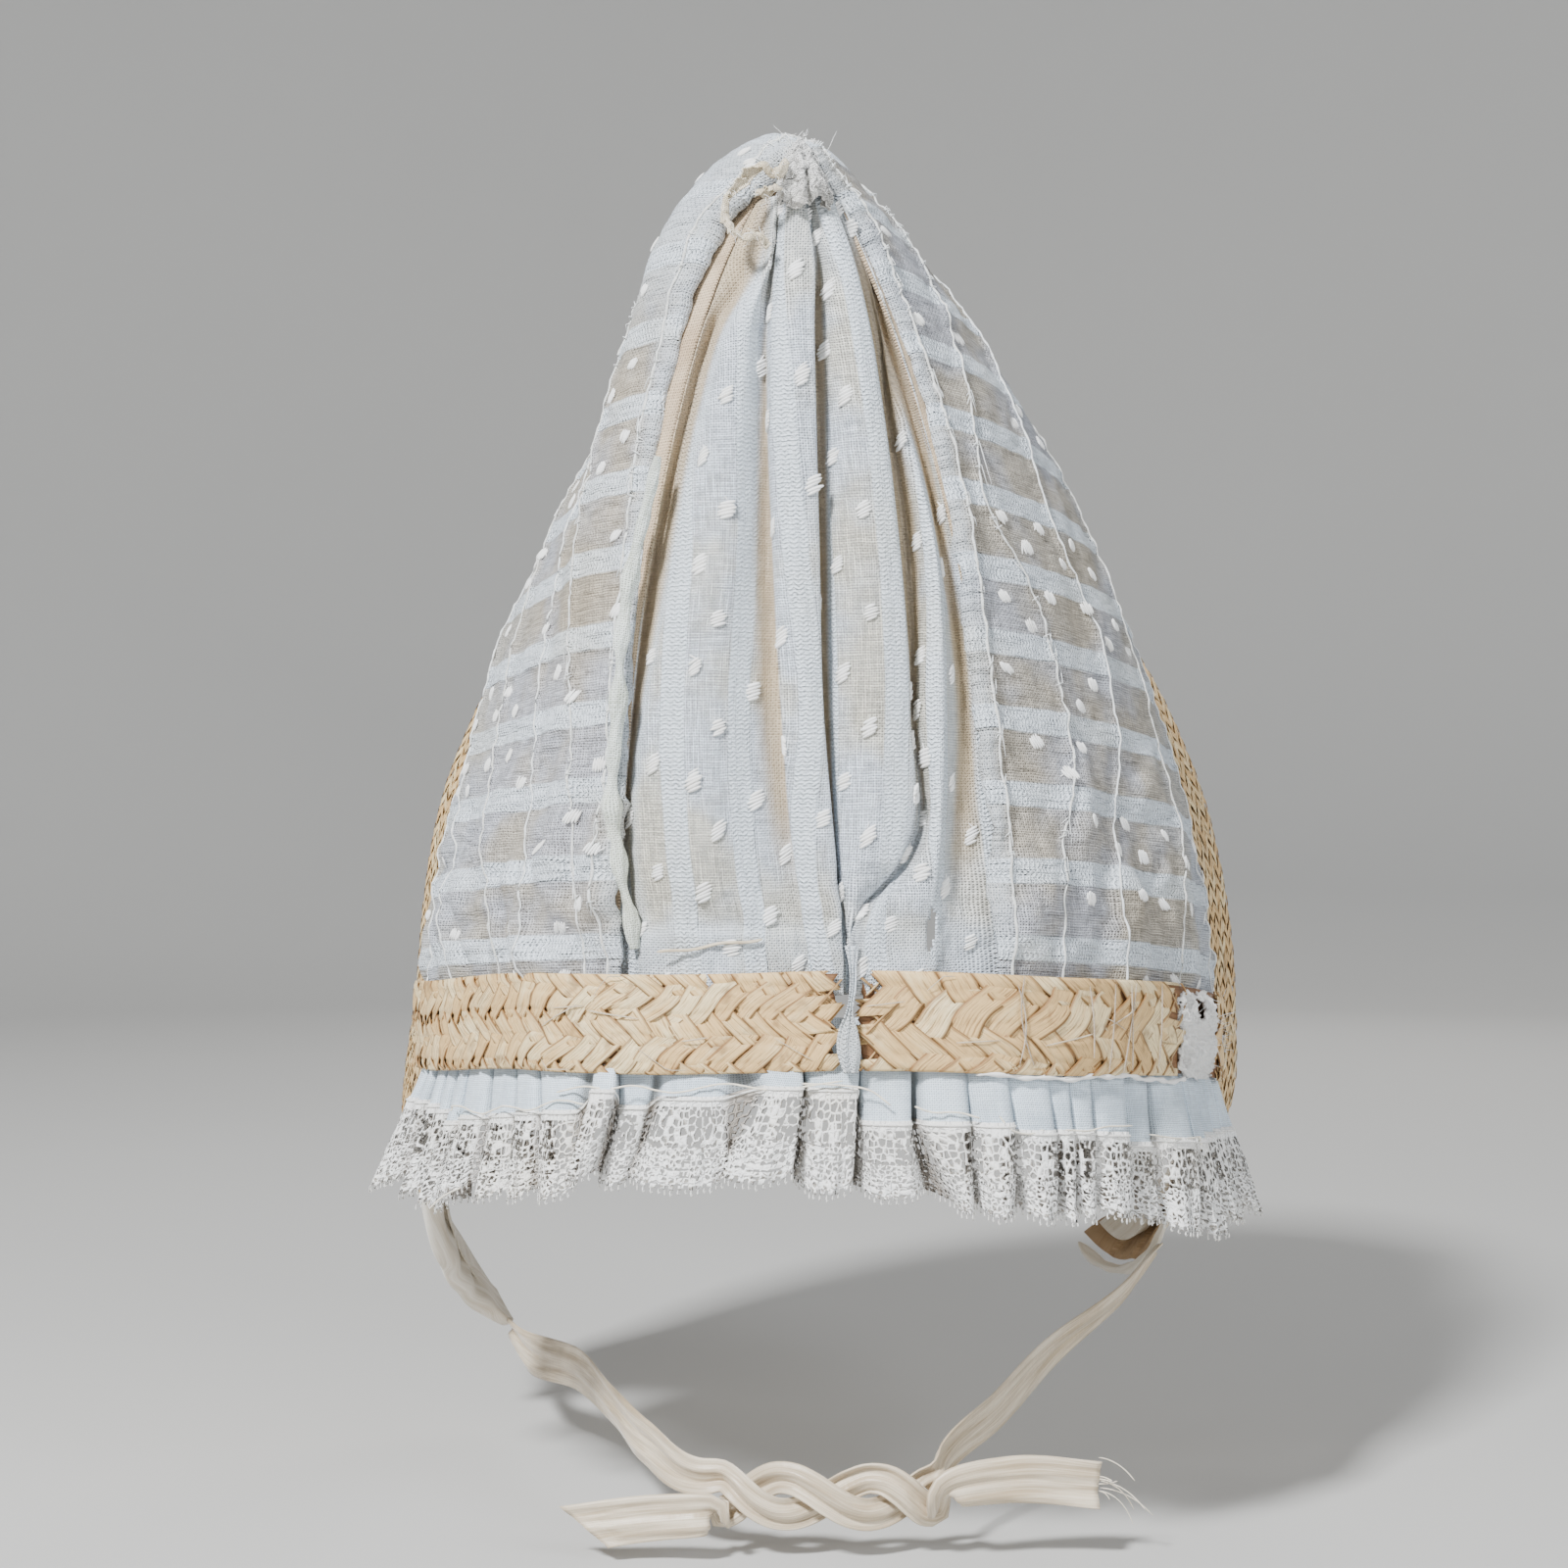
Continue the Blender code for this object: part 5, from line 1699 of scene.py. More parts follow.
@dataclass
class BackPanel:
    """The muslin panel that hangs in soft pleats from the peak to the neck edge.

    Each pleat keeps the cloth's stripes at their true width, so the cloth runs on out of sight
    behind the pleat's edges.
    """

    heights: tuple[float, ...] = (153.0, 138.0, 120.0, 102.0, 61.0, 20.0, -20.0, -36.0, -48.0)
    out_heights: tuple[float, ...] = (155.0, 120.0, 61.0, -20.0, -45.0)
    wall: float = 0.4
    belly: float = 5.0
    tuck: float = 3.0
    rope_line: tuple[tuple[float, float], ...] = (
        (672, 468), (662, 515), (650, 562), (640, 615), (634, 665), (631, 732), (626, 785), (625, 832),
        (632, 882), (643, 930), (648, 968))
    rope_radius: float = 1.75
    strand_across: tuple[float, float] = (-44.4, -16.9)
    strand_levels: tuple[float, float] = (-44.0, -40.2)
    folds: tuple[Fold, ...] = (
        Fold((-16.4, -20.2, -30.2, -35.6, -45.0, -50.9, -53.2, -52.1, -50.9), (-2, -5, -4.5, -3, -1.5)),
        Fold((-14.4, -15.6, -26.1, -31.7, -39.9, -48.3, -50.9, -48.3, -48.3), (0, 0, -1, -1, 0), 1),
        Fold((-13.6, -14.9, -23.6, -28.4, -35.3, -44.0, -43.0, -39.4, -39.4), (1, 3.5, 3.5, 3, 1), 1),
        Fold((-13.1, -14.6, -20.2, -22.3, -25.3, -29.7, -29.2, -26.6, -26.6), (1.5, 3.5, 4, 4.5, 1.5), 1),
        Fold((-12.6, -14.4, -16.2, -16.4, -15.6, -13.9, -10.5, -8.2, -6.2), (0, -2, -4.5, -3, 0), 1, 2.0),
        Fold((-11.6, -12.8, -14.1, -14.6, -13.3, -11.3, -8.2, -5.7, -4.2), (1.5, 2.5, 2.5, 1, 0.5), 2),
        Fold((-9.3, -8.2, -8.2, -8.2, -7.5, -6.2, -3.1, -1.6, -1.6), (2, 5.5, 5.5, 4.5, 1.5), 2),
        Fold((-5.7, -3.4, -3.4, -3.1, -2.1, -1.1, 2.2, 3.5, 4.0), (1.5, 4.5, 4.5, 4, 1.5), 2),
        Fold((-6.2, -4.4, -4.6, -4.4, -3.4, -2.4, 0.9, 2.5, 3.0), (-1, -1.5, -2, -1, 0), 2, 4.0),
        Fold((-4.7, -2.4, -2.1, -1.6, -1.1, -0.1, 2.5, 4.0, 5.5), (-1.5, -3.4, -3.6, -2.6, -0.6)),
        Fold((-3.1, -0.6, 0.4, 1.5, 2.0, 3.0, 3.5, 4.8, 6.3), (-0.5, 0, 0.5, 2, 0), 3),
        Fold((-0.6, 3.5, 6.1, 8.1, 10.7, 11.7, 10.4, 6.1, 6.6), (1.5, 4.5, 5, 5, 0.5), 3),
        Fold((2.2, 7.1, 11.2, 14.0, 18.8, 21.1, 18.3, 6.8, 6.9), (1, 3.5, 3.5, 3, -1), 3),
        Fold((1.7, 6.3, 10.2, 13.0, 18.0, 21.4, 18.8, 6.6, 6.8), (-1, -2.5, -2, 1, -2), 3, 4.0),
        Fold((3.2, 9.1, 13.5, 15.8, 21.4, 22.9, 20.9, 7.4, 6.5), (-2, -5, -4.5, -1.5, 3)),
        Fold((4.0, 10.1, 14.5, 17.0, 25.2, 25.0, 23.4, 11.5, 10.4), (-2, -4, -0.5, 2, 4), 4),
        Fold((4.5, 10.6, 15.2, 19.6, 28.5, 30.1, 28.5, 25.0, 25.7), (-3, -6, 4, 4, 2.5), 4),
        Fold((5.3, 11.4, 16.5, 21.9, 30.3, 35.7, 34.1, 33.4, 33.4), (-3, -7, -4, -3, -1), 4, 6.0),
    )
    stripe_lines: tuple[tuple[float, ...], ...] = (
        (-20.5, -20.5, -20.5, -20.5, -20.2, -22.3, -20.5, -18.5, -17.7),
        (-13.3, -13.9, -13.3, -11.8, -8.2, -4.2, -6.2, -4.0, -1.6),
        (0.2, 5.5, 9.1, 11.9, 16.3, 18.0, 16.8, 15.5, 15.5),
        (4.5, 10.6, 15.2, 22.0, 28.8, 29.5, 30.3, 30.5, 30.8),
    )
    stripe_places: tuple[float, ...] = (19.2, 38.4, 76.8, 115.2)

    def edges(self, z: float) -> tuple[float, float, float]:
        """Where the panel's edges are at one height.

        Args:
            z: The height.

        Returns:
            The left edge, the right edge and the depth of the seam.
        """
        hoop = read_table(HOOP_COLUMNS, HOOPS, 0.0)
        lift = (z - CROWN_BASE_Z) / (hoop["top_z"] - CROWN_BASE_Z)
        lean = APEX_LEAN * lift * lift
        left = lean - hoop_reach(hoop, lift, -1) - PANEL_REACH
        right = lean + hoop_reach(hoop, lift, 1) + PANEL_REACH
        return left, right, BACK_Y + hoop["base_y"] + (hoop["top_y"] - hoop["base_y"]) * lift

    def row(self, z: float, steps: int) -> np.ndarray:
        """One level of the panel.

        Args:
            z: Its height.
            steps: How many columns it has.

        Returns:
            How far across, how far out and where on the flat cloth each column is.
        """
        left, right, _ = self.edges(z)
        order = self.heights[::-1]
        lines = [float(curve_through(order, line[::-1], z)) for line in self.stripe_lines]
        x, out, flat = [left], [0.0], [None]
        for number, fold in enumerate(self.folds):
            place = float(curve_through(order, fold.across[::-1], z))
            low = left + 0.35 * (number + 1)
            high = right - 0.3 * (len(self.folds) - number)
            place = min(max(place, low), high)
            x.append(place)
            out.append(float(np.interp(z, self.out_heights[::-1], fold.out[::-1])))
            if fold.pleat:
                shift = place - lines[fold.pleat - 1]
                flat.append(self.stripe_places[fold.pleat - 1] + shift * 1.05 + fold.spare)
            else:
                flat.append(None)
        x.append(right)
        out.append(0.0)
        flat.append(None)
        flat[1] = flat[2] - 7.0
        flat[0] = flat[1] - 5.0
        flat[-1] = flat[-2] + 8.0
        known = [k for k, value in enumerate(flat) if value is not None]
        flat = np.interp(range(len(flat)), known, [flat[k] for k in known])
        control = np.stack((x, out, flat), axis=1)
        ends = np.concatenate((control[:1] * 2 - control[1:2], control, control[-1:] * 2 - control[-2:-1]))
        t = np.linspace(0, len(control) - 1, steps)
        k = np.minimum(t.astype(int), len(control) - 2)
        f = (t - k)[:, None]
        a, b, c, d = (ends[k + n] for n in range(4))
        tight = 0.42
        return ((2 * f ** 3 - 3 * f ** 2 + 1) * b + (f ** 3 - 2 * f ** 2 + f) * (c - a) * tight
                + (3 * f ** 2 - 2 * f ** 3) * c + (f ** 3 - f ** 2) * (d - b) * tight)

    def build(self) -> None:
        """Loft the panel through its levels, crumple it and work its spots."""
        spans = len(self.folds) + 1
        steps = spans * 10 + 1
        levels = np.concatenate((np.linspace(155, -20, 112), np.linspace(-21, -55, 34)))
        rows = np.array([self.row(z, steps) for z in levels])
        edges = np.array([self.edges(z) for z in levels])
        width = (edges[:, 1] - edges[:, 0])[:, None]
        place = (rows[..., 0] - edges[:, :1]) / width
        inward = (2 * np.clip(place, 0, 1) - 1) ** 4
        fullness = np.minimum(1.0, width / 45.0)
        out = rows[..., 1] * fullness
        z = np.repeat(levels[:, None], steps, axis=1)
        y = (edges[:, 2:] - 1.0 + self.tuck * inward
             - self.belly * (1 - inward) * np.minimum(1.0, width / 60.0) - out)
        grid = np.stack((rows[..., 0], y, z), axis=2)

        column = np.linspace(0, spans, steps)[None, :]
        hanging = np.stack((rows[..., 2], np.zeros_like(z), z * 0.12), axis=2)
        grid[..., 1] -= 0.55 * unrest(hanging, 3.2, 6.0, 2) * fullness
        low = step_up(z, -14.0, -34.0) * step_up(z, -56.0, -46.0)
        crumple = unrest(np.stack((rows[..., 2], z, np.zeros_like(z)), axis=2), 9.0, 2.0, 2)
        grid[..., 1] -= 1.3 * low * crumple
        grid[..., 0] += 0.7 * low * unrest(grid, 8.0, 9.0, 1)
        tucked = step_up(z, -37.5, -39.5) * bump_at(column, 4.0, 2.2)
        grid[..., 1] -= 1.8 * tucked
        grid[..., 1] = np.minimum(grid[..., 1], edges[:, 2:] + 9.5)
        flat = np.stack((rows[..., 2], -z), axis=2)

        tan = step_up(out, -1.0, -3.2) * step_up(z, -34.0, -4.0)
        beside = step_up(column, 1.9, 1.2) * step_up(z, 20.0, 56.0)
        tan = np.maximum(tan, beside)
        fold_edges = sum(bump_at(column, line, 0.28) for line in (2.0, 8.0, 13.0)) + 0 * z
        loose_edge = bump_at(column, 17.4, 0.3) * step_up(z, 84.0, 60.0)
        dense = 0.55 * step_up(z, -34.0, -40.0) + 0.5 * step_up(z, 120.0, 150.0)
        hole = (((grid[..., 0] - 27.2 - (grid[..., 2] + 38) * 0.05) / 1.5) ** 2
                + ((grid[..., 2] + 38.0) / 6.0) ** 2) < 1.0
        keep = ~(hole[:-1, :-1] & hole[1:, 1:])
        muslin = Muslin(label="panel_muslin", sheer_cover=0.86)
        marks = {"tan": tan * 0.9, "edge": np.clip(fold_edges + loose_edge, 0, 1) * 0.7, "dense": dense}
        piece = sheet("back_panel_pleats", grid, flat, self.wall, (0.0, 0.0, 50.0), muslin.material(),
                      marks, keep)
        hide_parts("back_panel")
        hidden = (tan[:-1, :-1] > 0.6) | ~keep
        spots = Spots().work("panel_spots", grid, flat, (0.0, 0.0, 50.0), Thread().material(), hidden)
        self.rope(grid)
        self.strand(grid)
        LOG.info("back panel: pleats, spots, rolled edge, strand and the torn place by the right seam")

    def strand(self, panel: np.ndarray) -> bpy.types.Object:
        """The loose strand of straw that lies across the foot of the panel.

        Args:
            panel: The panel's points.

        Returns:
            The strand.
        """
        across, levels = np.linspace(*self.strand_across, 30), np.linspace(*self.strand_levels, 30)
        rows = [panel[int(np.argmin(np.abs(panel[:, 0, 2] - z)))] for z in levels]
        outs = np.array([float(np.interp(x, row[:, 0], row[:, 1])) for x, row in zip(across, rows)]) - 0.9
        outs = np.pad(np.minimum(outs, outs.mean()), 4, mode="edge")
        outs = np.convolve(outs, np.full(9, 1 / 9), mode="valid")
        threads = Bunch()
        line = np.stack((across, outs, levels + 0.35 * np.sin(across * 0.4)), axis=1)
        threads.add_thread(line, 0.42, 0.8, 6)
        piece = threads.finish("panel_strand", Straw(label="pale_strand", pale=(0.90, 0.80, 0.62),
                                                     ripe=(0.80, 0.64, 0.42)).material())
        return piece

    def rope(self, panel: np.ndarray) -> bpy.types.Object:
        """The edge of muslin that is rolled up like a rope down the left side of the panel.

        Args:
            panel: The points of the panel, which the roll lies on.

        Returns:
            The roll.
        """
        view = PhotoView()
        steps = np.linspace(0, len(self.rope_line) - 1, 150)
        path = []
        places = range(len(self.rope_line))
        for across, down in (curve_through(places, self.rope_line, step) for step in steps):
            y = -101.0
            for _ in range(3):
                x = (across - view.pixels) * (y + view.away) / view.focal + view.middle
                z = (view.pixels - down) * (y + view.away) / view.focal
                row = int(np.argmin(np.abs(panel[:, 0, 2] - z)))
                y = float(np.interp(x, panel[row, :, 0], panel[row, :, 1])) - self.rope_radius * 0.9
            path.append((x, min(y, -97.5), z))
        path = np.array(path)
        path[:, 1] = np.convolve(np.pad(path[:, 1], 6, mode="edge"), np.full(13, 1 / 13), mode="valid")
        tangent = np.gradient(path, axis=0)
        tangent /= np.linalg.norm(tangent, axis=1, keepdims=True)
        side = np.cross(tangent, (0.0, -1.0, 0.0))
        side /= np.linalg.norm(side, axis=1, keepdims=True)
        out = np.cross(side, tangent)
        length = np.concatenate(([0.0], np.cumsum(np.linalg.norm(np.diff(path, axis=0), axis=1))))
        turns = np.radians(np.linspace(-150.0, 200.0, 33))[None, :]
        swell = 1.0 + 0.22 * np.sin(length * 0.42) + 0.16 * np.sin(length * 0.19 + 1.0)
        swell += 0.55 * bump_at(length, float(length[-1]) * 0.715, 4.0)
        swell *= 0.55 + 0.45 * step_up(length, 0.0, 18.0)
        twisted = (1.0 + 0.16 * np.cos(2 * turns + length[:, None] * 0.33)
                   + 0.06 * np.cos(5 * turns - length[:, None] * 0.5))
        radius = self.rope_radius * swell[:, None] * twisted
        grid = (path[:, None] + side[:, None] * (radius * np.sin(turns))[..., None]
                + out[:, None] * (radius * np.cos(turns))[..., None])
        grid += 0.16 * unrest(grid, 2.2, 7.0, 2)[..., None]
        flat = np.stack(np.broadcast_arrays(turns * self.rope_radius, length[:, None]), axis=2)
        cloth = PlainCloth(label="rolled_muslin", colour=(0.80, 0.86, 0.82), shade=(0.50, 0.54, 0.46),
                           stain=(0.80, 0.72, 0.50), age=0.5, depth=0.0003)
        piece = sheet("rolled_panel_edge", grid, flat, 0.35, (-45.0, -60.0, 20.0), cloth.material())
        return piece


# Peak


@dataclass
class Peak:
    """The bunched cloth at the peak, the curled torn edge beside it and the lint on it."""

    top: tuple[float, float, float] = (-7.0, -96.0, 169.8)
    drop: float = 17.5
    reach: float = 8.2
    pleats: int = 7
    scraps: tuple[tuple[float, tuple[tuple[float, float, float], ...]], ...] = (
        (6.2, ((-10.0, -101.0, 161.5), (-13.5, -103.0, 158.8), (-17.0, -103.2, 159.6),
               (-20.8, -101.5, 156.6))),
        (5.2, ((-12.5, -102.0, 156.0), (-15.5, -103.6, 152.6), (-18.6, -103.4, 153.6))),
        (4.6, ((-20.0, -101.5, 156.6), (-24.6, -102.0, 153.2), (-26.6, -101.5, 148.4),
               (-24.6, -102.4, 144.0))),
        (3.6, ((-24.4, -102.4, 144.4), (-20.8, -103.0, 142.4), (-17.6, -102.8, 143.6),
               (-14.4, -102.0, 141.2))),
    )

    def gathers(self) -> bpy.types.Object:
        """The cloth drawn together at the peak, spreading down over the panel in small pleats.

        Returns:
            The gathers.
        """
        down = np.linspace(0.0, 1.0, 70)[:, None]
        turn = np.radians(np.linspace(-150.0, 150.0, 190))[None, :]
        wave = np.cos(self.pleats * turn + 1.5 * np.sin(2.3 * turn) + 1.2 * down)
        wave = 0.75 * wave + 0.35 * np.cos(16 * turn + 2.0 - 3.0 * down)
        swell = 0.18 + 0.82 * np.sin(np.clip(down / 0.30, 0.0, 1.0) * math.pi / 2)
        under = step_up(down, 0.80, 1.0)
        fold = (0.5 + 1.3 * down) * wave * (1.0 - 0.4 * under)
        wide = (2.6 + (self.reach - 2.6) * down ** 1.1 + 0.7 * fold) * swell - 1.6 * under
        deep = (2.4 + 2.6 * down ** 0.9 + fold) * swell - 2.4 * under
        x = self.top[0] + wide * np.sin(turn) + 1.2 * down
        y = self.top[1] - deep * np.cos(turn) - 1.0 * down
        z = self.top[2] - self.drop * down * (1.0 + 0.10 * np.cos(3 * turn + 1.0)) + 0 * turn
        grid = np.stack(np.broadcast_arrays(x, y, z), axis=2)
        puffed = np.abs(unrest(grid, 3.4, 3.0, 3))
        grid[..., 1] -= 1.7 * puffed * np.cos(turn)
        grid[..., 0] += 1.1 * unrest(grid, 3.6, 7.0, 2) + 0.9 * puffed * np.sin(turn)
        grid[..., 2] += 0.8 * unrest(grid, 3.0, 9.0, 2)
        flat = np.stack((run_length(grid, 1), run_length(grid, 0)), axis=2)
        marks = {"dense": np.full(grid.shape[:2], 0.75) - 0.35 * down, "edge": np.zeros(grid.shape[:2]),
                 "tan": np.zeros(grid.shape[:2])}
        muslin = Muslin(label="peak_muslin", sheer=(0.80, 0.82, 0.85), warm=(0.76, 0.72, 0.64),
                        stripe=(0.95, 0.96, 0.98), stripes=0.3, sheer_cover=0.97)
        piece = sheet("peak_gathers", grid, flat, 0.4, (self.top[0], -90.0, 150.0), muslin.material(), marks)
        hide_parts("apex_knot")
        return piece

    def torn_edge(self) -> bpy.types.Object:
        """The frayed, curled scraps of the cloth where it has torn beside the peak.

        Returns:
            The scraps in one piece.
        """
        bunch = Bunch()
        for number, (width, line) in enumerate(self.scraps):
            steps = np.linspace(0, len(line) - 1, 44)
            path = np.array([curve_through(range(len(line)), line, step) for step in steps])
            tangent = np.gradient(path, axis=0)
            tangent /= np.linalg.norm(tangent, axis=1, keepdims=True)
            inward = np.cross(tangent, (0.0, 1.0, 0.0))
            inward /= np.linalg.norm(inward, axis=1, keepdims=True) + 1e-9
            share = np.linspace(0.0, 1.0, 17)[None, :]
            along = np.linspace(0.0, 1.0, 44)[:, None]
            bend = 3.1 + 1.3 * np.sin(along * 5.0 + number * 2.0)
            ragged = width * (1.0 + 0.30 * unrest(path, 1.6, 5.0 + number, 3))[:, None]
            curl = share * bend
            radius = ragged / bend
            out = np.array((0.0, -1.0, 0.0))
            grid = (path[:, None] - inward[:, None] * (radius * np.sin(curl))[..., None]
                    + out * (radius * (1 - np.cos(curl)) - 0.4 * ragged * share)[..., None])
            grid += 0.6 * unrest(grid, 2.0, 2.0 + number, 3)[..., None] * (0.7, -0.9, 0.8)
            bunch.add_grid(grid, np.stack((run_length(grid, 0), run_length(grid, 1)), axis=2), 0.0)
        muslin = PlainCloth(label="frayed_muslin", colour=(0.88, 0.80, 0.64), shade=(0.62, 0.52, 0.36),
                            age=0.6, pitch=0.0005, depth=0.0003)
        piece = bunch.finish("torn_edge", muslin.material(), wall=0.3)
        return piece

    def lint(self) -> bpy.types.Object:
        """Short broken threads on and round the peak and along the torn edge.

        Returns:
            The threads in one piece.
        """
        rng = np.random.default_rng(11)
        threads = Bunch()

        def hair(start: np.ndarray, way: np.ndarray, length: float, radius: float) -> None:
            """Let one thread run, turning a little at every step.

            Args:
                start: Where it starts.
                way: Where it heads.
                length: How long it is.
                radius: Its radius.
            """
            points, point, step = [start], start.copy(), way / np.linalg.norm(way)
            bend = rng.normal(0, 0.28, 3)
            for _ in range(7):
                step = step + bend + rng.normal(0, 0.16, 3)
                step /= np.linalg.norm(step)
                point = point + step * length / 7
                points.append(point.copy())
            threads.add_thread(np.array(points), radius, rng.uniform(-0.8, 1), 4)

        for _ in range(80):
            turn, down = rng.uniform(-1.9, 1.9), rng.uniform(0, 1) ** 1.5
            wide, deep = 2.8 + (self.reach - 2.6) * down ** 1.1, 3.4 + 3.2 * down ** 0.9
            start = np.array((self.top[0] + wide * math.sin(turn) + 1.6 * down,
                              self.top[1] - deep * math.cos(turn), self.top[2] - self.drop * down))
            way = np.array((math.sin(turn), -math.cos(turn), rng.normal(0, 0.9)))
            hair(start, way, rng.uniform(0.8, 2.8), rng.uniform(0.05, 0.09))
        for point in (point for _, line in self.scraps for point in line):
            for _ in range(4):
                hair(np.array(point) + rng.normal(0, 0.9, 3) + (0, -1.0, 0),
                     rng.normal(0, 1, 3) + (0, -0.5, 0), rng.uniform(1.2, 3.2), 0.07)
        hair(np.array((-1.0, -99.0, 165.0)), np.array((1.4, -0.6, 1.0)), 7.0, 0.07)
        hair(np.array((-10.0, -99.5, 168.0)), np.array((-1.0, -0.4, 0.7)), 7.0, 0.10)
        piece = threads.finish("peak_lint", Thread().material())
        return piece

    def build(self) -> None:
        """Make the gathers, the torn edge and the lint."""
        self.gathers()
        self.torn_edge()
        self.lint()
        LOG.info("peak: gathers, torn edge and lint")


# Straw


@dataclass
class Plait:
    """Flat plait of two sets of slanting straws, each over two and under two of the other."""

    width: float
    straw: float
    swing: float = 0.42
    seed: int = 1
    torn_start: float = 0.0
    torn_end: float = 0.0
    detail: int = 3
    uneven: float = 0.25
    profile: tuple[float, ...] = (-0.485, 0.0, 0.485)
    arched: float = 0.14
    steep: float = 2.4
    wander: float = 0.03

    def weave(self, bunch: Bunch, start: float, end: float,
              place: Callable[[np.ndarray, np.ndarray, np.ndarray], np.ndarray]) -> None:
        """Add the straws of one length of plait.

        Args:
            bunch: Takes the straws.
            start: Where the plait begins, along its length.
            end: Where it ends.
            place: Turns length, share of the width and height into points.
        """
        rng = np.random.default_rng(self.seed)
        root2, p = math.sqrt(2), self.straw
        crossings = self.width * root2 / p
        steps = max(6, int(crossings * self.detail))
        t = np.linspace(0, self.width, steps + 1)[:, None]
        w = np.array(self.profile)[None, :] * p
        for family in (1, -1):
            low = (start - self.width if family > 0 else start) / root2
            high = (end if family > 0 else end + self.width) / root2
            for index in range(int(low // p) - 1, int(high // p) + 2):
                middle = (index + 0.5) * p
                jitter = rng.normal(0, self.wander * p)
                turn = rng.normal(0, self.wander * 0.9) * (t - self.width / 2)
                line = middle + jitter + turn + w * rng.uniform(0.94, 1.0 + self.wander)
                s = (t + root2 * line) if family > 0 else (root2 * line - t)
                cross = (s + t) / root2 if family > 0 else (s - t) / root2
                phase = (middle - cross) / p if family > 0 else (cross - middle) / p
                wave = np.tanh(self.steep * np.cos(math.pi / 2 * (phase + 0.25))) * self.swing * family
                crown = self.arched * (1 - (w / (0.485 * p)) ** 2) + 0.10 * family * w / p
                edge = np.exp(-(t / 0.9) ** 2) + np.exp(-((self.width - t) / 0.9) ** 2)
                h = wave + crown - 0.55 * edge + rng.normal(0, self.uneven * 0.25)
                h = h + self.uneven * 0.35 * np.sin(s * 0.55 + index)
                first = start + self.torn_start * rng.uniform(-0.4, 1.0)
                last = end - self.torn_end * rng.uniform(-0.4, 1.0)
                inside = (s >= first) & (s <= last)
                keep = inside[:-1, :-1] & inside[1:, 1:] & inside[1:, :-1] & inside[:-1, 1:]
                if not keep.any():
                    continue
                grid = place(s, np.broadcast_to(t / self.width, s.shape), h)
                along = t * root2 + rng.uniform(0, 400)
                flat = np.stack(np.broadcast_arrays(along, w + 40.0 * index), axis=2)
                bunch.add_grid(grid, flat, rng.uniform(-1, 1), keep)


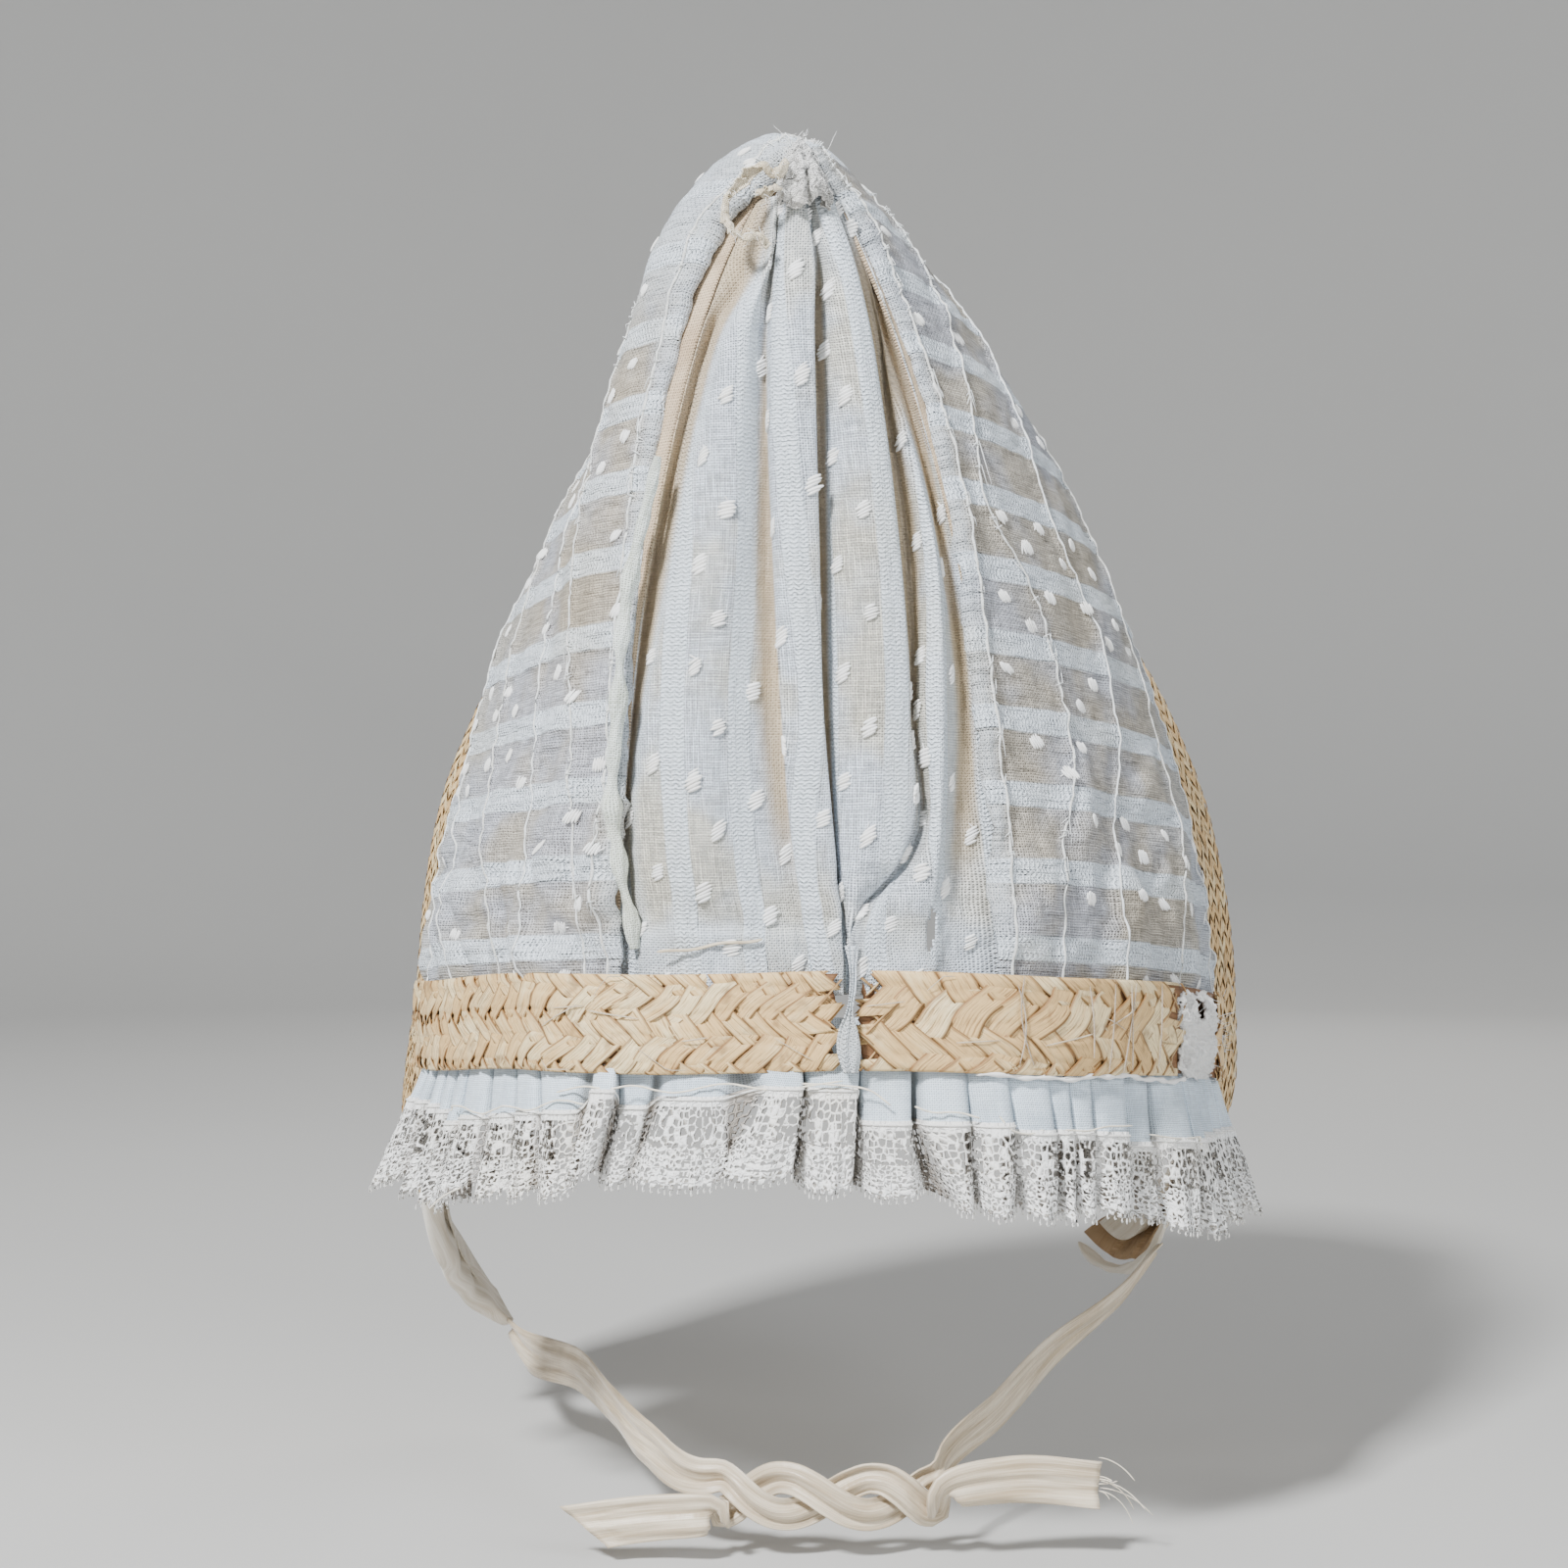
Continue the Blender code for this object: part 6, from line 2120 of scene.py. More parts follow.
@dataclass
class Brim:
    """The straw brim of six lapping rows of plait, its silk lining and the binding of its corner."""

    surface: Surface
    rows: int = 6
    straw: float = 3.7
    lap: float = 1.2
    wall: float = 0.9
    lining_reach: float = 0.985
    lining_depth: float = 2.6
    lining_wall: float = 0.5
    binding_out: float = 3.7
    binding_radius: float = 1.7
    binding_reach: tuple[float, float] = (0.30, 0.98)
    turned: float = 0.32
    turned_radius: float = 2.9
    legs: tuple[float, float] = (13.0, 4.5)

    @staticmethod
    def shape() -> Surface:
        """The brim as one surface.

        Returns:
            Its surface, with rows from the left corner to the right and columns out to the edge.
        """
        across = np.linspace(0.0, 1.0, 41)
        grid = np.array([brim_line(at, across) for at in np.linspace(-1.0, 1.0, 241)])
        return Surface.through(grid, BRIM_MIDDLE)

    def straws(self) -> bpy.types.Object:
        """The woven straws of all six rows.

        Returns:
            The straws in one piece.
        """
        bunch = Bunch()
        for row in range(self.rows):
            middle = self.surface.at(np.linspace(0, 1, 401), (row + 0.5) / self.rows)
            length = np.concatenate(([0.0], np.cumsum(np.linalg.norm(np.diff(middle, axis=0), axis=1))))
            span = self.surface.at(0.5, (row + 1) / self.rows) - self.surface.at(0.5, row / self.rows)
            width = float(np.linalg.norm(span)) * 1.1

            def place(along: np.ndarray, across: np.ndarray, lift: np.ndarray) -> np.ndarray:
                """Lay points of this row on the brim, rising towards its outer edge.

                Args:
                    along: How far along the row each lies.
                    across: Its share of the row's width.
                    lift: Its height above the brim.

                Returns:
                    The points.
                """
                share = np.interp(along, length, np.linspace(0, 1, 401))
                column = (row + across * 1.08) / self.rows
                return self.surface.at(share, column, lift + 0.25 + self.lap * across)

            plait = Plait(width, self.straw, swing=0.3, seed=20 + row, torn_start=2.0, torn_end=2.0, detail=2)
            plait.weave(bunch, 0.5, float(length[-1]) - 0.5, place)
        piece = bunch.finish("brim_straws", Straw(half=0.49 * self.straw * MM).material())
        return piece

    def build_wall(self) -> bpy.types.Object:
        """The stepped wall of straw under the woven face, row over row.

        Returns:
            The wall.
        """
        across, lifts = [], []
        for row in range(self.rows):
            across += list((row + np.array((0.0, 0.3, 0.6, 0.9))) / self.rows)
            lifts += [-0.45, -0.15, 0.25, self.lap - 0.55]
        across[-1] = 1.0
        share, column = np.meshgrid(np.linspace(0, 1, 201), across, indexing="ij")
        saw = 0.5 * np.sin(share * 900.0) * (column > 0.99)
        grid = self.surface.at(share, column, np.array(lifts)[None, :] + saw)
        flat = np.stack((run_length(grid, 1), run_length(grid, 0)), axis=2)
        straw = Straw(label="straw_underside", pale=(0.66, 0.48, 0.29), ripe=(0.50, 0.32, 0.17),
                      bruised=(0.28, 0.16, 0.08))
        piece = sheet("straw_brim_wall", grid, flat, self.wall, BRIM_MIDDLE, straw.material(),
                      {"tone": np.zeros(share.shape)})
        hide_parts("straw_brim")
        return piece

    def lining(self) -> bpy.types.Object:
        """The silk lining, smooth over the arch and in loose folds near the corners.

        Returns:
            The lining.
        """
        half = self.lining_reach / 2
        share, column = np.meshgrid(np.linspace(0.5 - half, 0.5 + half, 301),
                                    np.linspace(0.03, 0.975, 25), indexing="ij")
        at = 2 * share - 1
        near_corner = step_up(np.abs(at), 0.66, 0.95)
        points = self.surface.at(share, column)
        folds = 0.5 + 0.5 * np.sin(at * 110.0 + 2.0 * np.sin(at * 31.0) + column * 1.5)
        loose = 3.2 * near_corner * folds * np.sin(math.pi * column)
        loose += 0.5 * (0.5 + 0.5 * unrest(points, 12.0, 4.0, 2))
        pulls = 0.25 * (0.5 + 0.5 * np.sin(at * 260.0)) * (1 - near_corner)
        grid = self.surface.at(share, column, -self.lining_depth - loose - pulls)
        flat = np.stack((run_length(grid, 1), run_length(grid, 0)), axis=2)
        silk = Satin(label="lining_silk", light=(0.84, 0.79, 0.69), deep=(0.66, 0.58, 0.45), roughness=0.42)
        piece = sheet("brim_silk_lining", grid, flat, self.lining_wall, BRIM_MIDDLE, silk.material(),
                      offset=1.0)
        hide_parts("brim_lining")
        return piece

    def binding(self) -> bpy.types.Object:
        """The soft roll of silk round the worn straw rows of the lower right corner.

        Returns:
            The roll.
        """
        steps = np.linspace(*self.binding_reach, 90)
        corner, before = brim_line(1.0, steps), brim_line(0.985, steps)
        below = corner - before
        below /= np.linalg.norm(below, axis=1, keepdims=True)
        path = corner + below * self.binding_out
        tangent = np.gradient(path, axis=0)
        tangent /= np.linalg.norm(tangent, axis=1, keepdims=True)
        other = np.cross(tangent, below)
        turns = np.linspace(0, 2 * math.pi, 29)
        share = np.linspace(0, 1, 90)
        swell = 1.0 + 0.12 * np.sin(share * 16.0) + 0.10 * np.sin(share * 37.0 + 1.0)
        folds = 1.0 + 0.10 * np.cos(5 * turns[None, :] + share[:, None] * 9.0)
        ends = np.sqrt(np.clip(np.minimum(share, 1 - share) * 18, 0.02, 1))
        radius = (self.binding_radius * swell * ends)[:, None] * folds
        grid = (path[:, None] + below[:, None] * (radius * np.cos(turns)[None])[..., None]
                + other[:, None] * (radius * np.sin(turns)[None])[..., None])
        grid[:, -1] = grid[:, 0]
        flat = np.stack((run_length(grid, 1), run_length(grid, 0)), axis=2)
        length = float(np.linalg.norm(np.diff(path, axis=0), axis=1).sum()) * MM
        mesh = new_mesh("corner_silk_roll", grid.reshape(-1, 3), grid_faces(*grid.shape[:2]),
                        flat.reshape(-1, 2) * MM)
        piece = link_piece("corner_silk_roll", mesh, Satin(label="binding_silk", light=(0.84, 0.79, 0.70),
                                                           deep=(0.70, 0.63, 0.52)).material())
        merge_seam(piece)
        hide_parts("corner_binding")
        return piece

    def corner_folds(self) -> bpy.types.Object:
        """The lining's silk where it is turned out over the worn lower left corner, in soft folds.

        Returns:
            The folds.
        """
        steps = np.linspace(0.06, 0.97, 120)
        share = np.linspace(0.0, 1.0, 120)[:, None]
        end, before = self.surface.at(0.0, steps), self.surface.at(0.02, steps)
        away = end - before
        away /= np.linalg.norm(away, axis=1, keepdims=True)
        out = self.surface.at(0.0, steps, 1.0) - end
        turn = np.linspace(-1.0, 1.0, 49)[None, :]
        bent = np.radians(90.0) * np.clip(turn / self.turned, -1.0, 1.0)
        leg = np.clip((np.abs(turn) - self.turned) / (1.0 - self.turned), 0.0, 1.0)
        leg = leg * np.where(turn < 0, self.legs[0], self.legs[1]) * (1.0 + 0.12 * np.sin(share * 17.0))
        folds = 0.75 + 0.75 * np.sin(share * 30.0 + 2.0 * np.sin(share * 9.0) + turn * 2.5)
        folds = folds * (0.4 + 0.6 * (turn < 0))
        radius = self.turned_radius + folds
        beyond = 0.9 + radius * np.cos(bent) * np.sin(np.clip(share, 0.02, 0.98) * math.pi) ** 0.3 - leg
        aside = -0.9 + radius * np.sin(bent)
        grid = end[:, None] + away[:, None] * beyond[..., None] + out[:, None] * aside[..., None]
        flat = np.stack((run_length(grid, 1), run_length(grid, 0)), axis=2)
        silk = Satin(label="turned_silk", light=(0.86, 0.81, 0.72), deep=(0.64, 0.56, 0.44), roughness=0.4)
        piece = sheet("corner_silk_folds", grid, flat, 0.4, tuple(end[60] - away[60] * 30.0), silk.material())
        length = float(np.linalg.norm(np.diff(end, axis=0), axis=1).sum()) * MM
        return piece

    def build(self) -> None:
        """Make the brim's wall, straws, lining, binding and turned silk."""
        self.build_wall()
        self.straws()
        self.lining()
        self.binding()
        self.corner_folds()
        LOG.info("brim: wall, woven straws, silk lining, corner binding and turned silk")


def merge_seam(piece: bpy.types.Object) -> None:
    """Join the doubled points of a closed piece and turn its faces outwards.

    Args:
        piece: The piece.
    """
    bpy.ops.object.select_all(action="DESELECT")
    piece.select_set(True)
    bpy.context.view_layer.objects.active = piece
    bpy.ops.object.mode_set(mode="EDIT")
    bpy.ops.mesh.select_all(action="SELECT")
    bpy.ops.mesh.remove_doubles(threshold=1e-6)
    bpy.ops.mesh.normals_make_consistent(inside=False)
    bpy.ops.object.mode_set(mode="OBJECT")
    piece.select_set(False)


class Side(Enum):
    """The two lengths of plait round the neck."""

    LEFT = "left"
    RIGHT = "right"


@dataclass
class NeckPlait:
    """The two torn lengths of straw plait round the neck edge, and what is sewn to them."""

    height: float = 26.0
    offset: float = 6.05
    top: float = 7.0
    gap: tuple[float, float] = (3.6, 7.2)
    left_end: float = 0.99
    right_end: float = 0.90
    worn: tuple[float, float] = (119.0, 147.0)
    straws: tuple[float, float] = (4.7, 6.3)
    stitches: tuple[tuple[float, float, float], ...] = (
        (47.5, 48.0, 2.0), (49.5, 52.5, -2.5), (70.0, 71.5, 0.5), (80.5, 77.5, 0.3),
        (88.0, 88.5, 0.0), (90.5, 84.0, 0.0), (104.0, 102.0, 0.5))

    def surface(self) -> tuple[Surface, np.ndarray]:
        """The outer face round the neck.

        Returns:
            Its surface, and how far along the neck edge each of its rows lies.
        """
        distances = np.linspace(NECK_LEFT, NECK_RIGHT, 261)
        levels = np.linspace(-self.top, self.height - self.top, 5)
        grid = np.array([[neck_point(d, self.offset, level) for level in levels] for d in distances])
        return Surface.through(grid, NECK_MIDDLE), distances

    def length(self, side: Side) -> None:
        """One length of plait with a dark sheet behind it, painted shade in the gaps between its straws.

        Args:
            side: Which of the two lengths.
        """
        surface, distances = self.surface()
        if side is Side.LEFT:
            start, end = NECK_LEFT * self.left_end, self.gap[0]
            torn, straw, seed = (0.5, 3.5), self.straws[0], 3
        else:
            start, end = self.gap[1], NECK_RIGHT * self.right_end
            torn, straw, seed = (3.0, 6.0), self.straws[1], 8

        def place(along: np.ndarray, across: np.ndarray, lift: np.ndarray) -> np.ndarray:
            """Lay points of the plait round the neck, with the band's own slight waves.

            Args:
                along: How far along the neck edge each lies.
                across: Its share of the band's height.
                lift: Its height above the band.

            Returns:
                The points.
            """
            share = (along - distances[0]) / (distances[-1] - distances[0])
            wave = 0.35 * np.sin(along * 0.11 + seed) + 0.25 * np.sin(along * 0.23)
            pull = (1.2 * np.sin(across * 4.6 + along * 0.05 + seed)
                    + 0.9 * np.sin(across * 8.0 - along * 0.13))
            inner = step_up(along, start + 2, start + 12) * step_up(along, end - 2, end - 12)
            share = share + pull * inner / (distances[-1] - distances[0])
            across = across + 0.022 * np.sin(along * 0.21 + seed) * np.sin(across * math.pi)
            points = surface.at(share, across, lift - 0.45 + wave * 0.5)
            points[..., 2] += 0.5 * np.sin(along * 0.06 + 1.0) - (0.35 * step_up(along, 40, 110))
            return points

        bunch = Bunch()
        runs = ((start, end),) if side is Side.LEFT else ((start, self.worn[0]), (self.worn[1], end))
        for first, last in runs:
            Plait(self.height, straw, swing=0.42, seed=seed, torn_start=torn[0], torn_end=torn[1], detail=6,
                  uneven=0.55, profile=(-0.53, -0.42, 0.42, 0.53), arched=0.05, steep=6.0,
                  wander=0.055).weave(bunch, first, last, place)
        piece = bunch.finish(f"neck_plait_{side.value}", Straw(
            label=f"neck_straw_{side.value}", half=0.53 * straw * MM).material(), wall=0.22)
        # A dark sheet behind the straws: painted shade that shows in the gaps between them.
        rows, columns = np.meshgrid(np.linspace(start + 1.5, end - 2.0, 140), np.linspace(0.03, 0.97, 9),
                                    indexing="ij")
        ragged = 1.2 * np.sin(columns * 21.0 + 1.0)
        rows = rows + ragged * (step_up(rows, end - 12, end - 2) if side is Side.LEFT
                                else step_up(rows, start + 12, start + 1.5))
        grid = place(rows, columns, np.full(rows.shape, -0.75))
        flat = np.stack((run_length(grid, 0), run_length(grid, 1)), axis=2)
        back = sheet(f"neck_plait_{side.value}_back", grid, flat, 0.5, NECK_MIDDLE,
                     Straw(label="plait_gap_shade", pale=(0.34, 0.18, 0.08), ripe=(0.22, 0.11, 0.05),
                           bruised=(0.12, 0.05, 0.02)).material(), {"tone": np.zeros(rows.shape)})
        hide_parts(f"straw_band_{side.value}")

    def sewing(self) -> bpy.types.Object:
        """Stitches through the right-hand plait, and loose pale strands on both.

        Returns:
            The loose strands.
        """
        surface, distances = self.surface()
        rng = np.random.default_rng(4)

        def on_band(along: float, across: float, lift: float) -> np.ndarray:
            """A point on the band at a distance, a share of its height and a lift."""
            share = (along - distances[0]) / (distances[-1] - distances[0])
            return surface.at(share, across, lift)

        sewn, strands = Bunch(), Bunch()
        for first, second, slant in self.stitches:
            low, high = rng.uniform(0.0, 0.12), rng.uniform(0.80, 1.0)
            steps = np.linspace(0, 1, 9)
            points = [on_band(first + (second - first) * f + slant * math.sin(f * math.pi),
                              low + (high - low) * f, 0.55 + 0.2 * math.sin(f * math.pi)) for f in steps]
            sewn.add_thread(np.array(points), 0.2, rng.uniform(-1, 0), 5)
        for _ in range(14):
            along = float(rng.choice((-1, 1))) * rng.uniform(8, 84)
            across, length = rng.uniform(0.12, 0.88), rng.uniform(6, 16)
            turn = rng.normal(0, 0.5)
            steps = np.linspace(0, 1, 8)
            points = [on_band(along + length * f * math.cos(turn),
                              np.clip(across + length * f * math.sin(turn) / 26, 0.03, 0.97),
                              0.45 + 0.5 * math.sin(f * 3.1) * rng.uniform(0.6, 1.0)) for f in steps]
            strands.add_thread(np.array(points), rng.uniform(0.12, 0.22), 1.0, 4)
        stitches = sewn.finish("plait_stitches", Thread(label="brown_thread", light=(0.55, 0.47, 0.38),
                                                        deep=(0.36, 0.29, 0.22)).material())
        loose = strands.finish("loose_strands", Straw(label="pale_strand", pale=(0.90, 0.80, 0.62),
                                                      ripe=(0.80, 0.64, 0.42)).material())
        return loose

    def piping(self) -> bpy.types.Object:
        """The narrow edge of white muslin that shows under the right-hand plait.

        Returns:
            The piping.
        """
        bunch = Bunch()
        distances = np.linspace(38, 121, 90)
        points = []
        for d in distances:
            below = self.height - self.top + 0.9 + 0.5 * math.sin(d * 0.13) + 0.3 * math.sin(d * 0.41)
            points.append(neck_point(d, 5.2 + 0.25 * math.sin(d * 0.5), below))
        bunch.add_thread(np.array(points), 0.62 + 0.22 * np.sin(distances * 0.9), 0.9, 10)
        piece = bunch.finish("band_piping", Thread(label="piping_muslin", light=(0.88, 0.87, 0.85),
                                                   deep=(0.72, 0.70, 0.67), twist=1500.0).material())
        return piece

    def tab(self) -> bpy.types.Object:
        """The twisted scrap of muslin that comes out between the torn ends.

        Returns:
            The scrap.
        """
        rows = ((-14.0, 5.8, 6.0, 4.0, 0.2), (-9.0, 7.2, 6.1, 2.2, 0.5), (-4.0, 7.9, 6.2, 2.0, 0.9),
                (2.0, 8.2, 5.6, 3.4, 1.2), (8.0, 8.0, 5.2, 6.2, 0.6), (14.0, 7.8, 5.4, 6.6, 0.1),
                (19.0, 7.4, 5.8, 4.2, -0.3))
        levels = [row[0] for row in rows]
        grid = []
        for level in np.linspace(levels[0], levels[-1], 60):
            outside, aside, wide, twist = curve_through(levels, [row[1:] for row in rows], level)
            spread = np.linspace(-0.5, 0.5, 17)
            fold = 0.7 * np.cos(spread * 13.0 + level * 0.2)
            grid.append([neck_point(aside + wide * s * math.cos(twist) * 0.9,
                                    outside + wide * s * math.sin(twist) * 0.35 + f * 0.6, level)
                         for s, f in zip(spread, fold)])
        grid = np.array(grid)
        flat = np.stack((run_length(grid, 1), run_length(grid, 0)), axis=2)
        marks = {"dense": np.full(grid.shape[:2], 0.8), "edge": np.zeros(grid.shape[:2]),
                 "tan": np.zeros(grid.shape[:2])}
        piece = sheet("twisted_scrap", grid, flat, 0.4, (5.0, -20.0, -60.0),
                      Muslin(label="scrap_muslin", stripes=0.0, sheer_cover=0.97).material(), marks)
        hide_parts("gather_tab")
        return piece

    def build(self) -> None:
        """Make both lengths of plait, the sewing, the piping and the scrap of muslin."""
        for side in Side:
            self.length(side)
        self.sewing()
        self.piping()
        self.tab()
        LOG.info("neck edge: two lengths of plait, sewing, piping and twisted scrap")


# Edging


@dataclass(frozen=True)
class Pleat:
    """One pleat of the edging where the photograph shows it, in the photograph's pixels."""

    top: tuple[float, float]
    join: tuple[float, float]
    join_down: float
    low: tuple[float, float]
    low_down: float
    layer: float
    bulge: float = 1.6


PLEATS = (
    Pleat((425, 452), (414, 436), 1146, (387, 415), 1228, 0.4),
    Pleat((452, 478), (437, 460), 1143, (415, 452), 1234, -0.2),
    Pleat((478, 502), (462, 500), 1140, (450, 487), 1216, 0.6),
    Pleat((503, 525), (503, 530), 1138, (487, 530), 1221, 0.0, 1.9),
    Pleat((526, 548), (531, 556), 1135, (527, 553), 1222, 0.6),
    Pleat((549, 600), (558, 596), 1134, (552, 594), 1221, 0.9, 2.0),
    Pleat((607, 632), (606, 634), 1112, (580, 616), 1203, 2.2, 1.3),
    Pleat((634, 672), (634, 662), 1130, (608, 648), 1209, -1.0, 1.0),
    Pleat((675, 748), (672, 742), 1120, (630, 757), 1211, 1.0, 1.5),
    Pleat((752, 818), (778, 822), 1109, (726, 816), 1205, 2.3, 1.3),
    Pleat((822, 880), (827, 878), 1111, (813, 875), 1217, 0.9, 1.3),
    Pleat((883, 930), (882, 932), 1146, (876, 948), 1222, 0.2, 1.6),
    Pleat((943, 985), (943, 991), 1146, (975, 994), 1236, 0.9, 1.8),
    Pleat((986, 1027), (995, 1034), 1147, (999, 1035), 1239, 0.7, 2.4),
    Pleat((1029, 1067), (1037, 1075), 1155, (1041, 1073), 1242, 0.9, 2.4),
    Pleat((1068, 1090), (1078, 1092), 1155, (1077, 1093), 1245, 0.5),
    Pleat((1091, 1112), (1095, 1112), 1155, (1096, 1112), 1243, 0.6),
    Pleat((1114, 1147), (1116, 1145), 1157, (1114, 1143), 1240, 1.0, 2.2),
    Pleat((1150, 1170), (1150, 1172), 1168, (1147, 1175), 1243, -0.2),
    Pleat((1172, 1213), (1178, 1211), 1163, (1178, 1209), 1255, 0.9, 2.2),
    Pleat((1217, 1242), (1217, 1246), 1164, (1217, 1250), 1259, 0.6, 2.0),
)


@dataclass
class PhotoView:
    """Finds the place along the neck edge that appears at a pixel of the photograph."""

    focal: float = 2730.0
    away: float = 800.0
    middle: float = -11.3
    pixels: float = 800.0

    def __post_init__(self) -> None:
        """Sample the neck edge and the way outwards along the part that is in view."""
        self.along = np.arange(-124.0, 124.1, 0.5)
        self.edge = np.array([neck_point(d, 0.0, 0.0) for d in self.along])
        self.out = np.array([neck_point(d, 1.0, 0.0) for d in self.along]) - self.edge

    def place(self, across: float, down: float, offset: float) -> tuple[float, float]:
        """Distance along the neck and depth below it of what is seen at a pixel.

        Args:
            across: Pixels from the photograph's left side.
            down: Pixels from its top.
            offset: How far outside the neck edge the cloth is there.

        Returns:
            The distance and the depth, in millimetres.
        """
        points = self.edge + self.out * offset
        seen = self.pixels + self.focal * (points[:, 0] - self.middle) / (points[:, 1] + self.away)
        first, last = int(np.argmin(seen)), int(np.argmax(seen))
        along = float(np.interp(across, seen[first:last + 1], self.along[first:last + 1]))
        y = float(np.interp(along, self.along, points[:, 1]))
        height = (self.pixels - down) * (y + self.away) / self.focal
        return along, float(np.interp(along, self.along, points[:, 2])) - height


@dataclass
class Edging:
    """The pleated muslin frill round the neck edge and the lace sewn to it."""

    reach: float = 0.965
    offset: float = 1.9
    flare_level: float = 72.0
    flare_length: float = 41.0
    flare_back: float = 3.0
    flare_left: float = 13.0
    flare_right: float = 7.0
    frill_top: float = 61.0
    side_pleat: float = 9.4
    side_join: tuple[float, float] = (84.0, 89.5)
    side_low: tuple[float, float] = (108.5, 113.0)
    lace_depth: float = 22.5
    wall: float = 0.35
    tilt: float = 0.9
    rounded: float = 2.4
    ripple: float = 0.9
    stacked: float = 1.7
    thread_lift: float = 4.4
    loose_start: tuple[float, float, float] = (-112.0, 12.5, 52.0)
    basting_runs: tuple[tuple[tuple[float, float], ...], ...] = (
        ((455, 1133), (475, 1128), (500, 1136), (522, 1128), (548, 1132), (575, 1122), (602, 1126)),
        ((574, 1114), (600, 1108), (625, 1110), (650, 1107), (690, 1114), (740, 1105), (790, 1111),
         (860, 1102)),
        ((818, 1105), (850, 1106), (885, 1111), (908, 1127)),
        ((932, 1128), (950, 1134), (975, 1134), (998, 1140)),
        ((1017, 1138), (1028, 1152), (1045, 1156), (1060, 1152)),
        ((1080, 1152), (1105, 1153), (1120, 1149), (1148, 1148)),
        ((1165, 1157), (1195, 1161), (1222, 1160), (1244, 1168)),
    )

    def base_out(self, along: float, below: float) -> float:
        """How far outside the neck edge the middle of the edging hangs.

        Args:
            along: Distance along the neck edge.
            below: Depth below it.

        Returns:
            The distance outwards, in millimetres.
        """
        drop = max(0.0, below - CROWN_BASE_Z - self.flare_level) / self.flare_length
        flare_end = self.flare_right if along > 0 else self.flare_left
        flare = self.flare_back + (flare_end - self.flare_back) * min(1.0, abs(along) / NECK_RIGHT) ** 2
        return self.offset + flare * drop ** 1.2

    def found(self, across: float, down: float, layer: float) -> tuple[float, float]:
        """The place of a pixel on the edging, allowing for how far out the cloth hangs there.

        Args:
            across: Pixels from the photograph's left side.
            down: Pixels from its top.
            layer: How far the pleat lies outside the others.

        Returns:
            The distance along the neck edge and the depth below it, in millimetres.
        """
        along, below = self.view.place(across, down, 3.0)
        for _ in range(2):
            along, below = self.view.place(across, down, self.base_out(along, below) + layer)
        return along, below

    def chart(self) -> list[dict]:
        """Every pleat from the left end to the right.

        Returns:
            The layer and bulge of each, and the distance and depth of its two edges at the top, the
            join and the low edge.
        """
        self.view = PhotoView()
        charted = []
        for pleat in PLEATS:
            edges = []
            for k in (0, 1):
                top = self.found(pleat.top[k], 1096.0, 0.0)
                join = self.found(pleat.join[k], pleat.join_down, pleat.layer * 0.6)
                low = self.found(pleat.low[k], pleat.low_down, pleat.layer)
                edges.append((top[0], CROWN_BASE_Z + self.frill_top, *join, *low))
            charted.append({"edges": np.array(edges), "layer": pleat.layer, "bulge": pleat.bulge})
        sides = []
        for sign, end, start in ((-1, NECK_LEFT * self.reach, charted[0]["edges"][0]),
                                 (1, NECK_RIGHT * self.reach, charted[-1]["edges"][1])):
            span = abs(end - start[0])
            count = max(2, round(span / self.side_pleat))
            row = []
            for number in range(count):
                chance = math.sin(number * 12.9 + sign) * 0.12
                near = start[0] + sign * span * (number + 0.10) / count
                far = start[0] + sign * span * (number + 0.93 + chance * 0.5) / count
                fade = math.exp(-number / 1.5)
                join = (CROWN_BASE_Z + self.side_join[sign > 0]) * (1 - fade) + start[3] * fade
                low = (CROWN_BASE_Z + self.side_low[sign > 0]) * (1 - fade) + start[5] * fade
                shift = (start[4] - start[0]) * fade + sign * 2.5 * (1 - fade) * math.sin(number * 2.3)
                low += 1.2 * math.sin(number * 3.7)
                edges = [(d, CROWN_BASE_Z + self.frill_top, d + shift * 0.3, join, d + shift, low)
                         for d in ((far, near) if sign < 0 else (near, far))]
                row.append({"edges": np.array(edges), "layer": 0.4 + 0.6 * math.sin(number * 5.1),
                            "bulge": 1.9})
            sides.append(row[::-1] if sign < 0 else row)
        return sides[0] + charted + sides[1]

    def columns(self) -> dict[str, np.ndarray]:
        """The edging's cross-section, column by column.

        Returns:
            The stations of each column at the top, the join and the low edge, and its layer, tilt,
            hump, dip and the painted shade of the gaps.
        """
        stations, layers, humps, dips, tilts = [], [], [], [], []
        pleats = self.chart()
        for before, pleat in zip(pleats, pleats[1:]):
            if pleat["layer"] < before["layer"] + 0.8:
                pleat["edges"][0] -= np.array((1.5, 0.0, 1.5, 0.0, 0.9, 0.0))
        for number, pleat in enumerate(pleats):
            left, right = pleat["edges"]
            inset = (right - left) * np.array((0.015, 0.0, 0.045, 0.0, 0.085, 0.0))
            left, right = left + inset, right - inset
            pleat["edges"][:] = (left, right)
            wide = abs(right[4] - left[4])
            inside = np.linspace(0.0, 1.0, 9 if wide < 7 else 15 if wide < 12 else 25 if wide < 20 else 37)
            for u in inside:
                stations.append(left + (right - left) * u)
                layers.append(pleat["layer"] * self.stacked)
                humps.append((u, pleat["bulge"]))
                tilts.append(self.tilt * (2 * u - 1))
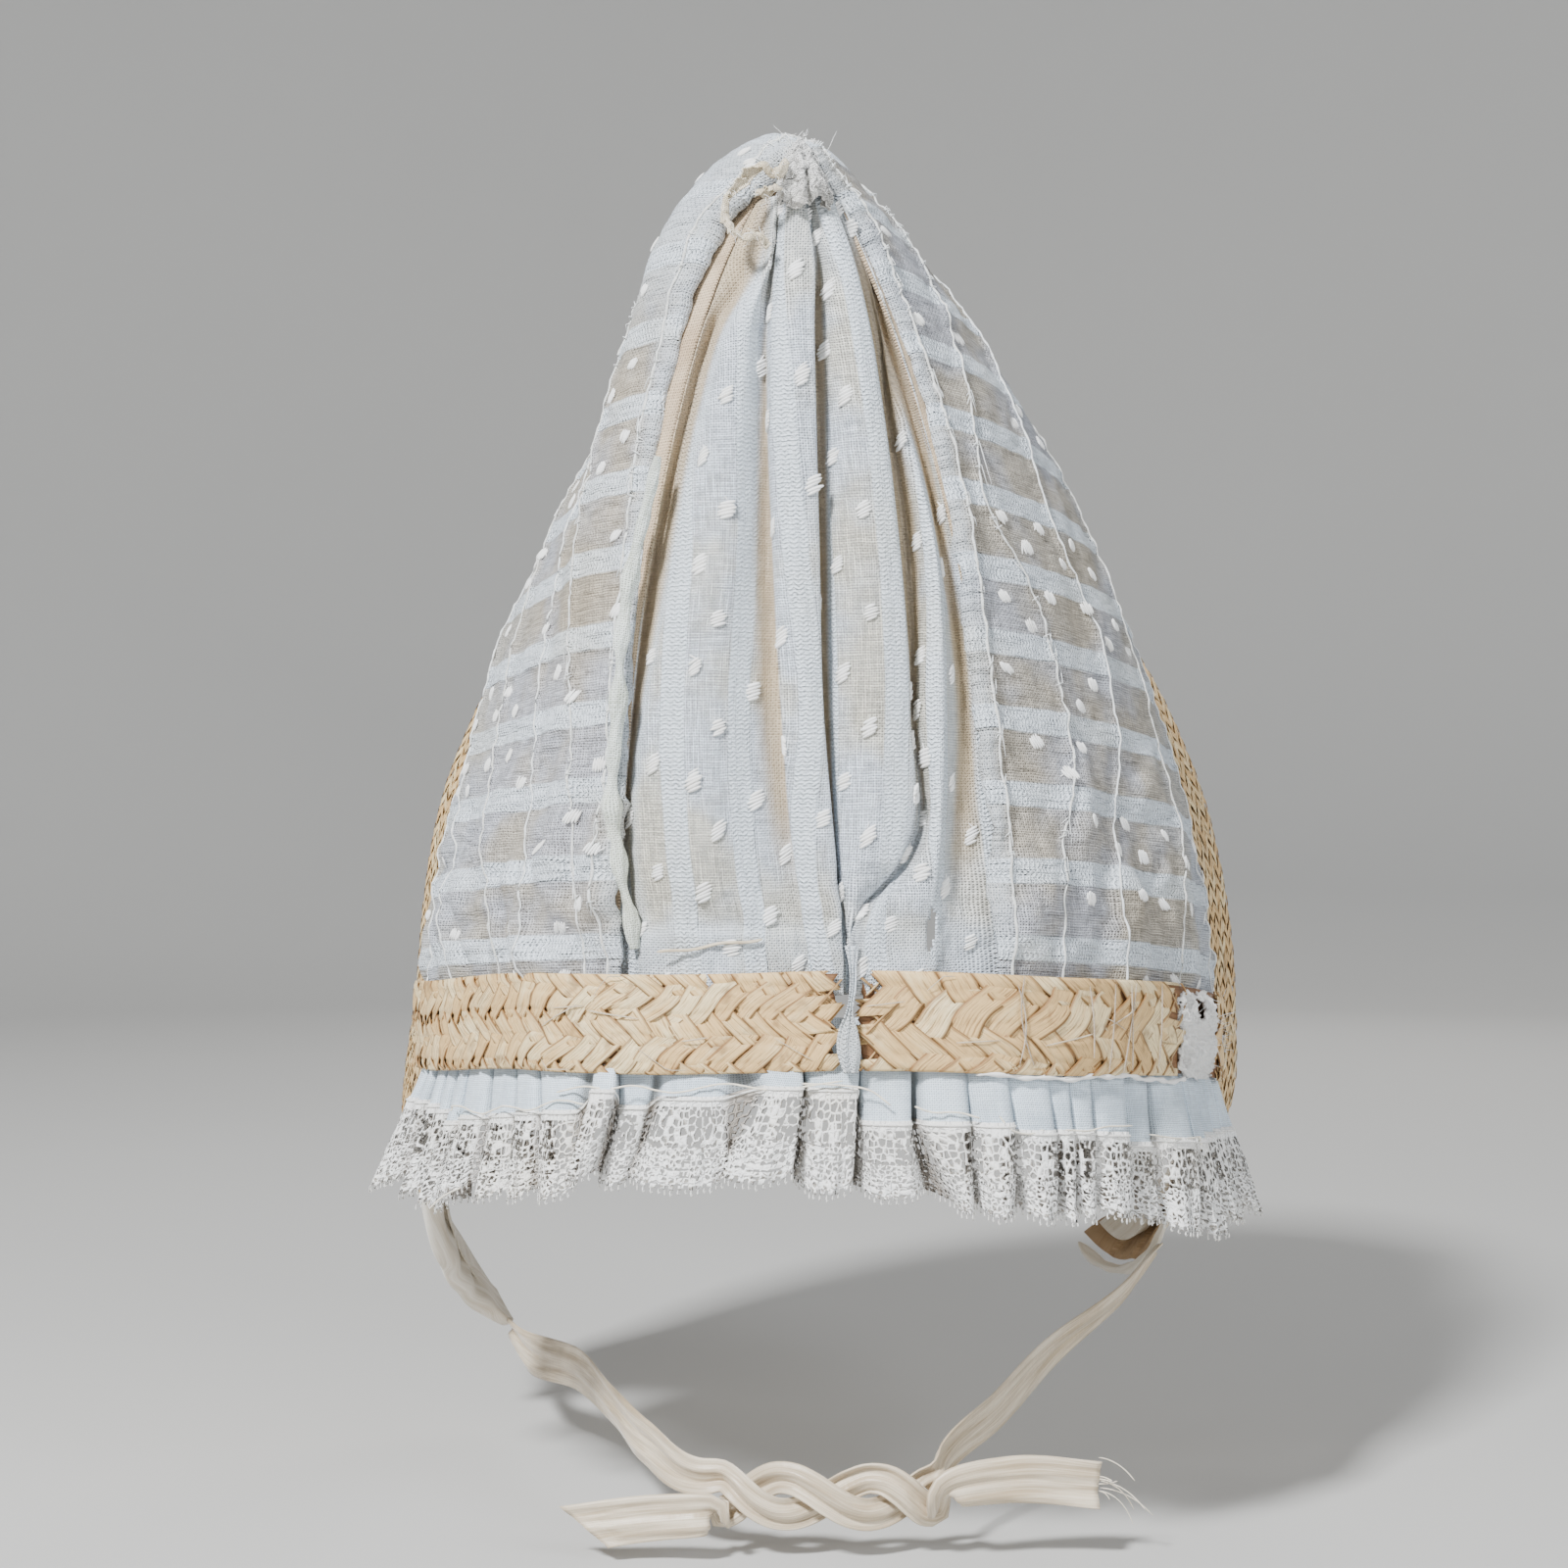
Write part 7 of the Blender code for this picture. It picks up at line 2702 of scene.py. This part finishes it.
                # The second number of each dip is painted shade, here a little at the pleat's two edges.
                dips.append((0.0, 0.35 * (abs(2 * u - 1) > 0.99)))
            if number + 1 < len(pleats):
                after = pleats[number + 1]
                gap = after["edges"][0] - right
                for s in (0.2, 0.4, 0.6, 0.8):
                    stations.append(right + gap * s)
                    layers.append((pleat["layer"] + (after["layer"] - pleat["layer"]) * s) * self.stacked)
                    humps.append((0.0, 0.0))
                    tilts.append(self.tilt * (1 - 2 * s))
                    # In the gap between two pleats: how deep it sinks, and the painted shade laid in it.
                    deep = 4 * s * (1 - s) * (1.0 if gap[4] > -1.6 else 0.4)
                    dips.append((deep, min(1.0, 6 * s * (1 - s))))
        return {"stations": np.array(stations), "layer": np.array(layers), "tilt": np.array(tilts),
                "hump": np.array(humps), "dip": np.array(dips)[:, 0], "shade": np.array(dips)[:, 1]}

    def strip(self, columns: dict[str, np.ndarray], first: float, last: float, rows: int) -> np.ndarray:
        """Points of one strip of the edging.

        Args:
            columns: The cross-section from columns().
            first: Where the strip begins: 0 is the top, 1 the join, 2 the low edge.
            last: Where it ends.
            rows: How many rows it has.

        Returns:
            The grid of points.
        """
        stations, layer, dip = columns["stations"], columns["layer"], columns["dip"]
        u, bulge = columns["hump"][:, 0], columns["hump"][:, 1]
        grid = np.empty((rows, len(stations), 3))
        for i, t in enumerate(np.linspace(first, last, rows)):
            upper, lower = min(t, 1.0), max(0.0, t - 1.0)
            ease = lower ** 1.15
            along = stations[:, 0] + (stations[:, 2] - stations[:, 0]) * upper ** 1.6
            along = along + (stations[:, 4] - stations[:, 2]) * ease
            below = stations[:, 1] + (stations[:, 3] - stations[:, 1]) * upper
            below = below + (stations[:, 5] - stations[:, 3]) * lower
            below = below - self.rounded * np.abs(2 * u - 1) ** 3 * lower ** 1.5
            ripple = self.ripple * np.sin(stations[:, 4] * 1.05 + 2.0 * np.sin(stations[:, 4] * 0.21))
            power = 4.0 - 1.9 * lower
            hump = (1.0 - np.abs(2 * u - 1) ** power) * bulge * (1.5 + 0.9 * lower)
            strength = float(np.interp(t, (0.0, 0.45, 1.0, 1.4, 2.0), (0.08, 0.28, 0.85, 1.05, 1.15)))
            deep = float(np.interp(t, (0.0, 0.5, 1.0, 2.0), (0.5, 2.6, 5.0, 7.0)))
            extra = (layer + hump + columns["tilt"]) * strength - dip * deep + ripple * lower
            for j in range(len(stations)):
                out = self.base_out(along[j], below[j]) + extra[j]
                grid[i, j] = neck_point(along[j], out, below[j])
        return grid

    def outward(self, columns: dict[str, np.ndarray]) -> np.ndarray:
        """The way outwards at each column."""
        joins = columns["stations"][:, 2]
        return np.array([neck_point(d, 1.0, 0.0) - neck_point(d, 0.0, 0.0) for d in joins])

    def frill(self, columns: dict[str, np.ndarray]) -> bpy.types.Object:
        """The muslin frill, in flat pleats with narrow gaps.

        Args:
            columns: The cross-section from columns().

        Returns:
            The frill.
        """
        grid = self.strip(columns, 0.0, 1.06, 17)
        grid += 0.22 * unrest(grid, 7.0, 3.0, 2)[..., None] * self.outward(columns)[None]
        across = run_length(grid, 1)
        flat = np.stack((np.broadcast_to(across[9], across.shape), run_length(grid, 0)), axis=2)
        muslin = PlainCloth(label="frill_muslin", colour=(0.72, 0.83, 0.93), shade=(0.52, 0.61, 0.70),
                            pitch=0.0006, age=0.22)
        # Painted shade for the gaps between pleats, stronger towards the low edge.
        shadow = np.broadcast_to(columns["shade"], grid.shape[:2]) * np.linspace(0.4, 1.0, len(grid))[:, None]
        piece = sheet("neck_frill", grid, flat, self.wall, (0.0, -20.0, -80.0), muslin.material(),
                      {"gap": shadow})
        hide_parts("frill")
        return piece

    def lace(self, columns: dict[str, np.ndarray]) -> bpy.types.Object:
        """The lace, in rounder flutes that flare towards the ends, with a bound upper edge.

        Args:
            columns: The cross-section from columns().

        Returns:
            The lace.
        """
        rows = 27
        grid = self.strip(columns, 0.97, 2.0, rows)
        lift = self.outward(columns)
        share = np.linspace(0, 1, rows)[:, None, None]
        grid = grid + lift[None] * 0.5
        grid += (0.35 * unrest(grid, 5.5, 8.0, 3)[..., None] * lift[None]) * step_up(share, 0.1, 0.6)
        across = run_length(grid, 1)
        flat = np.stack((np.broadcast_to(across[12], across.shape),
                         np.broadcast_to(self.lace_depth * share[..., 0], across.shape)), axis=2)
        # The mark gap carries painted shade for the gaps between the flutes.
        piece = sheet("lace_flutes", grid, flat, 0.45, (0.0, -20.0, -100.0), LaceNet().material(),
                      {"gap": np.broadcast_to(columns["shade"], grid.shape[:2])})
        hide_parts("lace_edging")

        threads = Bunch()
        top = grid[1] + lift * 0.30
        for first in range(0, len(top) - 12, 12):
            threads.add_thread(top[first:first + 13], 0.32, 0.3, 4)
        edge = grid[-1] + lift * 0.1
        gaps = np.concatenate(([0.0], np.cumsum(np.linalg.norm(np.diff(edge, axis=0), axis=1))))
        rng = np.random.default_rng(6)
        for tooth in np.arange(1.0, gaps[-1], 2.1):
            here = np.array([np.interp(tooth, gaps, edge[:, k]) for k in range(3)])
            near = np.array([np.interp(tooth + 0.7, gaps, edge[:, k]) for k in range(3)]) - here
            fall = np.array((0.0, 0.0, -rng.uniform(0.9, 1.7)))
            loop = [here, here + fall * 0.6 - near * 0.2, here + fall, here + fall * 0.7 + near * 0.7]
            threads.add_thread(np.array(loop), 0.27, rng.uniform(-0.5, 1), 4)
        picots = threads.finish("lace_picots", Thread(label="lace_thread", light=(0.88, 0.87, 0.84),
                                                      deep=(0.70, 0.68, 0.63)).material())
        return piece

    def basting(self) -> bpy.types.Object:
        """The cream basting thread that wanders along the frill, and its loose end on the left.

        Returns:
            The threads in one piece.
        """
        threads = Bunch()
        rng = np.random.default_rng(9)
        for run in self.basting_runs:
            steps = np.linspace(0, len(run) - 1, 10 * (len(run) - 1))
            points = []
            for across, down in (curve_through(range(len(run)), run, step) for step in steps):
                along, below = self.found(across, down, 2.0)
                out = self.base_out(along, below) + self.thread_lift + 0.25 * math.sin(across * 0.35)
                points.append(neck_point(along, out, below))
            threads.add_thread(np.array(points), 0.26, rng.uniform(0, 1), 5)
        start = neck_point(*self.loose_start)
        end = np.array([start + np.array((-7.0 * t, 0.8 * t, -5.2 * t + 0.7 * math.sin(3.1 * t)))
                        for t in np.linspace(-0.6, 1.0, 14)])
        threads.add_thread(end, 0.24, 0.8, 5)
        piece = threads.finish("basting_threads", Thread(label="cream_thread", light=(0.90, 0.84, 0.71),
                                                         deep=(0.74, 0.66, 0.52)).material())
        return piece

    def build(self) -> None:
        """Make the frill, the lace and the basting."""
        columns = self.columns()
        self.frill(columns)
        self.lace(columns)
        self.basting()
        LOG.info("edging: pleated frill, lace with picots, basting threads")


# Ties and wadding


@dataclass
class Ties:
    """The two satin ties, which meet in a half knot at the nape."""

    middle: tuple[float, float, float] = (0.0, -10.0, -190.0)
    knot_middle: tuple[float, float, float] = (1.5, -68.5, -195.5)
    knot_span: float = 19.5
    knot_swing: float = 5.0
    knot_depth: float = 2.9
    knot_width: float = 8.6
    knot_bow: float = 0.006
    wall: float = 0.5
    right_start: tuple[tuple[float, ...], ...] = (
        (106.6, 47.9, -148.2, 9.0), (96.0, 31.0, -156.0, 12.5), (68.0, 0.0, -170.0, 12.5),
        (50.0, -30.0, -180.0, 12.5), (33.0, -57.0, -188.0, 10.0))
    right_tail: tuple[tuple[float, ...], ...] = (
        (-31.0, -71.0, -199.0, 11.0), (-48.0, -69.5, -200.5, 12.5), (-72.0, -68.0, -204.0, 12.5))
    left_start: tuple[tuple[float, ...], ...] = (
        (-103.2, 102.0, -184.2, 9.0), (-96.0, 80.0, -186.0, 12.5), (-76.0, 36.0, -183.0, 12.5),
        (-62.0, -8.0, -184.0, 12.5), (-50.0, -40.0, -187.0, 12.5), (-34.0, -61.5, -191.0, 10.0))
    left_tail: tuple[tuple[float, ...], ...] = (
        (33.0, -72.0, -193.0, 11.0), (50.0, -70.0, -190.0, 12.5), (75.0, -66.0, -192.0, 12.5))

    def knot_route(self, phase: float) -> list[tuple[float, ...]]:
        """A ribbon's way through the half knot, wound once and a half round the other.

        Args:
            phase: Where on its turn the ribbon starts; the two ribbons are half a turn apart.

        Returns:
            Points and widths from left to right.
        """
        x0, y0, z0 = self.knot_middle
        route = []
        for step in range(15):
            turn = 3.0 * step / 14 - 1.5
            angle = math.pi * (turn - 0.5) + phase
            along = turn * self.knot_span * (1.26 - 0.115 * turn * turn)
            slack = 1.0 + 0.12 * math.sin(turn * 2.1 + phase)
            route.append((x0 + along, y0 - self.knot_depth * math.sin(angle) + self.knot_bow * along * along,
                          z0 + self.knot_swing * slack * math.cos(angle), self.knot_width))
        return route

    def ribbon(self, name: str, node: str, route: list[tuple[float, ...]], rolled_end: bool) -> None:
        """One ribbon along its route.

        Args:
            name: The piece's name.
            node: The solid it stands for.
            route: Points and widths from the brim to the tail.
            rolled_end: Whether the tail is rolled and frayed, or cut on a slant.
        """
        path = np.array(route)
        length = np.concatenate(([0.0], np.cumsum(np.linalg.norm(np.diff(path[:, :3], axis=0), axis=1))))
        total = float(length[-1])
        steps = np.linspace(0, total, int(total / 1.6))
        samples = np.array([curve_through(length, path, d) for d in steps])
        tangents = np.gradient(samples[:, :3], axis=0)
        tangents /= np.linalg.norm(tangents, axis=1, keepdims=True)
        radial = (samples[:, :3] - np.array(self.middle)) * (1.0, 1.0, 0.0)
        across = np.cross(radial, tangents)
        across /= np.linalg.norm(across, axis=1, keepdims=True)
        outward = np.cross(tangents, across)
        spread = np.linspace(-1.0, 1.0, 21)[None, :]
        half = samples[:, 3:4] / 2
        squeezed = np.clip((12.5 - samples[:, 3:4]) / 5.0, 0.0, 1.0)
        seed = 2.0 if rolled_end else 5.0
        way = steps[:, None]
        creases = 0.85 * np.cos(spread * 5.2 + 0.05 * way + seed) * (0.55 + 0.5 * squeezed)
        creases = creases + 0.40 * np.sin(spread * 2.4 + way * 0.09 + seed) * (0.6 + 0.6 * squeezed)
        creases = creases + 0.22 * np.cos(spread * 13.0 + 0.8 * np.sin(way * 0.07) + seed)
        creases = creases + 0.5 * spread ** 2 * np.sin(way * 0.035 + seed)
        left = (total - steps)[:, None]
        slant = np.where(rolled_end, 0.0, 6.0 * (1 + spread) * step_up(left, 20.0, 0.0))
        roll = step_up(left, 13.0, 0.0) * (2.2 * spread ** 2 if rolled_end else 0.5 * spread)
        grid = (samples[:, None, :3] + across[:, None] * (half * spread)[..., None]
                + outward[:, None] * (creases + roll)[..., None] - tangents[:, None] * slant[..., None])
        flat = np.stack(np.broadcast_arrays(spread * 6.25, way), axis=2)
        silk = Satin(label="tie_satin")
        piece = sheet(name, grid, flat, self.wall, self.middle, silk.material(), offset=0.0)
        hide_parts(node)
        if rolled_end:
            self.frayed = (samples[-1, :3], tangents[-1])

    def frayed_threads(self) -> bpy.types.Object:
        """The few silk threads that curl out of the frayed tail.

        Returns:
            The threads in one piece.
        """
        threads = Bunch()
        rng = np.random.default_rng(3)
        start, way = self.frayed
        for number in range(9):
            points, point, step = [], start + rng.normal(0, 1.0, 3) * (0.3, 0.3, 2.2), way.copy()
            reach = rng.uniform(8, 22) if number < 5 else rng.uniform(3, 8)
            bend = np.array((0.0, rng.normal(0, 0.05), rng.uniform(-0.2, 0.05)))
            for _ in range(12):
                points.append(point.copy())
                step = step + bend
                step /= np.linalg.norm(step)
                point = point + step * reach / 12
            threads.add_thread(np.array(points), 0.17, rng.uniform(0, 1), 4)
        piece = threads.finish("silk_threads", Thread(label="silk_thread", light=(0.88, 0.80, 0.66),
                                                      deep=(0.72, 0.62, 0.46)).material())
        return piece

    def build(self) -> None:
        """Make both ribbons and the frayed threads."""
        right = list(self.right_start) + self.knot_route(math.pi)[::-1] + list(self.right_tail)
        left = list(self.left_start) + self.knot_route(0.0) + list(self.left_tail)
        self.ribbon("satin_tie_right", "tie_right", right, False)
        self.ribbon("satin_tie_left", "tie_left", left, True)
        self.frayed_threads()
        LOG.info("ties: two satin ribbons in a half knot, with frayed threads")


@dataclass
class Wadding:
    """The tuft of white wadding where the right-hand plait has worn away."""

    share: float = 0.93
    out: float = 3.9
    below: float = 6.0
    half: tuple[float, float, float] = (1.3, 4.6, 10.0)
    bare: tuple[float, float] = (115.5, 146.5)

    def build(self) -> None:
        """Swell a small ball into a fuzzy tuft and pull hairs out of it."""
        middle = neck_point(NECK_RIGHT * self.share, self.out, self.below)
        bpy.ops.object.select_all(action="DESELECT")
        bpy.ops.mesh.primitive_ico_sphere_add(subdivisions=5, radius=1.0)
        ball = bpy.context.object
        points = np.array([tuple(vertex.co) for vertex in ball.data.vertices])
        faces = np.array([tuple(face.vertices) for face in ball.data.polygons])
        mesh = ball.data
        bpy.data.objects.remove(ball, do_unlink=True)
        bpy.data.meshes.remove(mesh)
        swell = 1.0 + 0.22 * unrest(points, 0.5, 2.0, 4)
        shaped = points * np.array(self.half) * swell[:, None] + middle
        flat = points[:, 1:] * 10.0
        tuft = link_piece("wadding_lump", new_mesh("wadding_lump", shaped, faces, flat * MM),
                          self.fluff().material())
        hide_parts("wadding_tuft")
        rng = np.random.default_rng(12)
        hairs = Bunch()
        for number in rng.integers(0, len(shaped), 160):
            start = shaped[number]
            way = points[number] * (1.0, 1.2, 1.2) + rng.normal(0, 0.5, 3)
            bend = rng.normal(0, 0.3, 3)
            line = [start + way * t + bend * t * t for t in np.linspace(0, rng.uniform(0.8, 2.2), 6)]
            hairs.add_thread(np.array(line), 0.07, 1.0, 3)
        bared = self.patch()
        for start in bared[rng.integers(0, len(bared), 150)]:
            way, bend = rng.normal(0, 1.0, 3) + (0.5, -0.6, 0.0), rng.normal(0, 0.4, 3)
            line = [start + way * t + bend * t * t for t in np.linspace(0, rng.uniform(0.6, 1.9), 6)]
            hairs.add_thread(np.array(line), 0.06, 1.0, 3)
        piece = hairs.finish("wadding_hairs", Thread().material())
        LOG.info("wadding: tuft, hairs and the layer bared at the worn end of the plait")

    @staticmethod
    def fluff() -> PlainCloth:
        """The finish of loose white wadding."""
        return PlainCloth(label="white_wadding", colour=(1.0, 0.99, 0.97), shade=(0.90, 0.88, 0.84),
                          pitch=0.0003, depth=0.00035, age=0.25, fuzz=1.0, between=0.98)

    def patch(self) -> np.ndarray:
        """The layer of wadding that lies bare past the worn end of the plait, with a hole in it.

        Returns:
            The points of its outer face.
        """
        along, below = np.meshgrid(np.linspace(*self.bare, 101), np.linspace(-6.0, 19.5, 91), indexing="ij")
        plan = np.stack((along, below, np.zeros_like(along)), axis=2)
        lumps = unrest(plan, 4.0, 5.0, 3)
        middle = sum(self.bare) / 2
        edge = ((np.abs(along - middle) / 15.0) ** 3 + (np.abs(below - 7.0) / 13.2) ** 4
                + 0.75 * unrest(plan, 4.2, 2.0, 4))
        hole = ((along - 129.0) / 3.4) ** 2 + ((below + 0.4) / 3.4) ** 2 + 0.8 * lumps < 1.0
        keep = (edge < 1.0) & ~hole
        thick = 7.0 + 1.5 * lumps + 0.5 * unrest(plan, 1.3, 9.0, 2) - 1.6 * step_up(edge, 0.4, 1.0)
        grid = np.array([[neck_point(d, out, level) for d, out, level in zip(*row)]
                         for row in zip(along, thick, below)])
        cells = keep[:-1, :-1] & keep[1:, 1:] & keep[:-1, 1:] & keep[1:, :-1]
        piece = sheet("wadding_patch", grid, plan[..., :2], 0.9, (0.0, -20.0, -70.0), self.fluff().material(),
                      keep=cells)
        return grid[keep]


# Studio


@dataclass
class Studio:
    """The plain pale floor, soft light and the camera behind the bonnet."""

    camera_at: tuple[float, float, float] = (-0.0113, -0.800, 0.0)
    lens: float = 61.425
    floor_z: float = -0.2125
    pale: Colour = (0.52, 0.515, 0.50)

    def camera(self) -> None:
        """Stand the camera level behind the bonnet, as far off as the photograph's was."""
        data = bpy.data.cameras.new("back_view")
        data.lens = self.lens
        data.sensor_width = 36.0
        data.clip_start = 0.01
        camera = bpy.data.objects.new("back_view", data)
        camera.location = self.camera_at
        camera.rotation_euler = (math.pi / 2, 0.0, 0.0)
        bpy.context.scene.collection.objects.link(camera)
        bpy.context.scene.camera = camera

    def floor(self) -> None:
        """A pale floor that sweeps up into a low wall all round."""
        bpy.ops.object.select_all(action="DESELECT")
        bpy.ops.mesh.primitive_plane_add(size=1.0, location=(0.0, 0.0, 0.0))
        floor = bpy.context.object
        floor.name = "studio_floor"
        ring = [(0.0, 0.0), (0.6, 0.0), (1.2, 0.0), (1.8, 0.0)]
        bend = np.radians(np.arange(10, 91, 10))
        ring += [(1.8 + 0.7 * math.sin(t), 0.7 - 0.7 * math.cos(t)) for t in bend]
        ring += [(2.5, 1.3), (2.5, 1.9)]
        turns = np.linspace(0, 2 * math.pi, 65)
        points = np.array([[(r * math.cos(t), r * math.sin(t), self.floor_z + h) for t in turns]
                           for r, h in ring])
        mesh = new_mesh("studio_floor", points.reshape(-1, 3) / MM, grid_faces(*points.shape[:2])[:, ::-1])
        old, floor.data = floor.data, mesh
        bpy.data.meshes.remove(old)
        merge_seam(floor)
        for face in floor.data.polygons:
            face.use_smooth = True
        material = bpy.data.materials.new("pale_floor")
        material.use_nodes = True
        bench = Bench(material.node_tree)
        shader = material.node_tree.nodes["Principled BSDF"]
        soft = bench.noise(bench.in_space(), 3.0, 2.0)
        bench.put(shader.inputs["Base Color"], bench.mix(soft, self.pale, tuple(c * 1.04 for c in self.pale)))
        shader.inputs["Roughness"].default_value = 0.9
        floor.data.materials.append(material)

    def area(self, name: str, place: Sequence[float], size: float, watts: float, colour: Colour) -> None:
        """One soft lamp that faces the bonnet.

        Args:
            name: The lamp's name.
            place: Where it stands, in metres.
            size: Side of its square, in metres.
            watts: Its power.
            colour: Its colour.
        """
        data = bpy.data.lights.new(name, "AREA")
        data.size, data.energy, data.color = size, watts, colour
        lamp = bpy.data.objects.new(name, data)
        lamp.location = place
        lamp.rotation_euler = (-Vector(place)).to_track_quat("-Z", "Y").to_euler()
        bpy.context.scene.collection.objects.link(lamp)

    def light(self) -> None:
        """A broad lamp from the upper left behind the camera, weaker ones round about, a pale sky."""
        self.area("key", (-0.75, -1.2, 1.2), 0.25, 80.0, (0.97, 0.985, 1.0))
        self.area("fill", (1.25, -1.0, 0.55), 0.6, 13.0, (0.90, 0.95, 1.0))
        self.area("face_side", (0.5, 1.5, 0.9), 1.0, 10.0, (1.0, 0.98, 0.95))
        world = bpy.data.worlds.new("pale_room")
        world.use_nodes = True
        sky = world.node_tree.nodes["Background"]
        sky.inputs["Color"].default_value = (0.90, 0.93, 1.0, 1.0)
        sky.inputs["Strength"].default_value = 0.20
        bpy.context.scene.world = world

    def build(self) -> None:
        """Set up the camera, the floor and the lamps."""
        self.camera()
        self.floor()
        self.light()
        LOG.info("studio: camera, floor and lamps")


def main() -> None:
    """Build every sub-assembly in order."""
    logging.basicConfig(level=logging.INFO, format="%(name)s: %(message)s")
    Studio().build()
    surface = crown_surface()
    Crown(surface).build()
    BackPanel().build()
    Peak().build()
    Brim(Brim.shape()).build()
    NeckPlait().build()
    Edging().build()
    Ties().build()
    Wadding().build()


if __name__ == "__main__":
    main()
